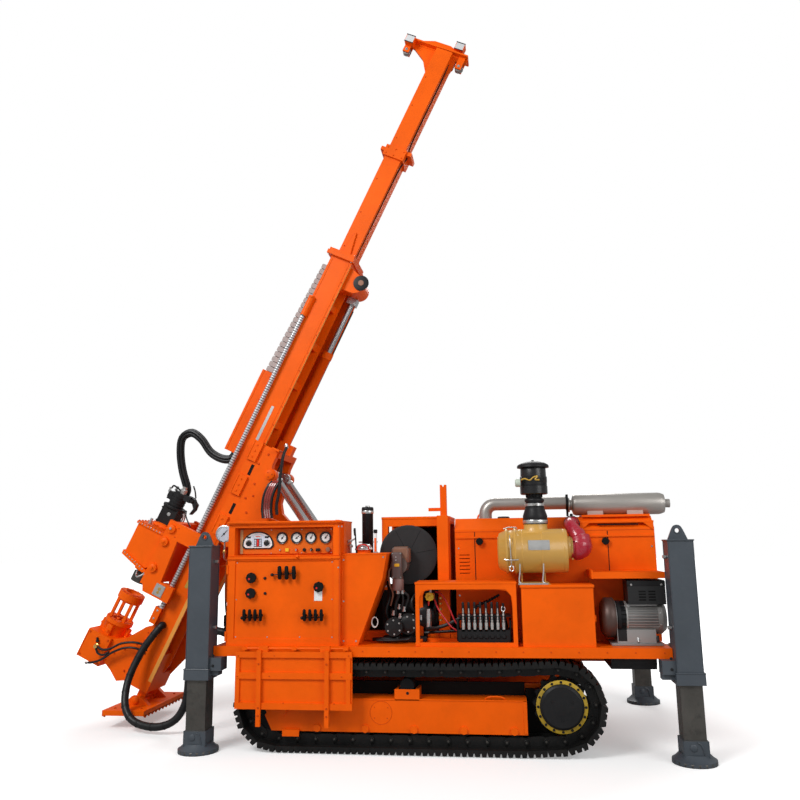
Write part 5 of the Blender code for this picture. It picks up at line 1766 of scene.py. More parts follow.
def build_dials():
    piece = Piece("instruments", "chassis", "black_parts")
    y = -0.966
    piece.box((-0.98, -0.965, 1.575), (-0.155, -0.9503, 1.79), "panel", 0.003)
    cx, cz, w, h = -0.817, 1.6195, 0.141, 0.149
    rim = [(cx + w * math.cos(math.radians(t)), cz + 0.035 + (h - 0.035) * math.sin(math.radians(t)))
           for t in range(0, 181, 12)]
    rim += [(cx - w, cz + 0.022), (cx - w + 0.022, cz), (cx + w - 0.022, cz), (cx + w, cz + 0.022)]
    piece.prism(rim, y - 0.010, y, "dial_black", bevel=0.003)
    inner = [(cx + (a - cx) * 0.90, cz + 0.07 + (b - cz - 0.07) * 0.87) for a, b in rim]
    piece.prism(inner, y - 0.012, y - 0.009, "white", bevel=0.001)
    inner = [(cx + (a - cx) * 0.80, cz + 0.068 + (b - cz - 0.068) * 0.74) for a, b in rim]
    piece.prism(inner, y - 0.0128, y - 0.0115, "glass_blue", bevel=0.0004)
    for side in (-1, 1):
        gx, gz = cx + side * 0.080, cz + 0.050
        piece.lathe((gx, y - 0.0125, gz), FRONT, [(0, 0.0022), (0.026, 0.002), (0.032, 0.0)], "dial_black",
                    24)
        piece.lathe((gx, y - 0.0145, gz), FRONT, [(0.027, 0.001), (0.029, 0.002), (0.031, 0.001)], "white",
                    24)
        marks = [math.radians(30 + 30 * k) for k in range(5)]
        face = (gx, y - 0.0155, gz)
        for inner, outer in zip(around(face, 0.018, marks), around(face, 0.025, marks)):
            piece.rod(inner, outer, 0.0012, "white", 5)
        piece.box((gx - 0.018, y - 0.0145, cz + 0.092), (gx + 0.016, y - 0.0125, cz + 0.108), "dial_black",
                  0.002)
    piece.box((cx - 0.034, y - 0.0145, cz + 0.018), (cx + 0.034, y - 0.0125, cz + 0.088), "dial_black",
              0.002)
    piece.box((cx - 0.009, y - 0.0155, cz + 0.022), (cx + 0.009, y - 0.0140, cz + 0.084), "red", 0.001)
    for k in range(4):
        for sx in (-1, 1):
            piece.box((cx + sx * 0.022 - 0.008, y - 0.0155, cz + 0.024 + 0.015 * k),
                      (cx + sx * 0.022 + 0.008, y - 0.0140, cz + 0.035 + 0.015 * k), "glass_blue", 0.0006)
    piece.box((cx - 0.030, y - 0.0145, cz + 0.098), (cx + 0.030, y - 0.0125, cz + 0.116), "white", 0.001)
    piece.box((cx - 0.022, y - 0.0155, cz + 0.103), (cx + 0.022, y - 0.0140, cz + 0.110), "red", 0.001)
    for x, needle in ((-0.603, 50), (-0.474, 40), (-0.348, 60), (-0.219, 50)):
        gauge(piece, x, y, 1.710, 0.051, needle=needle)
    low = 1.608
    piece.lathe((-0.621, y, low), FRONT, [(0, 0.012), (0.006, 0.011), (0.010, 0.003), (0.010, 0)], "steel",
                14)
    piece.box((-0.573, y - 0.012, low - 0.015), (-0.541, y, low + 0.015), "yellow", 0.003)
    piece.lathe((-0.475, y, low), FRONT, [(0, 0.016), (0.008, 0.015), (0.012, 0.004), (0.013, 0)], "red",
                16)
    piece.box((-0.480, y - 0.026, low - 0.010), (-0.470, y - 0.012, low + 0.010), "steel", 0.001)
    piece.lathe((-0.406, y, low), FRONT, [(0, 0.018), (0.012, 0.017), (0.015, 0.004), (0.016, 0)], "black",
                18)
    piece.lathe((-0.344, y, low), FRONT, [(0, 0.016), (0.010, 0.015), (0.013, 0.004), (0.014, 0)], "black",
                18)
    piece.box((-0.347, y - 0.026, low - 0.012), (-0.341, y - 0.012, low + 0.006), "steel", 0.001)
    piece.box((-0.302, y - 0.022, low - 0.014), (-0.264, y - 0.002, low + 0.012), "black", 0.005)
    piece.lathe((-0.194, y, low), FRONT, [(0, 0.024), (0.018, 0.022), (0.022, 0.012), (0.015, 0.006),
                                          (0.018, 0)], "brown_motor", 20)
    piece.box((-0.9785, y - 0.004, 1.578), (-0.953, y + 0.001, 1.786), "beige", 0.001)
    for x in (-0.965, -0.70, -0.43, -0.17):
        for z in (1.583, 1.780):
            piece.bolt((x, y, z), FRONT, 0.004, "steel")
    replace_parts(piece.done(), "dial_panel")


def build_control_levers():
    piece = Piece("control_levers", "chassis", "black_parts")
    for x in (-0.588, -0.527, -0.464):
        grip_lever(piece, x, 1.365, 1.478, radius=0.0165)
    for x in (-0.890, -0.842, -0.795, -0.748):
        grip_lever(piece, x, 1.027, 1.125, radius=0.0135)
    for x in (-0.371, -0.323, -0.276, -0.226):
        grip_lever(piece, x, 1.027, 1.125, radius=0.0135)
    piece.rod((-0.655, -1.058, 1.404), (-0.470, -1.058, 1.414), 0.0045, "black", 8)
    for x, z in ((-0.657, 1.404), (-0.912, 1.052), (-0.393, 1.052)):
        piece.rod((x, -1.040, z), (x, -1.066, z), 0.007, "black", 10)
        piece.ball((x, -1.070, z), 0.014, "black")
    for x0, x1 in ((-0.905, -0.76), (-0.386, -0.24)):
        for k in range(3):
            a = x0 + (x1 - x0) * (k + 0.5) / 3
            piece.ball((a, -1.064, 1.052), 0.008, "black", steps=10)
        piece.rod((x0, -1.056, 1.052), (x1, -1.056, 1.056), 0.004, "black", 8)
    star_knob(piece, -0.841, -1.040, 1.380, 0.045)
    star_knob(piece, -0.844, -1.040, 1.253, 0.045)
    star_knob(piece, -0.255, -1.040, 1.302, 0.044)
    for x, z in ((-0.727, 1.376), (-0.723, 1.251)):
        piece.lathe((x, -1.040, z), FRONT, [(0, 0), (0.012, 0), (0.012, 0.008), (0.006, 0.014), (0, 0.014)],
                    "black", 14)
    piece.prism([(-0.298, 1.188), (-0.229, 1.188), (-0.229, 1.272), (-0.240, 1.278), (-0.287, 1.278),
                 (-0.298, 1.272)],
                -1.0425, -1.0402, "white", bevel=0.0008)
    for x in (-0.975, -0.145):
        for z in (0.895, 1.20, 1.505):
            piece.bolt((x, -1.040, z), FRONT, 0.0045, "steel")
    for x in (-0.70, -0.42):
        piece.bolt((x, -1.040, 0.895), FRONT, 0.0045, "steel")
    piece.done()


def build_cabinet_trim():
    trim = Piece("cabinet_trim", "chassis", "orange_paint")
    trim.box((-1.058, -1.080, 1.838), (-0.055, -1.050, 1.852), "orange", 0.003)
    trim.box((-0.992, -1.043, 0.874), (-0.128, -1.038, 0.881), "orange", 0.001)
    trim.box((-1.056, -1.056, 1.558), (-0.073, -1.046, 1.566), "orange", 0.002)
    trim.box((-0.083, -1.056, 0.83), (-0.073, -1.048, 1.835), "deep_orange", 0.001)
    for z in (0.90, 1.45):
        trim.rod((-1.058, -1.052, z - 0.04), (-1.058, -1.052, z + 0.04), 0.011, "orange", 12)
    trim.rod((-0.44, -1.058, 1.545), (-0.44, -1.078, 1.560), 0.012, "orange", 12)
    for x, z in ((-0.09, 1.46), (-0.085, 1.80), (-0.06, 1.80)):
        trim.bolt((x, -1.0502, z), FRONT, 0.006, "steel")
    for x in (-1.00, -0.13):
        trim.rod((x, -0.90, 1.848), (x, -0.90, 1.860), 0.02, "orange", 14)
    trim.done()


def build_load_gauge():
    """The big gauge and the lever left of the cabinet."""
    piece = Piece("load_gauge", "chassis", "bright_steel")
    x, y, z = -1.144, -0.90, 1.754
    piece.rod((x, y, 1.59), (x, y, z - 0.06), 0.008, "steel", 12)
    piece.lathe((x, y, 1.585), UP, [(0, 0), (0.016, 0), (0.016, 0.02), (0.010, 0.03), (0, 0.03)], "brass",
                12)
    can = [(0, 0.0), (0.066, 0.0), (0.072, 0.006), (0.072, 0.040), (0.0745, 0.042), (0.0745, 0.050),
           (0.066, 0.052), (0.064, 0.047)]
    piece.lathe((x, y + 0.02, z), FRONT, can, "steel", 36)
    piece.lathe((x, y - 0.0265, z), FRONT, [(0, 0.0), (0.066, 0.0), (0.066, -0.002)], "glass_blue", 36)
    for k in range(21):
        a = math.radians(225 - 13.5 * k)
        c, s = math.cos(a), math.sin(a)
        long = 0.006 if k % 5 else 0.010
        piece.rod((x + c * (0.058 - long), y - 0.0275, z + s * (0.058 - long)),
                  (x + c * 0.058, y - 0.0275, z + s * 0.058), 0.0011, "dial_black", 5)
    piece.rod((x - 0.022, y - 0.029, z - 0.022), (x + 0.030, y - 0.029, z + 0.032), 0.0022, "dial_black", 6)
    piece.lathe((x, y - 0.026, z), FRONT, [(0, 0.006), (0.008, 0.005), (0.009, 0)], "dial_black", 14)
    piece.tube([(x, y, 1.590), (x, y + 0.01, 1.54), (x + 0.04, y + 0.05, 1.50),
                (x + 0.088, y + 0.06, 1.47)], 0.009, "steel", 8, 4)
    piece.box((-1.120, -0.93, 1.468), (-1.0553, -0.80, 1.482), "orange", 0.002)
    piece.box((x - 0.02, y - 0.03, 1.470), (-1.0553, y + 0.03, 1.480), "orange", 0.002)
    piece.done()


def build_tilt_control():
    handle = Piece("tilt_control", "chassis", "orange_paint")
    handle.lathe((-1.085, -0.93, 1.165), (-0.03, 0.0, 1),
                 [(0, 0), (0.018, 0.004), (0.026, 0.03), (0.027, 0.28), (0.020, 0.35), (0.012, 0.372),
                  (0, 0.375)],
                 "orange", 16)
    handle.rod((-1.085, -0.93, 1.17), (-1.085, -0.93, 1.06), 0.010, "steel", 10)
    handle.box((-1.115, -0.96, 0.97), (-1.0553, -0.88, 1.065), "black", 0.006)
    handle.box((-1.115, -0.955, 1.03), (-1.0553, -0.90, 1.05), "steel", 0.003)
    for k in range(4):
        z = 0.90 + 0.035 * k
        handle.tube([(-1.058, -0.90 - 0.01 * k, z + 0.08), (-1.12, -0.89, z + 0.03),
                     (-1.13, -0.86, z - 0.02), (-1.135, -0.80, z - 0.06)],
                    0.010, "rubber", 8, 4)
    handle.tube([(-1.118, -0.91, 1.44), (-1.122, -0.91, 1.30), (-1.118, -0.90, 1.12), (-1.10, -0.90, 1.02)],
                0.0085, "rubber", 8, 4)
    handle.rod((-1.118, -0.91, 1.36), (-1.118, -0.91, 1.46), 0.011, "steel", 10)
    handle.done()


def build_tank_fittings():
    piece = Piece("tank_fittings", "chassis", "bright_steel")
    cap = [(0, 0.0), (0.074, 0.0), (0.080, 0.004), (0.080, 0.014), (0.070, 0.020), (0.066, 0.034),
           (0.05, 0.048), (0.02, 0.056), (0, 0.057)]
    piece.lathe((0.097, -0.86, 1.598), UP, cap, "steel", 28)
    piece.tube([(0.05, -0.92, 1.604), (0.06, -0.935, 1.632), (0.10, -0.94, 1.646), (0.14, -0.935, 1.632),
                (0.15, -0.92, 1.604)],
               0.006, "red", 8, 4)
    piece.rod((-0.031, -0.82, 1.573), (-0.031, -0.82, 1.64), 0.010, "steel", 10)
    piece.lathe((-0.031, -0.82, 1.62), UP, [(0, 0), (0.02, 0.002), (0.022, 0.02), (0.012, 0.03),
                                            (0, 0.031)], "steel", 12)
    piece.rod((-0.07, -0.83, 1.655), (0.012, -0.80, 1.70), 0.007, "steel", 10)
    piece.box((-0.055, -0.84, 1.665), (-0.020, -0.80, 1.690), "steel", 0.004)
    piece.rod((0.037, -0.90, 1.573), (0.024, -0.90, 1.785), 0.0065, "black", 10)
    piece.lathe((0.024, -0.90, 1.72), (-0.06, 0, 1),
                [(0, 0), (0.009, 0.004), (0.011, 0.05), (0.007, 0.066), (0, 0.067)], "black", 12)
    piece.box((0.190, -0.90, 1.572), (0.212, -0.872, 1.745), "white", 0.003)
    piece.box((0.193, -0.903, 1.585), (0.209, -0.899, 1.70), "orange", 0.001)
    piece.box((0.186, -0.904, 1.740), (0.216, -0.868, 1.772), "black", 0.004)
    piece.box((0.186, -0.904, 1.566), (0.216, -0.868, 1.586), "steel", 0.003)
    piece.lathe((0.10, -0.70, 1.915), UP, [(0.0535, 0), (0.055, 0.004), (0.055, 0.022), (0.0535, 0.026)],
                "steel", 24)
    piece.lathe((0.10, -0.70, 1.9725), UP, [(0, 0.0), (0.020, 0.0), (0.020, 0.012), (0, 0.013)], "steel",
                14)
    piece.box((0.02, -0.712, 1.66), (0.18, -0.648, 1.672), "steel", 0.002)
    for x, z in ((-0.055, 1.52), (-0.055, 0.86), (-0.055, 1.18), (0.285, 1.54), (0.05, 0.86)):
        piece.bolt((x, -1.0003, z), FRONT, 0.006, "steel")
    piece.done()


def build_tank_rim():
    rim = Piece("tank_rim", "chassis", "orange_paint")
    rim.box((-0.0747, -1.004, 1.560), (0.318, -0.62, 1.574), "orange", 0.003)
    rim.box((-0.0747, -1.003, 0.8257), (-0.062, -0.996, 1.565), "orange", 0.002)
    rim.done()


build_dials()
build_control_levers()
build_cabinet_trim()
build_load_gauge()
build_tilt_control()
build_tank_fittings()
build_tank_rim()


def build_winch_reel():
    """The drum's near side and the rope wound on it."""
    x, _, z = WINCH
    disc = Piece("winch_reel", "winch_drum", "black_parts")
    spokes = evenly(9, 0.27)
    face = (x, -0.5035, z)
    for inner, outer in zip(around(face, 0.07, spokes), around(face, 0.236, spokes)):
        disc.tube([inner, outer], 0.003, "black", 6, 0)
    disc.bolts(around((x, -0.5015, z), 0.238, evenly(18)), FRONT, 0.004, "steel")
    rim = [(0.246, 0.0), (0.2505, 0.002), (0.2505, 0.016), (0.246, 0.018)]
    disc.lathe((x, -0.484, z), FRONT, rim, "black", 48)
    disc.lathe((x, -0.5002, z), FRONT, [(0.05, 0), (0.10, 0.0), (0.10, 0.005), (0.05, 0.008)], "black", 32)
    coil = []
    turns, per = 34, 20
    for k in range(turns * per + 1):
        a = 2 * math.pi * k / per
        coil.append(Vector((x + 0.150 * math.cos(a), -0.455 + 0.010 * k / per, z + 0.150 * math.sin(a))))
    disc.tube(coil, 0.0052, "worn_steel", 6, 0)
    disc.done()


def build_winch_drive():
    """Motor, plates and hoses on the winch."""
    x, _, z = WINCH
    piece = Piece("winch_drive", "chassis", "grey_casting")
    mx, mz = x - 0.05, z - 0.09
    piece.box((mx - 0.066, -0.785, mz + 0.008), (mx + 0.088, -0.635, mz + 0.158), "brown_motor", 0.022)
    piece.box((mx - 0.058, -0.845, mz - 0.112), (mx + 0.028, -0.755, mz + 0.113), "motor_plate", 0.012)
    piece.box((mx - 0.035, -0.849, mz - 0.010), (mx + 0.010, -0.843, mz + 0.016), "amber", 0.002)
    piece.bolts([(mx - 0.02, -0.845, mz + 0.07), (mx - 0.02, -0.845, mz + 0.045)], FRONT, 0.005, "steel")
    piece.bolts([(mx - 0.05, -0.8455, mz + 0.10), (mx + 0.02, -0.8455, mz + 0.10),
                 (mx - 0.05, -0.8455, mz - 0.10), (mx + 0.02, -0.8455, mz - 0.10)],
                FRONT, 0.006, "casting")
    piece.lathe((mx - 0.010, -0.80, mz - 0.115), DOWN,
                [(0, 0), (0.048, 0.0), (0.050, 0.008), (0.050, 0.085), (0.044, 0.095), (0, 0.095)],
                "motor_foot", 24)
    piece.rod((mx - 0.010, -0.80, mz - 0.205), (mx - 0.010, -0.80, mz - 0.24), 0.020, "steel", 12)
    piece.lathe((mx + 0.03, -0.80, mz - 0.24), UP,
                [(0, 0), (0.016, 0), (0.016, 0.03), (0.010, 0.036), (0, 0.036)], "steel", 6, flat=True)
    piece.box((mx - 0.07, -0.74, mz - 0.05), (mx - 0.05, -0.66, mz + 0.05), "steel", 0.004)
    piece.tube([(mx - 0.055, -0.80, mz - 0.01), (mx - 0.085, -0.81, mz - 0.05),
                (mx - 0.080, -0.81, mz - 0.16), (mx - 0.055, -0.79, mz - 0.24),
                (mx - 0.08, -0.76, mz - 0.34)], 0.008, "brown_motor", 8, 4)
    piece.tube([(mx - 0.012, -0.80, mz - 0.24), (mx - 0.015, -0.80, mz - 0.29),
                (mx - 0.035, -0.78, mz - 0.34), (mx - 0.03, -0.74, mz - 0.42)],
               0.011, "rubber", 8, 4)
    piece.tube([(mx + 0.03, -0.80, mz - 0.24), (mx + 0.035, -0.81, mz - 0.30),
                (mx + 0.02, -0.80, mz - 0.38), (mx + 0.05, -0.74, mz - 0.46)],
               0.011, "rubber", 8, 4)
    piece.done()


def build_winch_guard():
    """Round cover, and two matt black sheets of painted shade: one behind the drum, one across the pump bay.
    """
    guard = Piece("winch_guard", "chassis", "black_parts")
    gx, gz = 0.452, 1.553
    shell = [(0, 0.006), (0.10, 0.006), (0.230, 0.004), (0.252, 0.0055), (0.257, 0.004), (0.257, 0.0),
             (0, 0.0)]
    guard.lathe((gx, -0.6220, gz), FRONT, shell, "guard_black", 56)
    angles = [math.radians(angle) for angle in (62, 118, 10)]
    near, far = around((gx, -0.6282, gz), 0.07, angles), around((gx, -0.6265, gz), 0.24, angles)
    for inner, outer in zip(near, far):
        guard.tube([inner, outer], 0.0016, "matt_black", 6, 0)
    # Matt black sheets of painted shade: behind the drum at the far side, and across the pump bay and the
    # space left of it
    guard.prism([(0.216, 1.25), (0.795, 1.25), (0.795, 1.80), (0.216, 1.80)], 0.030, 0.042, "matt_black",
                bevel=0.002)
    guard.prism([(0.0, 0.835), (0.86, 0.835), (0.86, 1.285), (0.185, 1.285), (0.185, 1.50), (0.10, 1.57),
                 (0.0, 1.57)],
                -0.345, -0.333, "matt_black", bevel=0.002)
    guard.done()


def build_winch_frame_trim():
    top = Piece("winch_frame_trim", "chassis", "orange_paint")
    top.prism([(0.717, 0.830), (0.815, 0.830), (0.815, 1.888), (0.717, 1.888)], -0.705, -0.6205, "orange",
              bevel=0.004)
    top.box((0.212, -0.625, 1.862), (0.828, 0.083, 1.884), "orange", 0.003)
    for bx in (0.245, 0.80):
        for bz in (1.28, 1.34):
            top.bolt((bx, -0.6205, bz), FRONT, 0.008, "steel")
    top.bolts([(0.37, -0.6002, 1.62), (0.51, -0.6002, 1.62)], FRONT, 0.009, "steel")
    top.done()


def build_pumps():
    """Pumps, filter and pipework in the open bay under the winch."""
    piece = Piece("pump_details", "chassis", "black_parts")
    for px, pz, pr in ((0.352, 0.96, 0.079), (0.465, 0.98, 0.086)):
        end = -0.902 if px < 0.4 else -0.862
        piece.lathe((px, end + 0.02, pz), FRONT, [(pr * 0.9, -0.05), (pr, -0.045), (pr, 0.0),
                                                  (pr * 0.8, 0.018), (pr * 0.3, 0.024), (0, 0.024)],
                    "black", 28)
        piece.bolts(around((px, end, pz), pr * 0.72, (0.6, 1.6, 2.7, 3.7, 4.8, 5.8)), FRONT, 0.006, "steel")
    piece.box((0.24, -0.80, 0.826), (0.62, -0.60, 0.875), "black", 0.008)
    piece.box((0.30, -0.76, 1.03), (0.40, -0.66, 1.10), "black", 0.01)
    piece.box((0.53, -0.75, 1.06), (0.63, -0.64, 1.14), "black", 0.01)
    piece.lathe((0.58, -0.70, 1.135), UP, [(0, 0), (0.030, 0), (0.034, 0.004), (0.034, 0.075),
                                           (0.028, 0.085), (0, 0.086)], "matt_black", 18)
    for k in range(5):
        piece.lathe((0.58, -0.70, 1.142 + 0.014 * k), UP,
                    [(0.033, 0), (0.037, 0.002), (0.037, 0.006), (0.033, 0.008)], "black", 18)
    routes = [
        [(0.36, -0.79, 1.04), (0.36, -0.80, 1.14), (0.39, -0.79, 1.22), (0.385, -0.79, 1.23)],
        [(0.43, -0.76, 1.05), (0.45, -0.80, 1.13), (0.47, -0.80, 1.20), (0.43, -0.79, 1.24)],
        [(0.30, -0.74, 0.98), (0.27, -0.76, 1.08), (0.30, -0.74, 1.20), (0.27, -0.66, 1.32)],
        [(0.55, -0.72, 1.05), (0.50, -0.78, 1.10), (0.50, -0.78, 1.18), (0.56, -0.70, 1.26)],
        [(0.62, -0.80, 0.94), (0.70, -0.86, 0.95), (0.80, -0.88, 0.98), (0.925, -0.90, 1.04)],
        [(0.60, -0.76, 0.90), (0.72, -0.78, 0.91), (0.86, -0.80, 0.92), (0.94, -0.84, 0.93)],
        [(0.40, -0.80, 0.88), (0.36, -0.85, 0.86), (0.26, -0.84, 0.86), (0.16, -0.80, 0.85)],
        [(0.50, -0.82, 0.88), (0.46, -0.88, 0.86), (0.34, -0.90, 0.855), (0.20, -0.86, 0.85)],
        [(0.64, -0.66, 1.04), (0.68, -0.72, 1.08), (0.70, -0.74, 1.18), (0.66, -0.70, 1.30)],
    ]
    for k, route in enumerate(routes):
        piece.tube(route, 0.012 if k % 2 else 0.015, "rubber", 8, 5)
    for spot in ((0.385, -0.80, 1.10), (0.43, -0.81, 1.08), (0.50, -0.80, 1.02), (0.40, -0.86, 1.03),
                 (0.57, -0.80, 1.01), (0.34, -0.83, 1.05)):
        piece.lathe(spot, (0.1, 0, 1), [(0, 0), (0.014, 0), (0.014, 0.014), (0.010, 0.016), (0.010, 0.04),
                                        (0, 0.04)], "steel", 6, flat=True)
    for k in range(6):
        piece.tube(hoop(0.194, -0.90 - 0.004 * k, 1.003, 0.026, 0.038 + 0.001 * k), 0.0032, "white", 6, 0)
    piece.lathe((0.640, -0.80, 0.945), UP, [(0, 0), (0.020, 0.0), (0.022, 0.006), (0.022, 0.10),
                                            (0.017, 0.155), (0, 0.157)], "steel", 18)
    piece.lathe((0.60, -0.72, 1.03), FRONT, [(0, 0.0), (0.085, 0.0), (0.088, 0.01), (0.088, 0.03),
                                             (0.07, 0.045), (0.05, 0.048), (0, 0.048)],
                "black", 32)
    piece.done()


def build_valve_levers():
    """Eight levers over their spools, and the hoses behind them."""
    piece = Piece("valve_levers", "chassis", "black_parts")
    for k in range(8):
        x = 0.943 + 0.0467 * k
        piece.lathe((x, -0.985, 0.90), FRONT, [(0, 0), (0.018, 0), (0.020, 0.004), (0.020, 0.018),
                                               (0.013, 0.026), (0, 0.027)], "black", 18)
        piece.lathe((x, -0.985, 0.872), FRONT, [(0, 0), (0.010, 0), (0.010, 0.010), (0, 0.011)], "black",
                    12)
        piece.box((x - 0.0165, -1.000, 0.935), (x + 0.0165, -0.982, 0.958), "black", 0.003)
        piece.box((x - 0.011, -1.006, 0.952), (x + 0.011, -0.984, 1.010), "aluminium", 0.003)
        piece.lathe((x, -1.000, 0.985), FRONT, [(0, 0.010), (0.0075, 0.009), (0.009, 0)], "steel", 10)
        for lift, width in ((1.012, 0.0075), (1.034, 0.0055), (1.058, 0.0080), (1.080, 0.0055)):
            piece.box((x - width, -1.004, lift), (x + width, -0.990, lift + 0.020), "aluminium", 0.003)
        piece.lathe((x, -0.998, 1.045), FRONT, [(0, 0.014), (0.005, 0.013), (0.006, 0)], "steel", 8)
        if k < 7:
            piece.rod((x, -0.997, 1.098), (x, -1.000, 1.125), 0.005, "steel", 8)
            piece.lathe((x, -1.000, 1.120), (0, -0.03, 1),
                        [(0, 0), (0.008, 0.002), (0.0105, 0.012), (0.010, 0.045), (0.006, 0.052),
                         (0, 0.053)], "black", 12)
        else:
            piece.tube(hoop(x, -1.0, 1.115, 0.015, 0.019), 0.0035, "steel", 6, 0)
    piece.box((0.893, -0.99, 1.052), (1.328, -0.815, 1.064), "black", 0.004)
    piece.box((0.885, -0.96, 0.855), (0.905, -0.83, 1.03), "black", 0.006)
    piece.box((1.315, -0.96, 0.855), (1.332, -0.83, 1.03), "black", 0.006)
    for k in range(4):
        x = 1.00 + 0.09 * k
        piece.tube([(x, -0.80, 1.00), (x + 0.005, -0.755, 1.03), (x + 0.02, -0.735, 0.98),
                    (x + 0.03, -0.73, 0.88)], 0.012, "rubber", 8, 4)
    piece.tube([(1.03, -0.83, 1.10), (1.07, -0.80, 1.135), (1.15, -0.80, 1.165), (1.24, -0.80, 1.215)],
               0.011, "rubber", 8, 5)
    for k in range(9):
        piece.lathe((1.045 + 0.022 * k, -0.802, 1.122 + 0.0098 * k), (1, 0, 0.45),
                    [(0.010, 0), (0.0145, 0.002), (0.0145, 0.006), (0.010, 0.008)], "matt_black", 10)
    piece.done()


def build_pressure_valve():
    """Yellow hand wheel with its red hoses."""
    hoses = Piece("pressure_valve", "chassis", "black_parts")
    hoses.tube([(0.70, -0.90, 1.185), (0.735, -0.93, 1.11), (0.79, -0.94, 1.03), (0.84, -0.94, 0.97),
                (0.892, -0.93, 0.933)], 0.0065, "red_hose", 8, 6)
    hoses.tube([(0.71, -0.88, 1.248), (0.765, -0.91, 1.225), (0.82, -0.92, 1.13), (0.862, -0.93, 1.03),
                (0.905, -0.93, 0.965)], 0.0065, "red_hose", 8, 6)
    outline = []
    for k in range(40):
        a = 2 * math.pi * k / 40
        r = 0.036 + 0.003 * math.cos(8 * a)
        outline.append((0.662 + r * math.cos(a), 1.210 + r * math.sin(a)))
    hoses.prism(outline, -0.935, -0.915, "yellow", bevel=0.003)
    hoses.lathe((0.662, -0.90, 1.210), FRONT, [(0, 0), (0.014, 0), (0.014, 0.040), (0.008, 0.044),
                                               (0, 0.044)], "yellow", 14)
    hoses.box((0.640, -0.90, 1.185), (0.70, -0.845, 1.235), "brass", 0.005)
    hoses.rod((0.655, -0.885, 1.19), (0.650, -0.895, 1.135), 0.010, "red", 10, taper=0.005)
    hoses.rod((0.665, -0.87, 1.23), (0.668, -0.87, 1.285), 0.010, "steel", 10)
    hoses.box((0.640, -0.885, 1.270), (0.72, -0.855, 1.332), "orange", 0.003)
    for k in range(5):
        hoses.lathe((0.742, -0.80, 1.00 + 0.045 * k), UP,
                    [(0.010, 0), (0.014, 0.003), (0.014, 0.015), (0.010, 0.018)], "brass", 10)
    hoses.done()


def build_valve_frame_trim():
    trim = Piece("valve_frame_trim", "chassis", "orange_paint")
    trim.box((0.553, -1.054, 1.316), (1.384, -0.716, 1.334), "orange", 0.003)
    trim.box((0.553, -1.054, 0.826), (0.590, -1.046, 0.862), "orange", 0.002)
    trim.prism([(1.20, 1.276), (1.345, 1.276), (1.345, 1.145), (1.335, 1.225), (1.30, 1.262)], -1.045,
               -1.030, "orange")
    trim.prism([(0.587, 1.276), (0.70, 1.276), (0.635, 1.262), (0.600, 1.225), (0.587, 1.15)], -1.045,
               -1.030, "orange")
    trim.done()


def build_tool_box_trim():
    box = Piece("tool_box_trim", "chassis", "orange_paint")
    box.box((1.4105, -1.0605, 1.284), (1.9995, -0.653, 1.3075), "orange", 0.004)
    for z in (0.93, 1.10, 1.22):
        box.rod((1.993, -0.68, z - 0.03), (1.993, -0.68, z + 0.03), 0.008, "orange", 10)
    box.box((1.989, -1.04, 1.02), (2.003, -1.01, 1.07), "orange", 0.004)
    box.done()


build_winch_reel()
build_winch_drive()
build_winch_guard()
build_winch_frame_trim()
build_pumps()
build_valve_levers()
build_pressure_valve()
build_valve_frame_trim()
build_tool_box_trim()

# Engine end


def build_hood_trim():
    """Gaps, louvres, screen, lifting hoops and caps of the hood."""
    piece = Piece("hood_trim", "chassis", "orange_paint")
    y = -0.6502
    # Shadow gaps between the panels
    for x, low, high in ((1.043, 1.30, 1.745), (2.179, 1.395, 1.735)):
        piece.box((x - 0.0035, y - 0.0012, low), (x + 0.0035, y + 0.004, high), "matt_black", 0.0004)
    piece.box((0.872, y - 0.0015, 1.738), (2.568, y + 0.003, 1.744), "deep_orange", 0.0006)
    for k in range(6):
        z = 1.397 + 0.031 * k
        for side, face in ((-1, -0.6505), (1, 0.7505)):
            x0, x1 = (0.905, 0.992) if side < 0 else (0.93, 1.03)
            outline = [(x0, z - 0.006), (x1, z - 0.006), (x1, z + 0.002), (x0, z + 0.002)]
            low, high = sides(side, abs(face), abs(face) + 0.006)
            piece.prism(outline, low, high, "orange", bevel=0.0015)
    piece.prism([(0.890, 1.360), (1.050, 1.360), (1.050, 1.600), (0.890, 1.600)], -0.612, -0.604,
                "matt_black", bevel=0.001)
    for x, z in ((1.085, 1.658), (2.157, 1.648)):
        star_knob(piece, x, y, z, 0.032, None)
    for face, side in ((-0.6505, -1), (0.7505, 1)):
        for x in (0.90, 2.54):
            for z in (0.90, 1.20, 1.60):
                piece.bolt((x, face, z), (0, side, 0), 0.006, "steel")
    for k in range(10):
        z = 1.012 + 0.062 * k
        outline = [(2.5697, z), (2.582, z - 0.004), (2.5697, z + 0.014)]
        piece.prism(outline, -0.41, 0.51, "orange", bevel=0.0)
    frame_box = [(-0.46, 0.985, 0.56, 1.000), (-0.46, 1.655, 0.56, 1.670), (-0.46, 0.985, -0.445, 1.670),
                 (0.545, 0.985, 0.56, 1.670)]
    for a, b, c, d in frame_box:
        piece.box((2.5695, a, b), (2.577, c, d), "orange", 0.002)
    for x in (1.10, 2.30):
        for yy in (-0.35, 0.45):
            piece.tube(hoop(x, yy, 1.860, 0.035, 0.045, 10, math.pi), 0.008, "orange", 8, 0)
            piece.box((x - 0.045, yy - 0.02, 1.8602), (x + 0.045, yy + 0.02, 1.868), "orange", 0.002)
    piece.lathe((1.30, 0.30, 1.8602), UP, [(0, 0), (0.055, 0), (0.060, 0.006), (0.060, 0.03),
                                           (0.050, 0.038), (0, 0.040)], "black", 28)
    piece.lathe((1.55, 0.42, 1.8602), UP, [(0, 0), (0.040, 0), (0.040, 0.012), (0.030, 0.016), (0, 0.016)],
                "black", 24)
    piece.done()


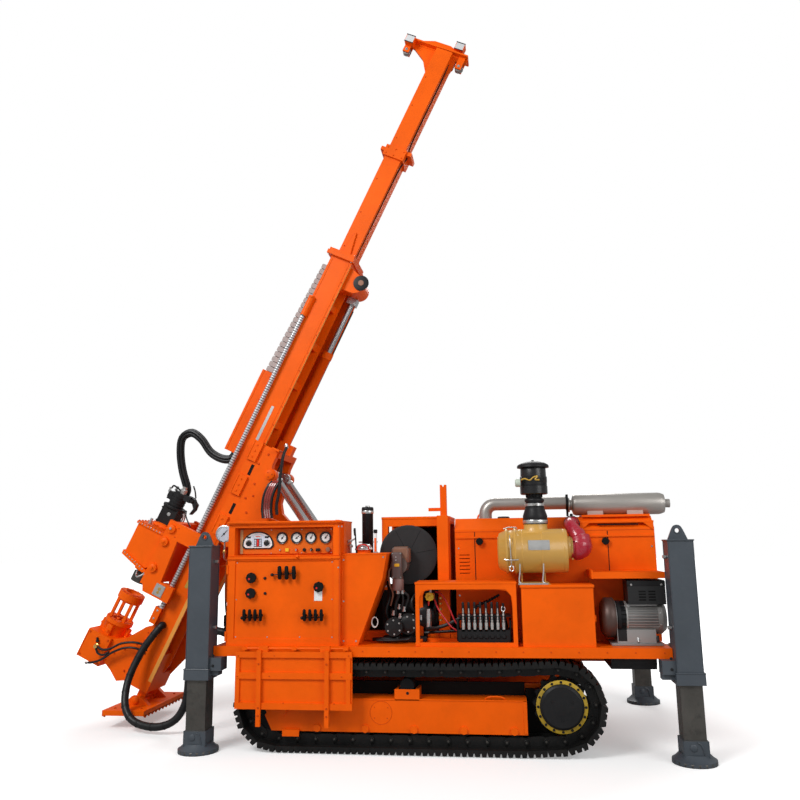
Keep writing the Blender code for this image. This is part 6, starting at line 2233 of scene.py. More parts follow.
def build_door_trim():
    """Latches, hinges and louvres of the far service doors."""
    for word, low, high, hinge_x in HOOD_DOORS:
        door = Piece(f"door_trim_{word}", f"hood_door_{word}", "orange_paint")
        face = 0.7692
        latch = high - 0.05 if hinge_x == low else low + 0.05
        door.box((latch - 0.022, face, 1.29), (latch + 0.022, face + 0.012, 1.39), "black", 0.005)
        door.box((latch - 0.012, face + 0.010, 1.31), (latch + 0.012, face + 0.020, 1.37), "black", 0.004)
        for z in (1.08, 1.58):
            door.rod((hinge_x, DOOR_HINGE[0], z - 0.04), (hinge_x, DOOR_HINGE[0], z + 0.04), 0.0095,
                     "orange", 12)
        for k in range(7):
            z = 1.20 + 0.030 * k
            cx = (low + high) / 2
            door.prism([(cx - 0.16, z - 0.005), (cx + 0.16, z - 0.005), (cx + 0.16, z + 0.005),
                        (cx - 0.16, z + 0.005)], face, face + 0.006,
                       "orange", bevel=0.002)
        x0, x1 = low + 0.004, high - 0.004
        door.box((x0, face - 0.001, 1.008), (x1, face + 0.003, 1.020), "orange", 0.001)
        door.box((x0, face - 0.001, 1.660), (x1, face + 0.003, 1.672), "orange", 0.001)
        door.done()


def build_engine_details():
    block = Piece("engine_details", "chassis", "grey_casting")
    for k in range(4):
        x = 1.45 + 0.22 * k
        block.box((x, -0.30, 1.5502), (x + 0.16, 0.10, 1.62), "casting", 0.012)
        block.bolts([(x + 0.08, -0.20, 1.62), (x + 0.08, 0.0, 1.62)], UP, 0.012, "steel")
        block.tube([(x + 0.08, 0.36, 1.40), (x + 0.08, 0.42, 1.38), (x + 0.08, 0.44, 1.30)], 0.03,
                   "worn_steel", 12, 4)
    block.rod((1.45, 0.44, 1.28), (2.25, 0.44, 1.28), 0.045, "worn_steel", 18)
    block.rod((1.6, 0.3602, 1.05), (1.6, 0.52, 1.05), 0.055, "black", 20)
    block.rod((1.85, 0.3602, 1.02), (1.85, 0.50, 1.02), 0.045, "white", 20)
    block.done()


def build_cleaner_trim():
    """Bands, clips and label of the air cleaner."""
    piece = Piece("cleaner_trim", "chassis", "tan_paint")
    x, y, z = CLEANER
    for lo, r in ((0.138, 0.1905), (0.068, 0.1880)):
        piece.lathe((x + lo, y, z), REAR, [(r - 0.008, -0.004), (r, -0.002), (r, 0.010),
                                           (r - 0.008, 0.012)], "tan", 48)
    piece.lathe((x, y, z), REAR, [(0, -0.004), (0.10, -0.004), (0.118, -0.001), (0.118, 0.004)], "tan", 40)
    for lo in (0.20, 0.36, 0.54):
        piece.lathe((x + lo, y, z), REAR, [(0.1797, -0.004), (0.1815, -0.001), (0.1815, 0.003),
                                           (0.1797, 0.006)], "tan", 48)
    for turn_by in (200, 320, 80):
        a = math.radians(turn_by)
        cy, cz = math.cos(a), math.sin(a)
        piece.tube([(x + 0.05, y + cy * 0.187, z + cz * 0.187), (x + 0.09, y + cy * 0.200, z + cz * 0.200),
                    (x + 0.15, y + cy * 0.198, z + cz * 0.198),
                    (x + 0.165, y + cy * 0.190, z + cz * 0.190)], 0.005, "steel", 8, 4)
    link = [(x + 0.105, y - 0.176, z - 0.09), (x + 0.100, y - 0.187, z + 0.08),
            (x + 0.10, y - 0.16, z + 0.13)]
    piece.tube(link, 0.0045, "steel", 8, 5)
    piece.tube(hoop(x + 0.106, y - 0.165, z - 0.137, 0.017, 0.022), 0.004, "steel", 6, 0)
    piece.tube([(x + 0.106, y - 0.165, z - 0.115), (x + 0.105, y - 0.178, z - 0.08)], 0.004, "steel", 6, 0)
    sheet = []
    for k in range(9):
        a = math.radians(183 + 26 * k / 8)
        sheet.append((y + math.cos(a) * 0.1812, z + math.sin(a) * -0.1812))
    back = [(y + (a - y) * 1.006, z + (b - z) * 1.006) for a, b in reversed(sheet)]
    piece.prism(sheet + back, 1.493, 1.666, "label", axis="x", bevel=0.0)
    for px in (1.503, 1.656):
        for k in (1, 7):
            piece.bolt((px, sheet[k][0] - 0.0012, sheet[k][1]), FRONT, 0.004, "steel")
    piece.done()


def build_cleaner_feet():
    y = CLEANER[1]
    legs = Piece("cleaner_feet", "chassis", "bright_steel")
    for lx in (1.41, 1.60):
        legs.tube([(lx + 0.01, y - 0.165, 1.475), (lx + 0.006, y - 0.165, 1.40),
                   (lx - 0.002, y - 0.165, 1.335), (lx + 0.02, y - 0.165, 1.318)],
                  0.006, "aluminium", 8, 4)
        legs.box((lx - 0.012, y - 0.185, 1.3077), (lx + 0.06, y + 0.11, 1.314), "tan", 0.002)
    legs.box((1.40, y - 0.19, 1.3077), (1.64, y - 0.155, 1.322), "steel", 0.002)
    legs.box((1.402, y - 0.12, 1.314), (1.652, y + 0.12, 1.322), "tan", 0.002)
    legs.done()


def build_pre_cleaner_trim():
    """Bands, bowl and lid of the pre-cleaner."""
    y = CLEANER[1]
    stack = Piece("pre_cleaner_trim", "chassis", "black_parts")
    base = Vector(PRE_CLEANER)
    stack.lathe(base, UP, [(0.103, 0.006), (0.1045, 0.010), (0.1045, 0.030), (0.103, 0.034)], "steel", 32)
    stack.lathe(base, UP, [(0.067, 0.150), (0.0835, 0.152), (0.0835, 0.172), (0.067, 0.174)], "steel", 32)
    stack.box((1.545, y - 0.118, 1.806), (1.585, y - 0.096, 1.824), "steel", 0.003)
    stack.box((1.550, y - 0.096, 1.949), (1.580, y - 0.078, 1.966), "steel", 0.003)
    for k in range(14):
        a = 2 * math.pi * k / 14
        c, s = math.cos(a), math.sin(a)
        stack.tube([base + Vector((c * 0.0665, s * 0.0665, 0.225)),
                    base + Vector((c * 0.0685, s * 0.0685, 0.285))], 0.004, "matt_black", 5, 0)
    bowl = [(0.070, 0.2480), (0.108, 0.2495), (0.1150, 0.256), (0.1150, 0.318), (0.1100, 0.322),
            (0.1100, 0.345), (0.1140, 0.350), (0.1140, 0.396), (0.1085, 0.400), (0.1065, 0.470),
            (0.105, 0.474)]
    stack.lathe(base, UP, bowl, "dial_black", 40)
    lid = [(0.0, 0.530), (0.03, 0.530), (0.06, 0.526), (0.105, 0.514), (0.128, 0.500), (0.1345, 0.490),
           (0.1345, 0.476), (0.110, 0.4745)]
    stack.lathe(base, UP, lid, "black", 40)
    stack.lathe(base + Vector((0, 0, 0.524)), UP, [(0, 0.018), (0.010, 0.017), (0.013, 0.006), (0.013, 0)],
                "black", 12)
    stack.lathe((1.452, y - 0.075, 2.140), (-1, 0, 0),
                [(0, 0.045), (0.028, 0.043), (0.034, 0.034), (0.034, 0.0), (0, 0.0)], "pale_green", 20)
    stack.tube([(1.46, y - 0.098, 2.165), (1.49, y - 0.112, 2.172), (1.53, y - 0.119, 2.158),
                (1.56, y - 0.120, 2.182), (1.595, y - 0.116, 2.190), (1.575, y - 0.119, 2.163),
                (1.61, y - 0.112, 2.160)], 0.0065, "gold", 6, 4)
    stack.done()


def build_elbow_trim():
    elbow = Piece("elbow_trim", "chassis", "bright_steel")
    bulge = [(1.8453, -0.87, 1.595), (1.880, -0.87, 1.590), (1.912, -0.868, 1.600), (1.925, -0.86, 1.635),
             (1.915, -0.845, 1.68),
             (1.898, -0.82, 1.72), (1.880, -0.79, 1.755), (1.868, -0.76, 1.780), (1.868, -0.72, 1.795),
             (1.88, -0.6803, 1.80)]
    elbow.tube(bulge, 0.0835, "crimson", 24, 4, [1.0, 1.16, 1.22, 1.12, 0.86, 0.68, 0.64, 0.64, 0.68, 0.74])
    elbow.lathe((1.815, -0.87, 1.60), REAR, [(0.080, 0), (0.090, 0.001), (0.0905, 0.010), (0.084, 0.014)],
                "tan", 32)
    elbow.lathe((1.846, -0.87, 1.60), REAR, [(0.084, 0), (0.0875, 0.001), (0.0875, 0.013), (0.084, 0.014)],
                "brass", 32)
    elbow.rod((1.852, -0.945, 1.508), (1.852, -0.925, 1.512), 0.008, "brass", 8)
    elbow.lathe((1.88, -0.700, 1.80), (0, 1, 0), [(0.062, 0), (0.0675, 0.001), (0.0675, 0.014),
                                                  (0.062, 0.015)], "black", 28)
    elbow.box((1.868, -0.702, 1.862), (1.892, -0.684, 1.884), "black", 0.003)
    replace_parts(elbow.done(), "intake_elbow")


def build_muffler_trim():
    piece = Piece("muffler_trim", "chassis", "bright_steel")
    x, y, z = MUFFLER
    shell = [(0.046, -0.004), (0.086, 0.010), (0.0945, 0.030), (0.0945, 0.745), (0.091, 0.765),
             (0.080, 0.792), (0.037, 0.800)]
    piece.lathe((x, y, z), REAR, shell, "stainless", 64)
    piece.lathe((x + 0.842, y, z), REAR, [(0.036, -0.045), (0.038, -0.004), (0.038, 0.0), (0.030, 0.001),
                                          (0.028, -0.01)], "stainless", 28)
    for fx in (2.04, 2.38):
        piece.box((fx - 0.006, y - 0.075, 1.8605), (fx + 0.131, y + 0.075, 1.925), "foot_metal", 0.003)
    piece.lathe((1.855, y, PIPE_Z), REAR, [(0.057, 0), (0.063, 0.001), (0.063, 0.022), (0.057, 0.023)],
                "black", 28)
    piece.box((1.858, y - 0.022, 2.040), (1.878, y + 0.022, 2.062), "black", 0.003)
    piece.box((1.858, y - 0.022, 1.868), (1.876, y + 0.010, 1.935), "black", 0.003)
    piece.done()


def build_muffler_rack():
    rack = Piece("muffler_rack", "chassis", "orange_paint")
    for gx in (1.95, 2.553):
        rack.prism([(-0.655, 1.765), (-0.60, 1.765), (-0.60, 1.812), (-0.655, 1.812)], gx, gx + 0.012,
                   "orange", axis="x")
    rack.box((1.945, -0.66, 1.800), (2.568, -0.585, 1.818), "orange", 0.003)
    rack.prism([(1.95, 1.800), (2.03, 1.800), (1.95, 1.735)], -0.660, -0.650, "orange")
    rack.prism([(2.565, 1.800), (2.48, 1.800), (2.565, 1.735)], -0.660, -0.650, "orange")
    rack.box((2.10, -0.6585, 1.782), (2.44, -0.6505, 1.792), "matt_black", 0.002)
    rack.done()


def build_generator_details():
    piece = Piece("generator_details", "chassis", "grey_casting")
    x, y, z = GENERATOR
    # Fins, left out where the terminals and the feet are
    fins = [a for a in evenly(36) if -0.8 <= math.sin(a) <= 0.75]
    for spot in around((x + 0.20, y, z), 0.1265, fins, "x"):
        piece.tube([spot, (x + 0.445, spot[1], spot[2])], 0.0028, "aluminium", 5, 0)
    piece.lathe((x, y, z), REAR, [(0.126, 0.12), (0.134, 0.122), (0.134, 0.148), (0.127, 0.15)], "black",
                36)
    for _, cy, cz in around(GENERATOR, 0.129, evenly(24), "x"):
        piece.box((x + 0.150, cy - 0.003, cz - 0.003), (x + 0.186, cy + 0.003, cz + 0.003), "matt_black",
                  0.001)
    piece.lathe((x, y, z), REAR, [(0.127, 0.188), (0.131, 0.190), (0.131, 0.200), (0.127, 0.202)],
                "aluminium", 40)
    piece.lathe((x, y, z), REAR, [(0.127, 0.435), (0.131, 0.437), (0.131, 0.470), (0.10, 0.506),
                                  (0.04, 0.513), (0, 0.513)], "casting", 40)
    piece.bolts(around((x + 0.028, y, z), 0.142, evenly(10, 0.5), "x"), (-1, 0, 0), 0.007, "steel")
    piece.bolts(around((x + 0.095, y, z), 0.148, evenly(10, 0.5), "x"), REAR, 0.007, "steel")
    for a in (200, 160):
        c, s = math.cos(math.radians(a)), math.sin(math.radians(a))
        piece.bolt((x + 0.452, y + c * 0.131, z + s * 0.131), (0, c, s), 0.006, "steel")
    piece.rod((x + 0.27, y - 0.09, 0.905), (x + 0.27, y - 0.12, 0.855), 0.010, "steel", 10)
    piece.rod((x + 0.42, y - 0.10, 0.90), (x + 0.42, y - 0.12, 0.86), 0.012, "black", 10)
    piece.box((x + 0.06, y - 0.13, 0.8256), (x + 0.46, y + 0.13, 0.845), "casting", 0.004)
    face = y - 0.1202
    piece.box((2.268, face - 0.003, 1.285), (2.566, face + 0.25, 1.334), "black", 0.006)
    for bx in (2.30, 2.535):
        piece.bolt((bx, face - 0.003, 1.30), FRONT, 0.007, "steel")
    for k in range(4):
        piece.box((2.355, face - 0.003, 1.175 + 0.022 * k), (2.41, face + 0.002, 1.186 + 0.022 * k),
                  "matt_black", 0.001)
        piece.box((2.43, face - 0.003, 1.175 + 0.022 * k), (2.485, face + 0.002, 1.186 + 0.022 * k),
                  "matt_black", 0.001)
    piece.box((2.37, y - 0.06, 1.3335), (2.45, y - 0.02, 1.337), "brown_motor", 0.001)
    piece.done()


build_hood_trim()
build_door_trim()
build_engine_details()
build_cleaner_trim()
build_cleaner_feet()
build_pre_cleaner_trim()
build_elbow_trim()
build_muffler_trim()
build_muffler_rack()
build_generator_details()

# Mast and what tilts with it


def mast_piece(name, body, slot):
    return Piece(name, body, slot, MAST)


def build_mast_trim():
    piece = mast_piece("mast_trim", "mast", "orange_paint")
    for side in (-1, 1):
        y = side * 0.2101
        low, high = sides(side, 0.2101, 0.2141)
        piece.box((-0.449, low, -2.30), (-0.425, high, 2.25), "orange", 0.0015)
        piece.box((-0.262, low, -2.25), (-0.238, high, 2.25), "orange", 0.0015)
        for k in range(22):
            z = -2.15 + 0.20 * k
            piece.bolt((-0.2275, y, z), (0, side, 0), 0.0055, "deep_orange")
    for k in range(5):
        a = -0.23 + 0.115 * k
        piece.bolt((-0.475, a, 2.3195), UP, 0.008, "steel")
        piece.bolts([(-0.475, a, 2.2805), (-0.222, a, 2.2805)], DOWN, 0.008, "steel")
    for side in (-1, 1):
        for z in (-1.74, -1.66):
            piece.bolt((-0.455, side * 0.266, z + 0.03), (0, side, 0), 0.008, "steel")
        piece.lathe((GUIDE_ROD[0], side * 0.24, 1.78), UP,
                    [(0, 0.022), (0.020, 0.021), (0.026, 0.014), (0.026, 0.0)], "orange", 18)
    piece.done()


def build_guide_rod_trim():
    rods = mast_piece("guide_rods", "mast", "bright_steel")
    x, y, _ = GUIDE_ROD
    for side in (-1, 1):
        rods.rod((x, side * y, -1.61), (x, side * y, 1.585), 0.0205, "worn_steel", 24, edge=0.0005)
        for k in range(127):
            z = -1.60 + 0.025 * k
            rods.lathe((x, side * y, z), UP, [(0.0205, 0), (0.0236, 0.002), (0.0236, 0.0175),
                                              (0.0205, 0.0195)],
                       "rod_bright", 14)
    rods.done()


def build_mast_rear_trim():
    rear_trim_and_highlights = mast_piece("mast_rear_trim", "mast", "orange_paint")
    for z, tall in MAST_WINDOWS:
        rear_trim_and_highlights.box((-0.222, -0.192, z - 0.012), (-0.2145, -0.030, z), "orange", 0.002)
        rear_trim_and_highlights.box((-0.222, -0.192, z + tall), (-0.2145, -0.030, z + tall + 0.012), "orange", 0.002)
    for k in range(24):
        z = -1.90 + 0.16 * k
        rear_trim_and_highlights.box((-0.121, 0.2101, z), (-0.113, 0.2135, z + 0.09), "black", 0.001)
    rear_trim_and_highlights.tube([(-0.118, 0.196, -1.90), (-0.112, 0.196, 0.0), (-0.112, 0.196, 1.90)], 0.008, "rubber", 8, 6)
    rear_trim_and_highlights.box((-0.330, -0.2115, -0.02), (-0.300, -0.2098, 0.62), "label", 0.001)
    rear_trim_and_highlights.box((-0.330, -0.2115, -1.335), (-0.298, -0.2098, -1.100), "gold", 0.001)
    # Light ochre strips along the mast's rear corners are painted highlights, where the corners catch the
    # light
    rear_trim_and_highlights.box((-0.252, -0.2155, -2.26), (-0.2140, -0.2098, -1.02), "ochre", 0.001)
    rear_trim_and_highlights.box((-0.138, 0.172, -1.97), (-0.1120, 0.2095, -1.00), "ochre", 0.001)
    rear_trim_and_highlights.box((-0.2175, -0.2098, -0.98), (-0.2125, -0.1880, 2.24), "ochre", 0.001)
    rear_trim_and_highlights.done()


def build_slide_rods():
    slide = mast_piece("slide_rods", "mast", "bright_steel")
    x, y = SLIDE_CYLINDER
    for dy in (-0.022, 0.022):
        slide.rod((x, y + dy, 1.365), (x, y + dy, 1.945), 0.013, "rod_steel", 16)
    slide.lathe((-0.05, -0.165, 2.13), FRONT, [(0, 0.0), (0.075, 0.0), (0.080, 0.004), (0.080, 0.010),
                                               (0.055, 0.014), (0, 0.014)], "black", 28)
    slide.lathe((-0.05, -0.179, 2.13), FRONT, [(0, 0.004), (0.028, 0.003), (0.030, 0.0)], "brown_motor", 18)
    slide.done()


def build_chain():
    """Energy chain on the mast's front face: side plates, bars and the hoses in it."""
    piece = mast_piece("chain_links", "mast", "grey_casting")
    z0, z1, count = 0.9303, 2.20, 22
    step = (z1 - z0) / count
    for k in range(count):
        z = z0 + step * k
        out = -0.610 + 0.060 * k / count
        for side in (-1, 1):
            low, high = sides(side, 0.056, 0.064)
            shift = 0.003 * side if k % 2 else 0.0
            outline = [(-0.4515, z + 0.003), (out + 0.008, z + 0.003), (out, z + step * 0.20),
                       (out, z + step * 0.84), (out + 0.010, z + step * 0.97), (-0.4515, z + step * 0.97)]
            piece.prism(outline, low + shift, high + shift, "chain_grey", bevel=0.0015)
            piece.lathe(((out - 0.4515) / 2, side * 0.064 + shift, z + step * 0.5), (0, side, 0),
                        [(0, 0.003), (0.010, 0.002), (0.012, 0.0)], "chain_grey", 12)
        piece.box((out + 0.001, -0.058, z + step * 0.08), (out + 0.010, 0.058, z + step * 0.86),
                  "chain_grey", 0.002)
    piece.prism([(-0.570, z0), (-0.452, z0), (-0.452, z1 - 0.03), (-0.520, z1 - 0.03)], -0.052, 0.052,
                "matt_black", bevel=0.002)
    for y in (-0.030, -0.005, 0.022):
        piece.tube([(-0.535, y, 0.90), (-0.53, y, 1.3), (-0.515, y, 1.7), (-0.50, y, 2.17)], 0.011,
                   "rubber", 8, 4)
    piece.done()


def build_trough():
    trough = mast_piece("trough_trim", "mast", "orange_paint")
    for side in (-1, 1):
        low, high = sides(side, 0.075, 0.079)
        trough.box((-0.636, low, 0.03), (-0.612, high, 0.93), "orange", 0.0015)
        for z in (0.10, 0.36, 0.62, 0.88):
            trough.bolt((-0.53, side * 0.0752, z), (0, side, 0), 0.007, "deep_orange")
    trough.done()


def build_bracket_bolts():
    piece = mast_piece("bracket_bolts", "mast_bracket", "orange_paint")
    for side in (-1, 1):
        out = (0, side, 0)
        face = side * 0.3302
        piece.bolts([(-0.10, face, 0.17), (-0.10, face, -0.14), (-0.12, face, -0.30), (-0.05, face, -0.42),
                     (0.02, face, -0.52),
                     (-0.15, face, -0.58), (-0.15, face, 0.05), (-0.06, face, -0.25)], out, 0.010,
                    "deep_orange")
        piece.lathe((0, side * 0.3452, 0), out, [(0, 0.004), (0.040, 0.003), (0.046, 0.0)], "orange", 28)
        piece.bolts(around((0, side * 0.348, 0), 0.025, (0.5, 2.6, 4.7)), out, 0.006, "deep_orange")
        piece.lathe((0.35, side * 0.3302, -0.45), out,
                    [(0.046, 0), (0.075, 0.0), (0.075, 0.008), (0.046, 0.010)], "orange", 32)
        for z in (-0.70, -0.28, 0.08):
            low, high = sides(side, 0.3552, 0.3612)
            for k in range(3):
                piece.bolt((-0.235, side * 0.3552, z + 0.01 + 0.06 * k), out, 0.009, "orange")
            piece.box((-0.28, low, z - 0.02), (-0.27, high, z + 0.16), "orange", 0.002)
        for z in (-0.09, -0.50):
            low, high = sides(side, 0.322, 0.3315)
            piece.box((-0.211, low, z), (-0.178, high, z + 0.11), "matt_black", 0.002)
    piece.done()


def build_bracket_hoses():
    """Hoses that hang beside the bracket, and the clip that holds them."""
    # These lines are in the rig's measures
    outer = [(-0.754, -0.37, 2.569), (-0.780, -0.40, 2.47), (-0.802, -0.40, 2.30), (-0.812, -0.40, 2.15),
             (-0.835, -0.40, 2.02), (-0.83, -0.40, 1.93)]
    inner = [(-0.880, -0.38, 2.250), (-0.915, -0.40, 2.21), (-0.955, -0.41, 2.11), (-0.968, -0.41, 1.99),
             (-0.958, -0.41, 1.90)]
    fittings = [(-0.765, -0.36, 2.60), (-0.752, -0.37, 2.555)]
    back = MAST.inverted()

    def moved(line, dx, dy=0.0):
        return [back @ Vector((x + dx, y + dy, z)) for x, y, z in line]

    hoses = mast_piece("bracket_hoses", "mast_bracket", "black_parts")
    for k in range(4):
        hoses.tube(moved(outer, 0.010 * k, -0.024 * k), 0.0115, "rubber", 8, 6)
    for k in range(5):
        finish = "clear_hose" if k in (1, 2, 3) else "rubber"
        hoses.tube(moved(inner, 0.022 * k), 0.0125, finish, 8, 6)
    for k in range(4):
        hoses.rod(*moved(fittings, 0.010 * k, -0.024 * k), 0.012, "steel", 10)
    hoses.box((-0.06, -0.44, 0.235), (0.02, -0.33, 0.255), "orange", 0.003)
    hoses.done()


def build_head_bolts():
    """Bolts, bosses and fittings of the rotary head."""
    piece = mast_piece("head_bolts", "head", "orange_paint")
    for k in range(9):
        x = -1.015 + 0.035 * k
        piece.bolt((x, -0.288, -0.949), UP, 0.008, "deep_orange")
        piece.bolt((x, 0.208, -0.949), UP, 0.008, "deep_orange")
    for k in range(8):
        y = -0.27 + 0.065 * k
        piece.bolt((-1.028, y, -0.949), UP, 0.008, "deep_orange")
    for k in range(8):
        x, z = -1.01 + 0.034 * k, -1.293 - 0.0095 * k
        piece.bolt((x, -0.2955, z + 0.014), FRONT, 0.0055, "steel")
        piece.bolt((x, -0.2955, -0.9625), FRONT, 0.0055, "steel")
    for k, (x, z) in enumerate(HINGE_KNUCKLES):
        piece.lathe((x, -0.3452, z), FRONT, [(0, 0.008), (0.022, 0.007), (0.030, 0.002), (0.034, 0.0)],
                    "orange", 20)
        piece.lathe((x, -0.3525, z), FRONT, [(0, 0.010), (0.012, 0.009), (0.014, 0.0)], "steel" if k == 0
                    else "orange", 8)
        piece.lathe((x, -0.262, z), FRONT, [(0.042, 0), (0.048, 0.003), (0.048, 0.016), (0.042, 0.018)],
                    "orange", 20)
    piece.bolts([(-0.60, -0.3202, -0.93), (-0.60, -0.3202, -0.84), (-0.36, -0.3202, -0.93),
                 (-0.36, -0.3202, -0.84)], FRONT, 0.006, "deep_orange")
    piece.prism([(-0.560, -1.388), (-0.460, -1.388), (-0.460, -1.502), (-0.560, -1.502)], -0.3245, -0.3195,
                "label", bevel=0.002)
    piece.bolts([(-0.545, -0.3245, -1.402), (-0.475, -0.3245, -1.402), (-0.545, -0.3245, -1.488),
                 (-0.475, -0.3245, -1.488)], FRONT, 0.006, "steel")
    piece.lathe((-0.51, -0.3245, -1.43), FRONT, [(0, 0.003), (0.016, 0.002), (0.017, 0.0)], "brass", 16)
    piece.lathe((-0.51, -0.3245, -1.465), FRONT, [(0, 0.003), (0.014, 0.002), (0.015, 0.0)], "brass", 16)
    piece.lathe((-0.95, -0.20, -0.9495), UP, [(0, 0), (0.020, 0), (0.020, 0.018), (0.014, 0.024),
                                              (0.014, 0.06), (0, 0.062)], "steel", 14)
    piece.lathe((-0.98, 0.10, -0.9495), UP, [(0, 0), (0.016, 0), (0.016, 0.03), (0.010, 0.036), (0, 0.038)],
                "steel", 12)
    piece.lathe((SPINDLE_X, 0, -0.9495), UP, [(0.086, 0), (0.125, 0), (0.128, 0.006), (0.118, 0.028),
                                              (0.100, 0.040), (0.086, 0.042)], "orange", 36)
    angles = [a + 0.4 for a in evenly(8)]
    piece.bolts(around((SPINDLE_X, 0, -0.915), 0.108, angles, "z"), UP, 0.009, "orange")
    piece.tube([(-0.76, -0.17, -1.375), (-0.80, -0.18, -1.43), (-0.83, -0.18, -1.46), (-0.86, -0.16, -1.45),
                (-0.87, -0.15, -1.42)], 0.009, "steel", 8, 4)
    piece.lathe((-0.80, -0.05, -1.35), DOWN, [(0, 0), (0.030, 0), (0.030, 0.03), (0.018, 0.04),
                                              (0.018, 0.06), (0, 0.06)], "orange", 14)
    piece.done()


def build_motor_details():
    """Rings, fittings and hoses of the head's motor."""
    motor = mast_piece("motor_details", "head", "black_parts")
    for k in range(7):
        motor.lathe((SPINDLE_X, 0, -0.80 + 0.030 * k), UP,
                    [(0.078, 0), (0.082, 0.003), (0.082, 0.010), (0.078, 0.013)], "black", 24)
    motor.lathe((SPINDLE_X, 0, -0.715), DOWN, [(0.10, 0), (0.118, 0.0), (0.120, 0.01), (0.118, 0.022),
                                               (0.10, 0.024)], "black", 28)
    motor.bolts([(-0.955, -0.0855, -0.76), (-0.785, -0.0855, -0.76), (-0.955, -0.0855, -0.90),
                 (-0.785, -0.0855, -0.90)], FRONT, 0.008, "black")
    motor.lathe((-0.86, -0.0852, -0.80), FRONT, [(0, 0.006), (0.018, 0.005), (0.020, 0.0)], "steel", 14)
    motor.box((-0.99, -0.04, -0.655), (-0.955, 0.04, -0.60), "black", 0.006)
    motor.lathe((-0.985, -0.02, -0.605), (-0.3, 0, 1),
                [(0, 0), (0.018, 0), (0.018, 0.02), (0.012, 0.024), (0.012, 0.05), (0, 0.05)], "steel", 6,
                flat=True)
    motor.lathe((-0.950, 0.025, -0.575), (0.1, 0, 1),
                [(0, 0), (0.018, 0), (0.018, 0.02), (0.012, 0.024), (0.012, 0.05), (0, 0.05)], "steel", 6,
                flat=True)
    motor.lathe((-0.84, -0.02, -0.562), (-0.1, -0.2, 1),
                [(0, 0), (0.036, 0), (0.038, 0.006), (0.038, 0.045), (0.026, 0.052), (0.026, 0.075),
                 (0, 0.075)],
                "aluminium", 20)
    motor.bolt((-0.84, -0.055, -0.53), FRONT, 0.014, "steel")
    motor.tube([(-0.985, -0.02, -0.56), (-0.97, -0.03, -0.53), (-0.92, -0.03, -0.535),
                (-0.86, -0.03, -0.55)], 0.009, "rubber", 8, 5)
    motor.tube([(-0.76, 0, -0.565), (-0.70, -0.01, -0.57), (-0.665, -0.01, -0.62), (-0.67, -0.01, -0.70)],
               0.013, "rubber", 8, 5)
    motor.box((-0.80, -0.045, -0.615), (-0.70, 0.045, -0.575), "black", 0.008)
    motor.prism([(-0.70, -0.575), (-0.655, -0.60), (-0.65, -0.66), (-0.675, -0.72), (-0.69, -0.72),
                 (-0.675, -0.655), (-0.71, -0.615)],
                -0.03, 0.03, "black", bevel=0.003)
    motor.tube([(-0.78, -0.02, -0.45), (-0.74, -0.02, -0.49), (-0.70, -0.02, -0.55)], 0.008, "rubber", 8, 4)
    motor.tube([(-0.72, -0.05, -0.70), (-0.68, -0.10, -0.74), (-0.60, -0.16, -0.78), (-0.55, -0.20, -0.80)],
               0.007, "rubber", 8, 4)
    for k in range(2):
        motor.tube([(-0.79 + 0.02 * k, 0.03, -0.72), (-0.755 + 0.02 * k, 0.04, -0.80),
                    (-0.775 + 0.02 * k, 0.04, -0.88), (-0.78 + 0.02 * k, 0.03, -0.945)],
                   0.007, "steel", 8, 4)
    motor.done()


def build_clamp_trim():
    piece = mast_piece("clamp_details", "mast", "orange_paint")
    x = SPINDLE_X
    piece.bolts(around((x, 0, -1.665), 0.112, evenly(12), "z"), UP, 0.007, "deep_orange")
    piece.bolts(around((x, 0, -1.9395), 0.122, evenly(12), "z"), UP, 0.008, "deep_orange")
    piece.lathe((x, 0, -1.665), UP, [(0.070, -0.002), (0.094, 0.0), (0.096, 0.006), (0.074, 0.008),
                                     (0.070, 0.004)], "orange", 36)
    piece.lathe((x, 0, -1.735), DOWN, [(0.07, 0.0), (0.118, 0.0), (0.120, 0.010), (0.10, 0.022),
                                       (0.07, 0.024)], "orange", 36)
    for k in range(4):
        a = math.radians(90 * k)
        c, s = math.cos(a), math.sin(a)
        piece.box((x + c * 0.126 - 0.03, s * 0.126 - 0.03, -2.11),
                  (x + c * 0.126 + 0.03, s * 0.126 + 0.03, -1.99), "orange", 0.008, ("Z", 90 * k))
        piece.bolt((x + c * 0.158, s * 0.158, -2.05), (c, s, 0), 0.014, "orange")
    for spot in around((x, 0, -1.935), 0.05, evenly(6, 0.5), "z"):
        piece.ball(spot, 0.018, "orange", (1, 1, 0.7), 10)
    for side in (-1, 1):
        face = side * 0.2102
        piece.bolts([(-1.005, face, -2.115), (-0.80, face, -2.115), (-1.005, face, -2.345),
                     (-0.80, face, -2.345)], (0, side, 0), 0.009, "deep_orange")
        low, high = sides(side, 0.2102, 0.216)
        piece.box((-1.030, low, -2.11), (-1.02, high, -2.37), "orange", 0.002)
    piece.box((-1.0325, -0.16, -2.33), (-1.026, 0.16, -2.13), "orange", 0.003)
    piece.bolts([(-0.62, -0.1702, -2.12), (-0.53, -0.1702, -2.02), (-0.53, -0.1702, -2.30),
                 (-0.70, -0.1702, -2.20)], FRONT, 0.010, "deep_orange")
    for k in range(6):
        piece.bolt((-0.475, -0.1702, -1.88 - 0.085 * k), FRONT, 0.007, "deep_orange")
    piece.done()


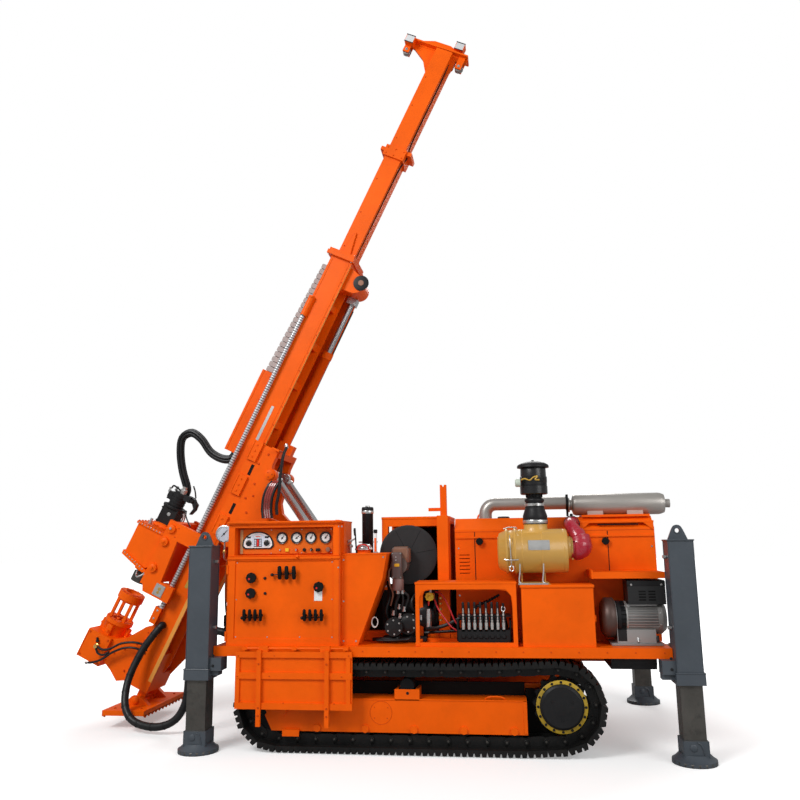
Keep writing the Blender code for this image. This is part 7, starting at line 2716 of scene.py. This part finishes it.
def build_clamp_hoses():
    hoses = Piece("clamp_hoses", "mast", "black_parts")
    hoses.lathe((-2.66, -0.212, 0.708), FRONT, [(0, 0), (0.026, 0), (0.026, 0.022), (0.018, 0.026),
                                                (0.018, 0.05), (0, 0.052)], "brass", 12)
    hoses.lathe((-2.655, -0.225, 0.745), (-0.2, 0, 1),
                [(0, 0), (0.016, 0), (0.016, 0.02), (0.010, 0.024), (0.010, 0.045), (0, 0.046)], "black",
                12)
    hoses.tube([(-2.64, -0.245, 0.705), (-2.58, -0.262, 0.680), (-2.50, -0.262, 0.690),
                (-2.40, -0.255, 0.735), (-2.28, -0.24, 0.745), (-2.19, -0.22, 0.72),
                (-2.15, -0.20, 0.66)], 0.011, "rubber", 10, 6)
    hoses.tube([(-2.751, -0.215, 0.552), (-2.70, -0.235, 0.556), (-2.60, -0.25, 0.585),
                (-2.48, -0.255, 0.655), (-2.36, -0.25, 0.695), (-2.25, -0.24, 0.690),
                (-2.17, -0.21, 0.64)], 0.011, "rubber", 10, 6)
    hoses.lathe((-2.775, -0.2105, 0.55), (0.7, -0.7, 0.05),
                [(0, 0), (0.013, 0), (0.013, 0.016), (0.010, 0.02), (0.010, 0.04), (0, 0.04)], "steel", 10)
    hoses.tube([(-2.66, -0.245, 0.69), (-2.63, -0.255, 0.645), (-2.57, -0.255, 0.63), (-2.52, -0.25, 0.66)],
               0.010, "rubber", 8, 4)
    hoses.lathe((-2.00, -0.175, 0.90), FRONT, [(0, 0), (0.044, 0), (0.044, 0.028), (0.036, 0.034),
                                               (0, 0.0345)], "worn_steel", 20)
    hoses.done()


def build_foot_details():
    piece = Piece("foot_trim", "ground_foot", "orange_paint")
    x, _, z = FOOT_AXIS
    for side in (-1, 1):
        piece.lathe((x, side * 0.2352, z), (0, side, 0), [(0, 0.006), (0.028, 0.005), (0.034, 0.0)],
                    "orange", 20)
        for dx in (-0.13, 0.13):
            piece.bolt((x + dx, side * 0.36, z - 0.050), UP, 0.012, "deep_orange")
    for dx in (-0.208, 0.198):
        piece.box((x + dx - 0.002, -0.450, z - 0.10), (x + dx + 0.002, 0.450, z - 0.055), "orange", 0.001)
    piece.box((x - 0.212, -0.4505, z - 0.060), (x + 0.202, 0.4505, z - 0.0485), "orange", 0.003)
    piece.done()


def build_crown_trim():
    piece = mast_piece("crown_trim", "mast", "orange_paint")
    for side in (-1, 1):
        low, high = sides(side, 0.022, 0.028)
        piece.prism([(-0.80, 4.862), (-0.10, 4.862), (-0.10, 4.884), (-0.80, 4.884)], low, high, "orange",
                    bevel=0.001)
        for z in (3.545, 3.615):
            for x in (-0.44, -0.35, -0.255):
                piece.bolt((x, side * 0.1302, z), (0, side, 0), 0.009, "orange")
        for z in (2.45, 2.85, 3.25, 3.75, 4.15, 4.50):
            piece.bolt((-0.41, side * 0.1052, z), (0, side, 0), 0.006, "deep_orange")
        for _, x in SHEAVES:
            piece.bolt((x, side * 0.0455, SHEAVE_Z), (0, side, 0), 0.013, "steel")
    for k in range(5):
        y = -0.21 + 0.105 * k
        piece.bolt((-0.475, y, 2.3505), UP, 0.010, "steel")
        piece.bolt((-0.225, y, 2.3505), UP, 0.010, "steel")
    piece.tube([(-0.255, -0.05, 2.36), (-0.248, -0.05, 3.4), (-0.222, -0.05, 3.60), (-0.248, -0.05, 3.8),
                (-0.248, -0.05, 4.6), (-0.28, -0.04, 4.86)],
               0.007, "rubber", 6, 6)
    piece.done()


def build_crown_lamps():
    lamps = mast_piece("crown_lamps", "mast", "black_parts")
    for x, z, near in ((-0.755, 4.852, -0.120), (-0.23, 4.985, -0.055)):
        face = near + 0.001
        lamps.box((x - 0.046, face - 0.0035, z - 0.036), (x + 0.046, face + 0.002, z + 0.036), "lamp_glass",
                  0.003)
        for low in (z - 0.044, z + 0.036):
            lamps.box((x - 0.053, face - 0.008, low), (x + 0.053, face, low + 0.008), "black", 0.002)
        for k in range(5):
            fin = x - 0.040 + 0.018 * k
            lamps.box((fin, near + 0.099, z - 0.034), (fin + 0.006, near + 0.111, z + 0.034), "black",
                      0.001)
    lamps.rod((-0.23, 0, 4.91), (-0.23, 0, 4.945), 0.012, "black", 10)
    lamps.tube([(-0.72, -0.03, 4.888), (-0.66, 0.04, 4.91), (-0.50, 0.05, 4.915), (-0.36, 0.05, 4.88),
                (-0.349, 0.03, 4.855), (-0.335, 0.00, 4.75),
                (-0.352, -0.01, 4.67), (-0.362, -0.01, 4.652)], 0.006, "rubber", 6, 5)
    lamps.tube([(-0.27, 0.03, 4.965), (-0.31, 0.04, 4.93), (-0.345, 0.04, 4.88)], 0.006, "rubber", 6, 4)
    lamps.done()


def build_sheave_trim():
    for word, x in SHEAVES:
        sheave = mast_piece(f"sheave_detail_{word}", f"crown_sheave_{word}", "grey_casting")
        for side in (-1, 1):
            low = side * 0.0222
            sheave.lathe((x, low, SHEAVE_Z), (0, side, 0),
                         [(0.013, 0), (0.022, 0.0), (0.022, 0.003), (0.013, 0.004)], "steel", 20)
            sheave.lathe((x, low, SHEAVE_Z), (0, side, 0),
                         [(0.040, 0.0), (0.0455, 0.0), (0.0455, 0.002), (0.040, 0.002)], "casting", 24)
        sheave.done()


def build_tilt_details():
    foot = Vector((TILT_FOOT[0], 0, TILT_FOOT[2]))
    top = Vector((TILT_EYE[0], 0, TILT_EYE[2]))
    along = (top - foot).normalized()
    for side, word in SIDES:
        y = Vector((0, side * TILT_FOOT[1], 0))
        barrel = Piece(f"tilt_barrel_trim_{word}", f"tilt_barrel_{word}", "orange_paint")
        start = foot + y
        barrel.lathe(start + along * 0.988, along,
                     [(0.060, 0), (0.069, 0.002), (0.069, 0.030), (0.0675, 0.034), (0.0675, 0.078),
                      (0.060, 0.084),
                                                     (0.042, 0.085)], "orange", 28)
        barrel.lathe(start + along * 0.10, along, [(0.058, 0), (0.066, 0.003), (0.066, 0.03),
                                                   (0.058, 0.034)], "orange", 28)
        for d in (0.14, 0.96):
            barrel.rod(start + along * d + Vector((0.05, 0, 0.03)),
                       start + along * d + Vector((0.085, 0, 0.052)), 0.013, "steel", 10)
        a = start + along * 0.14 + Vector((0.085, 0, 0.052))
        b = start + along * 0.96 + Vector((0.085, 0, 0.052))
        barrel.tube([a, a + along * 0.04 + Vector((0.012, 0, 0.008)),
                     a.lerp(b, 0.5) + Vector((0.008, 0, 0.006)),
                     b - along * 0.04 + Vector((0.012, 0, 0.008)), b],
                    0.007, "steel", 8, 5)
        for s in (-1, 1):
            barrel.bolt(start + Vector((0, s * 0.052, 0)), (0, s, 0), 0.02, "orange")
        barrel.done()
        shaft = Piece(f"tilt_rod_trim_{word}", f"tilt_rod_{word}", "bright_steel")
        shaft.lathe(top + y - along * 0.085, along,
                    [(0.040, 0), (0.050, 0.006), (0.050, 0.030), (0.044, 0.036)], "steel", 24)
        for s in (-1, 1):
            shaft.lathe(top + y + Vector((0, s * 0.0422, 0)), (0, s, 0),
                        [(0.026, 0), (0.040, 0.0), (0.040, 0.004), (0.026, 0.005)], "steel", 24)
        shaft.done()


build_mast_trim()
build_guide_rod_trim()
build_mast_rear_trim()
build_slide_rods()
build_chain()
build_trough()
build_bracket_bolts()
build_bracket_hoses()
build_head_bolts()
build_motor_details()
build_clamp_trim()
build_clamp_hoses()
build_foot_details()
build_crown_trim()
build_crown_lamps()
build_sheave_trim()
build_tilt_details()

# Floor and light


def stage():
    mesh = bpy.data.meshes.new("floor")
    mesh.from_pydata([(-60, -60, 0), (60, -60, 0), (60, 60, 0), (-60, 60, 0)], [], [(0, 1, 2, 3)])
    floor = bpy.data.objects.new("floor", mesh)
    floor.location.z = -0.0005
    scene.collection.objects.link(floor)
    mat = bpy.data.materials.new("floor")
    mat.use_nodes = True
    tree = mat.node_tree
    tree.nodes.clear()
    out = node(tree, "ShaderNodeOutputMaterial")
    diffuse = node(tree, "ShaderNodeBsdfDiffuse", Color=(0.80, 0.80, 0.80, 1))
    glow = node(tree, "ShaderNodeEmission", Color=(1, 1, 1, 1))
    place = node(tree, "ShaderNodeTexCoord").outputs["Object"]
    away = node(tree, "ShaderNodeVectorMath", operation="LENGTH")
    tree.links.new(place, away.inputs[0])
    tree.links.new(ranged(tree, away.outputs["Value"], 0.30, 1.0, 2.6, 5.5), glow.inputs["Strength"])
    total = node(tree, "ShaderNodeAddShader")
    plain = node(tree, "ShaderNodeBsdfDiffuse", Color=(0.45, 0.45, 0.45, 1))
    rays = node(tree, "ShaderNodeLightPath")
    pick = node(tree, "ShaderNodeMixShader")
    tree.links.new(diffuse.outputs[0], total.inputs[0])
    tree.links.new(glow.outputs[0], total.inputs[1])
    tree.links.new(rays.outputs["Is Camera Ray"], pick.inputs[0])
    tree.links.new(plain.outputs[0], pick.inputs[1])
    tree.links.new(total.outputs[0], pick.inputs[2])
    tree.links.new(pick.outputs[0], out.inputs[0])
    mesh.materials.append(mat)
    world = bpy.data.worlds.new("studio")
    scene.world = world
    world.use_nodes = True
    tree = world.node_tree
    tree.nodes.clear()
    out = node(tree, "ShaderNodeOutputWorld")
    seen = node(tree, "ShaderNodeBackground", Color=(1, 1, 1, 1), Strength=1.0)
    light = node(tree, "ShaderNodeBackground", Color=(1, 1, 1, 1), Strength=0.42)
    rays = node(tree, "ShaderNodeLightPath")
    either = node(tree, "ShaderNodeMath", operation="MAXIMUM")
    pick = node(tree, "ShaderNodeMixShader")
    tree.links.new(rays.outputs["Is Camera Ray"], either.inputs[0])
    tree.links.new(rays.outputs["Is Transmission Ray"], either.inputs[1])
    tree.links.new(either.outputs[0], pick.inputs[0])
    tree.links.new(light.outputs[0], pick.inputs[1])
    tree.links.new(seen.outputs[0], pick.inputs[2])
    tree.links.new(pick.outputs[0], out.inputs[0])


def lamp(name, spot, target, size, power):
    data = bpy.data.lights.new(name, "AREA")
    data.shape = "SQUARE"
    data.size = size
    data.energy = power
    obj = bpy.data.objects.new(name, data)
    scene.collection.objects.link(obj)
    obj.location = spot
    obj.rotation_euler = (Vector(target) - Vector(spot)).to_track_quat("-Z", "Y").to_euler()


stage()
lamp("key", (-5.0, -8.5, 9.0), (0.2, 0, 1.2), 4.0, 900)
lamp("fill", (8.0, -7.0, 5.0), (0.5, 0, 1.5), 5.0, 300)
lamp("back", (1.0, 9.0, 9.0), (0, 0, 2.5), 5.0, 450)
scene.view_settings.view_transform = "Standard"
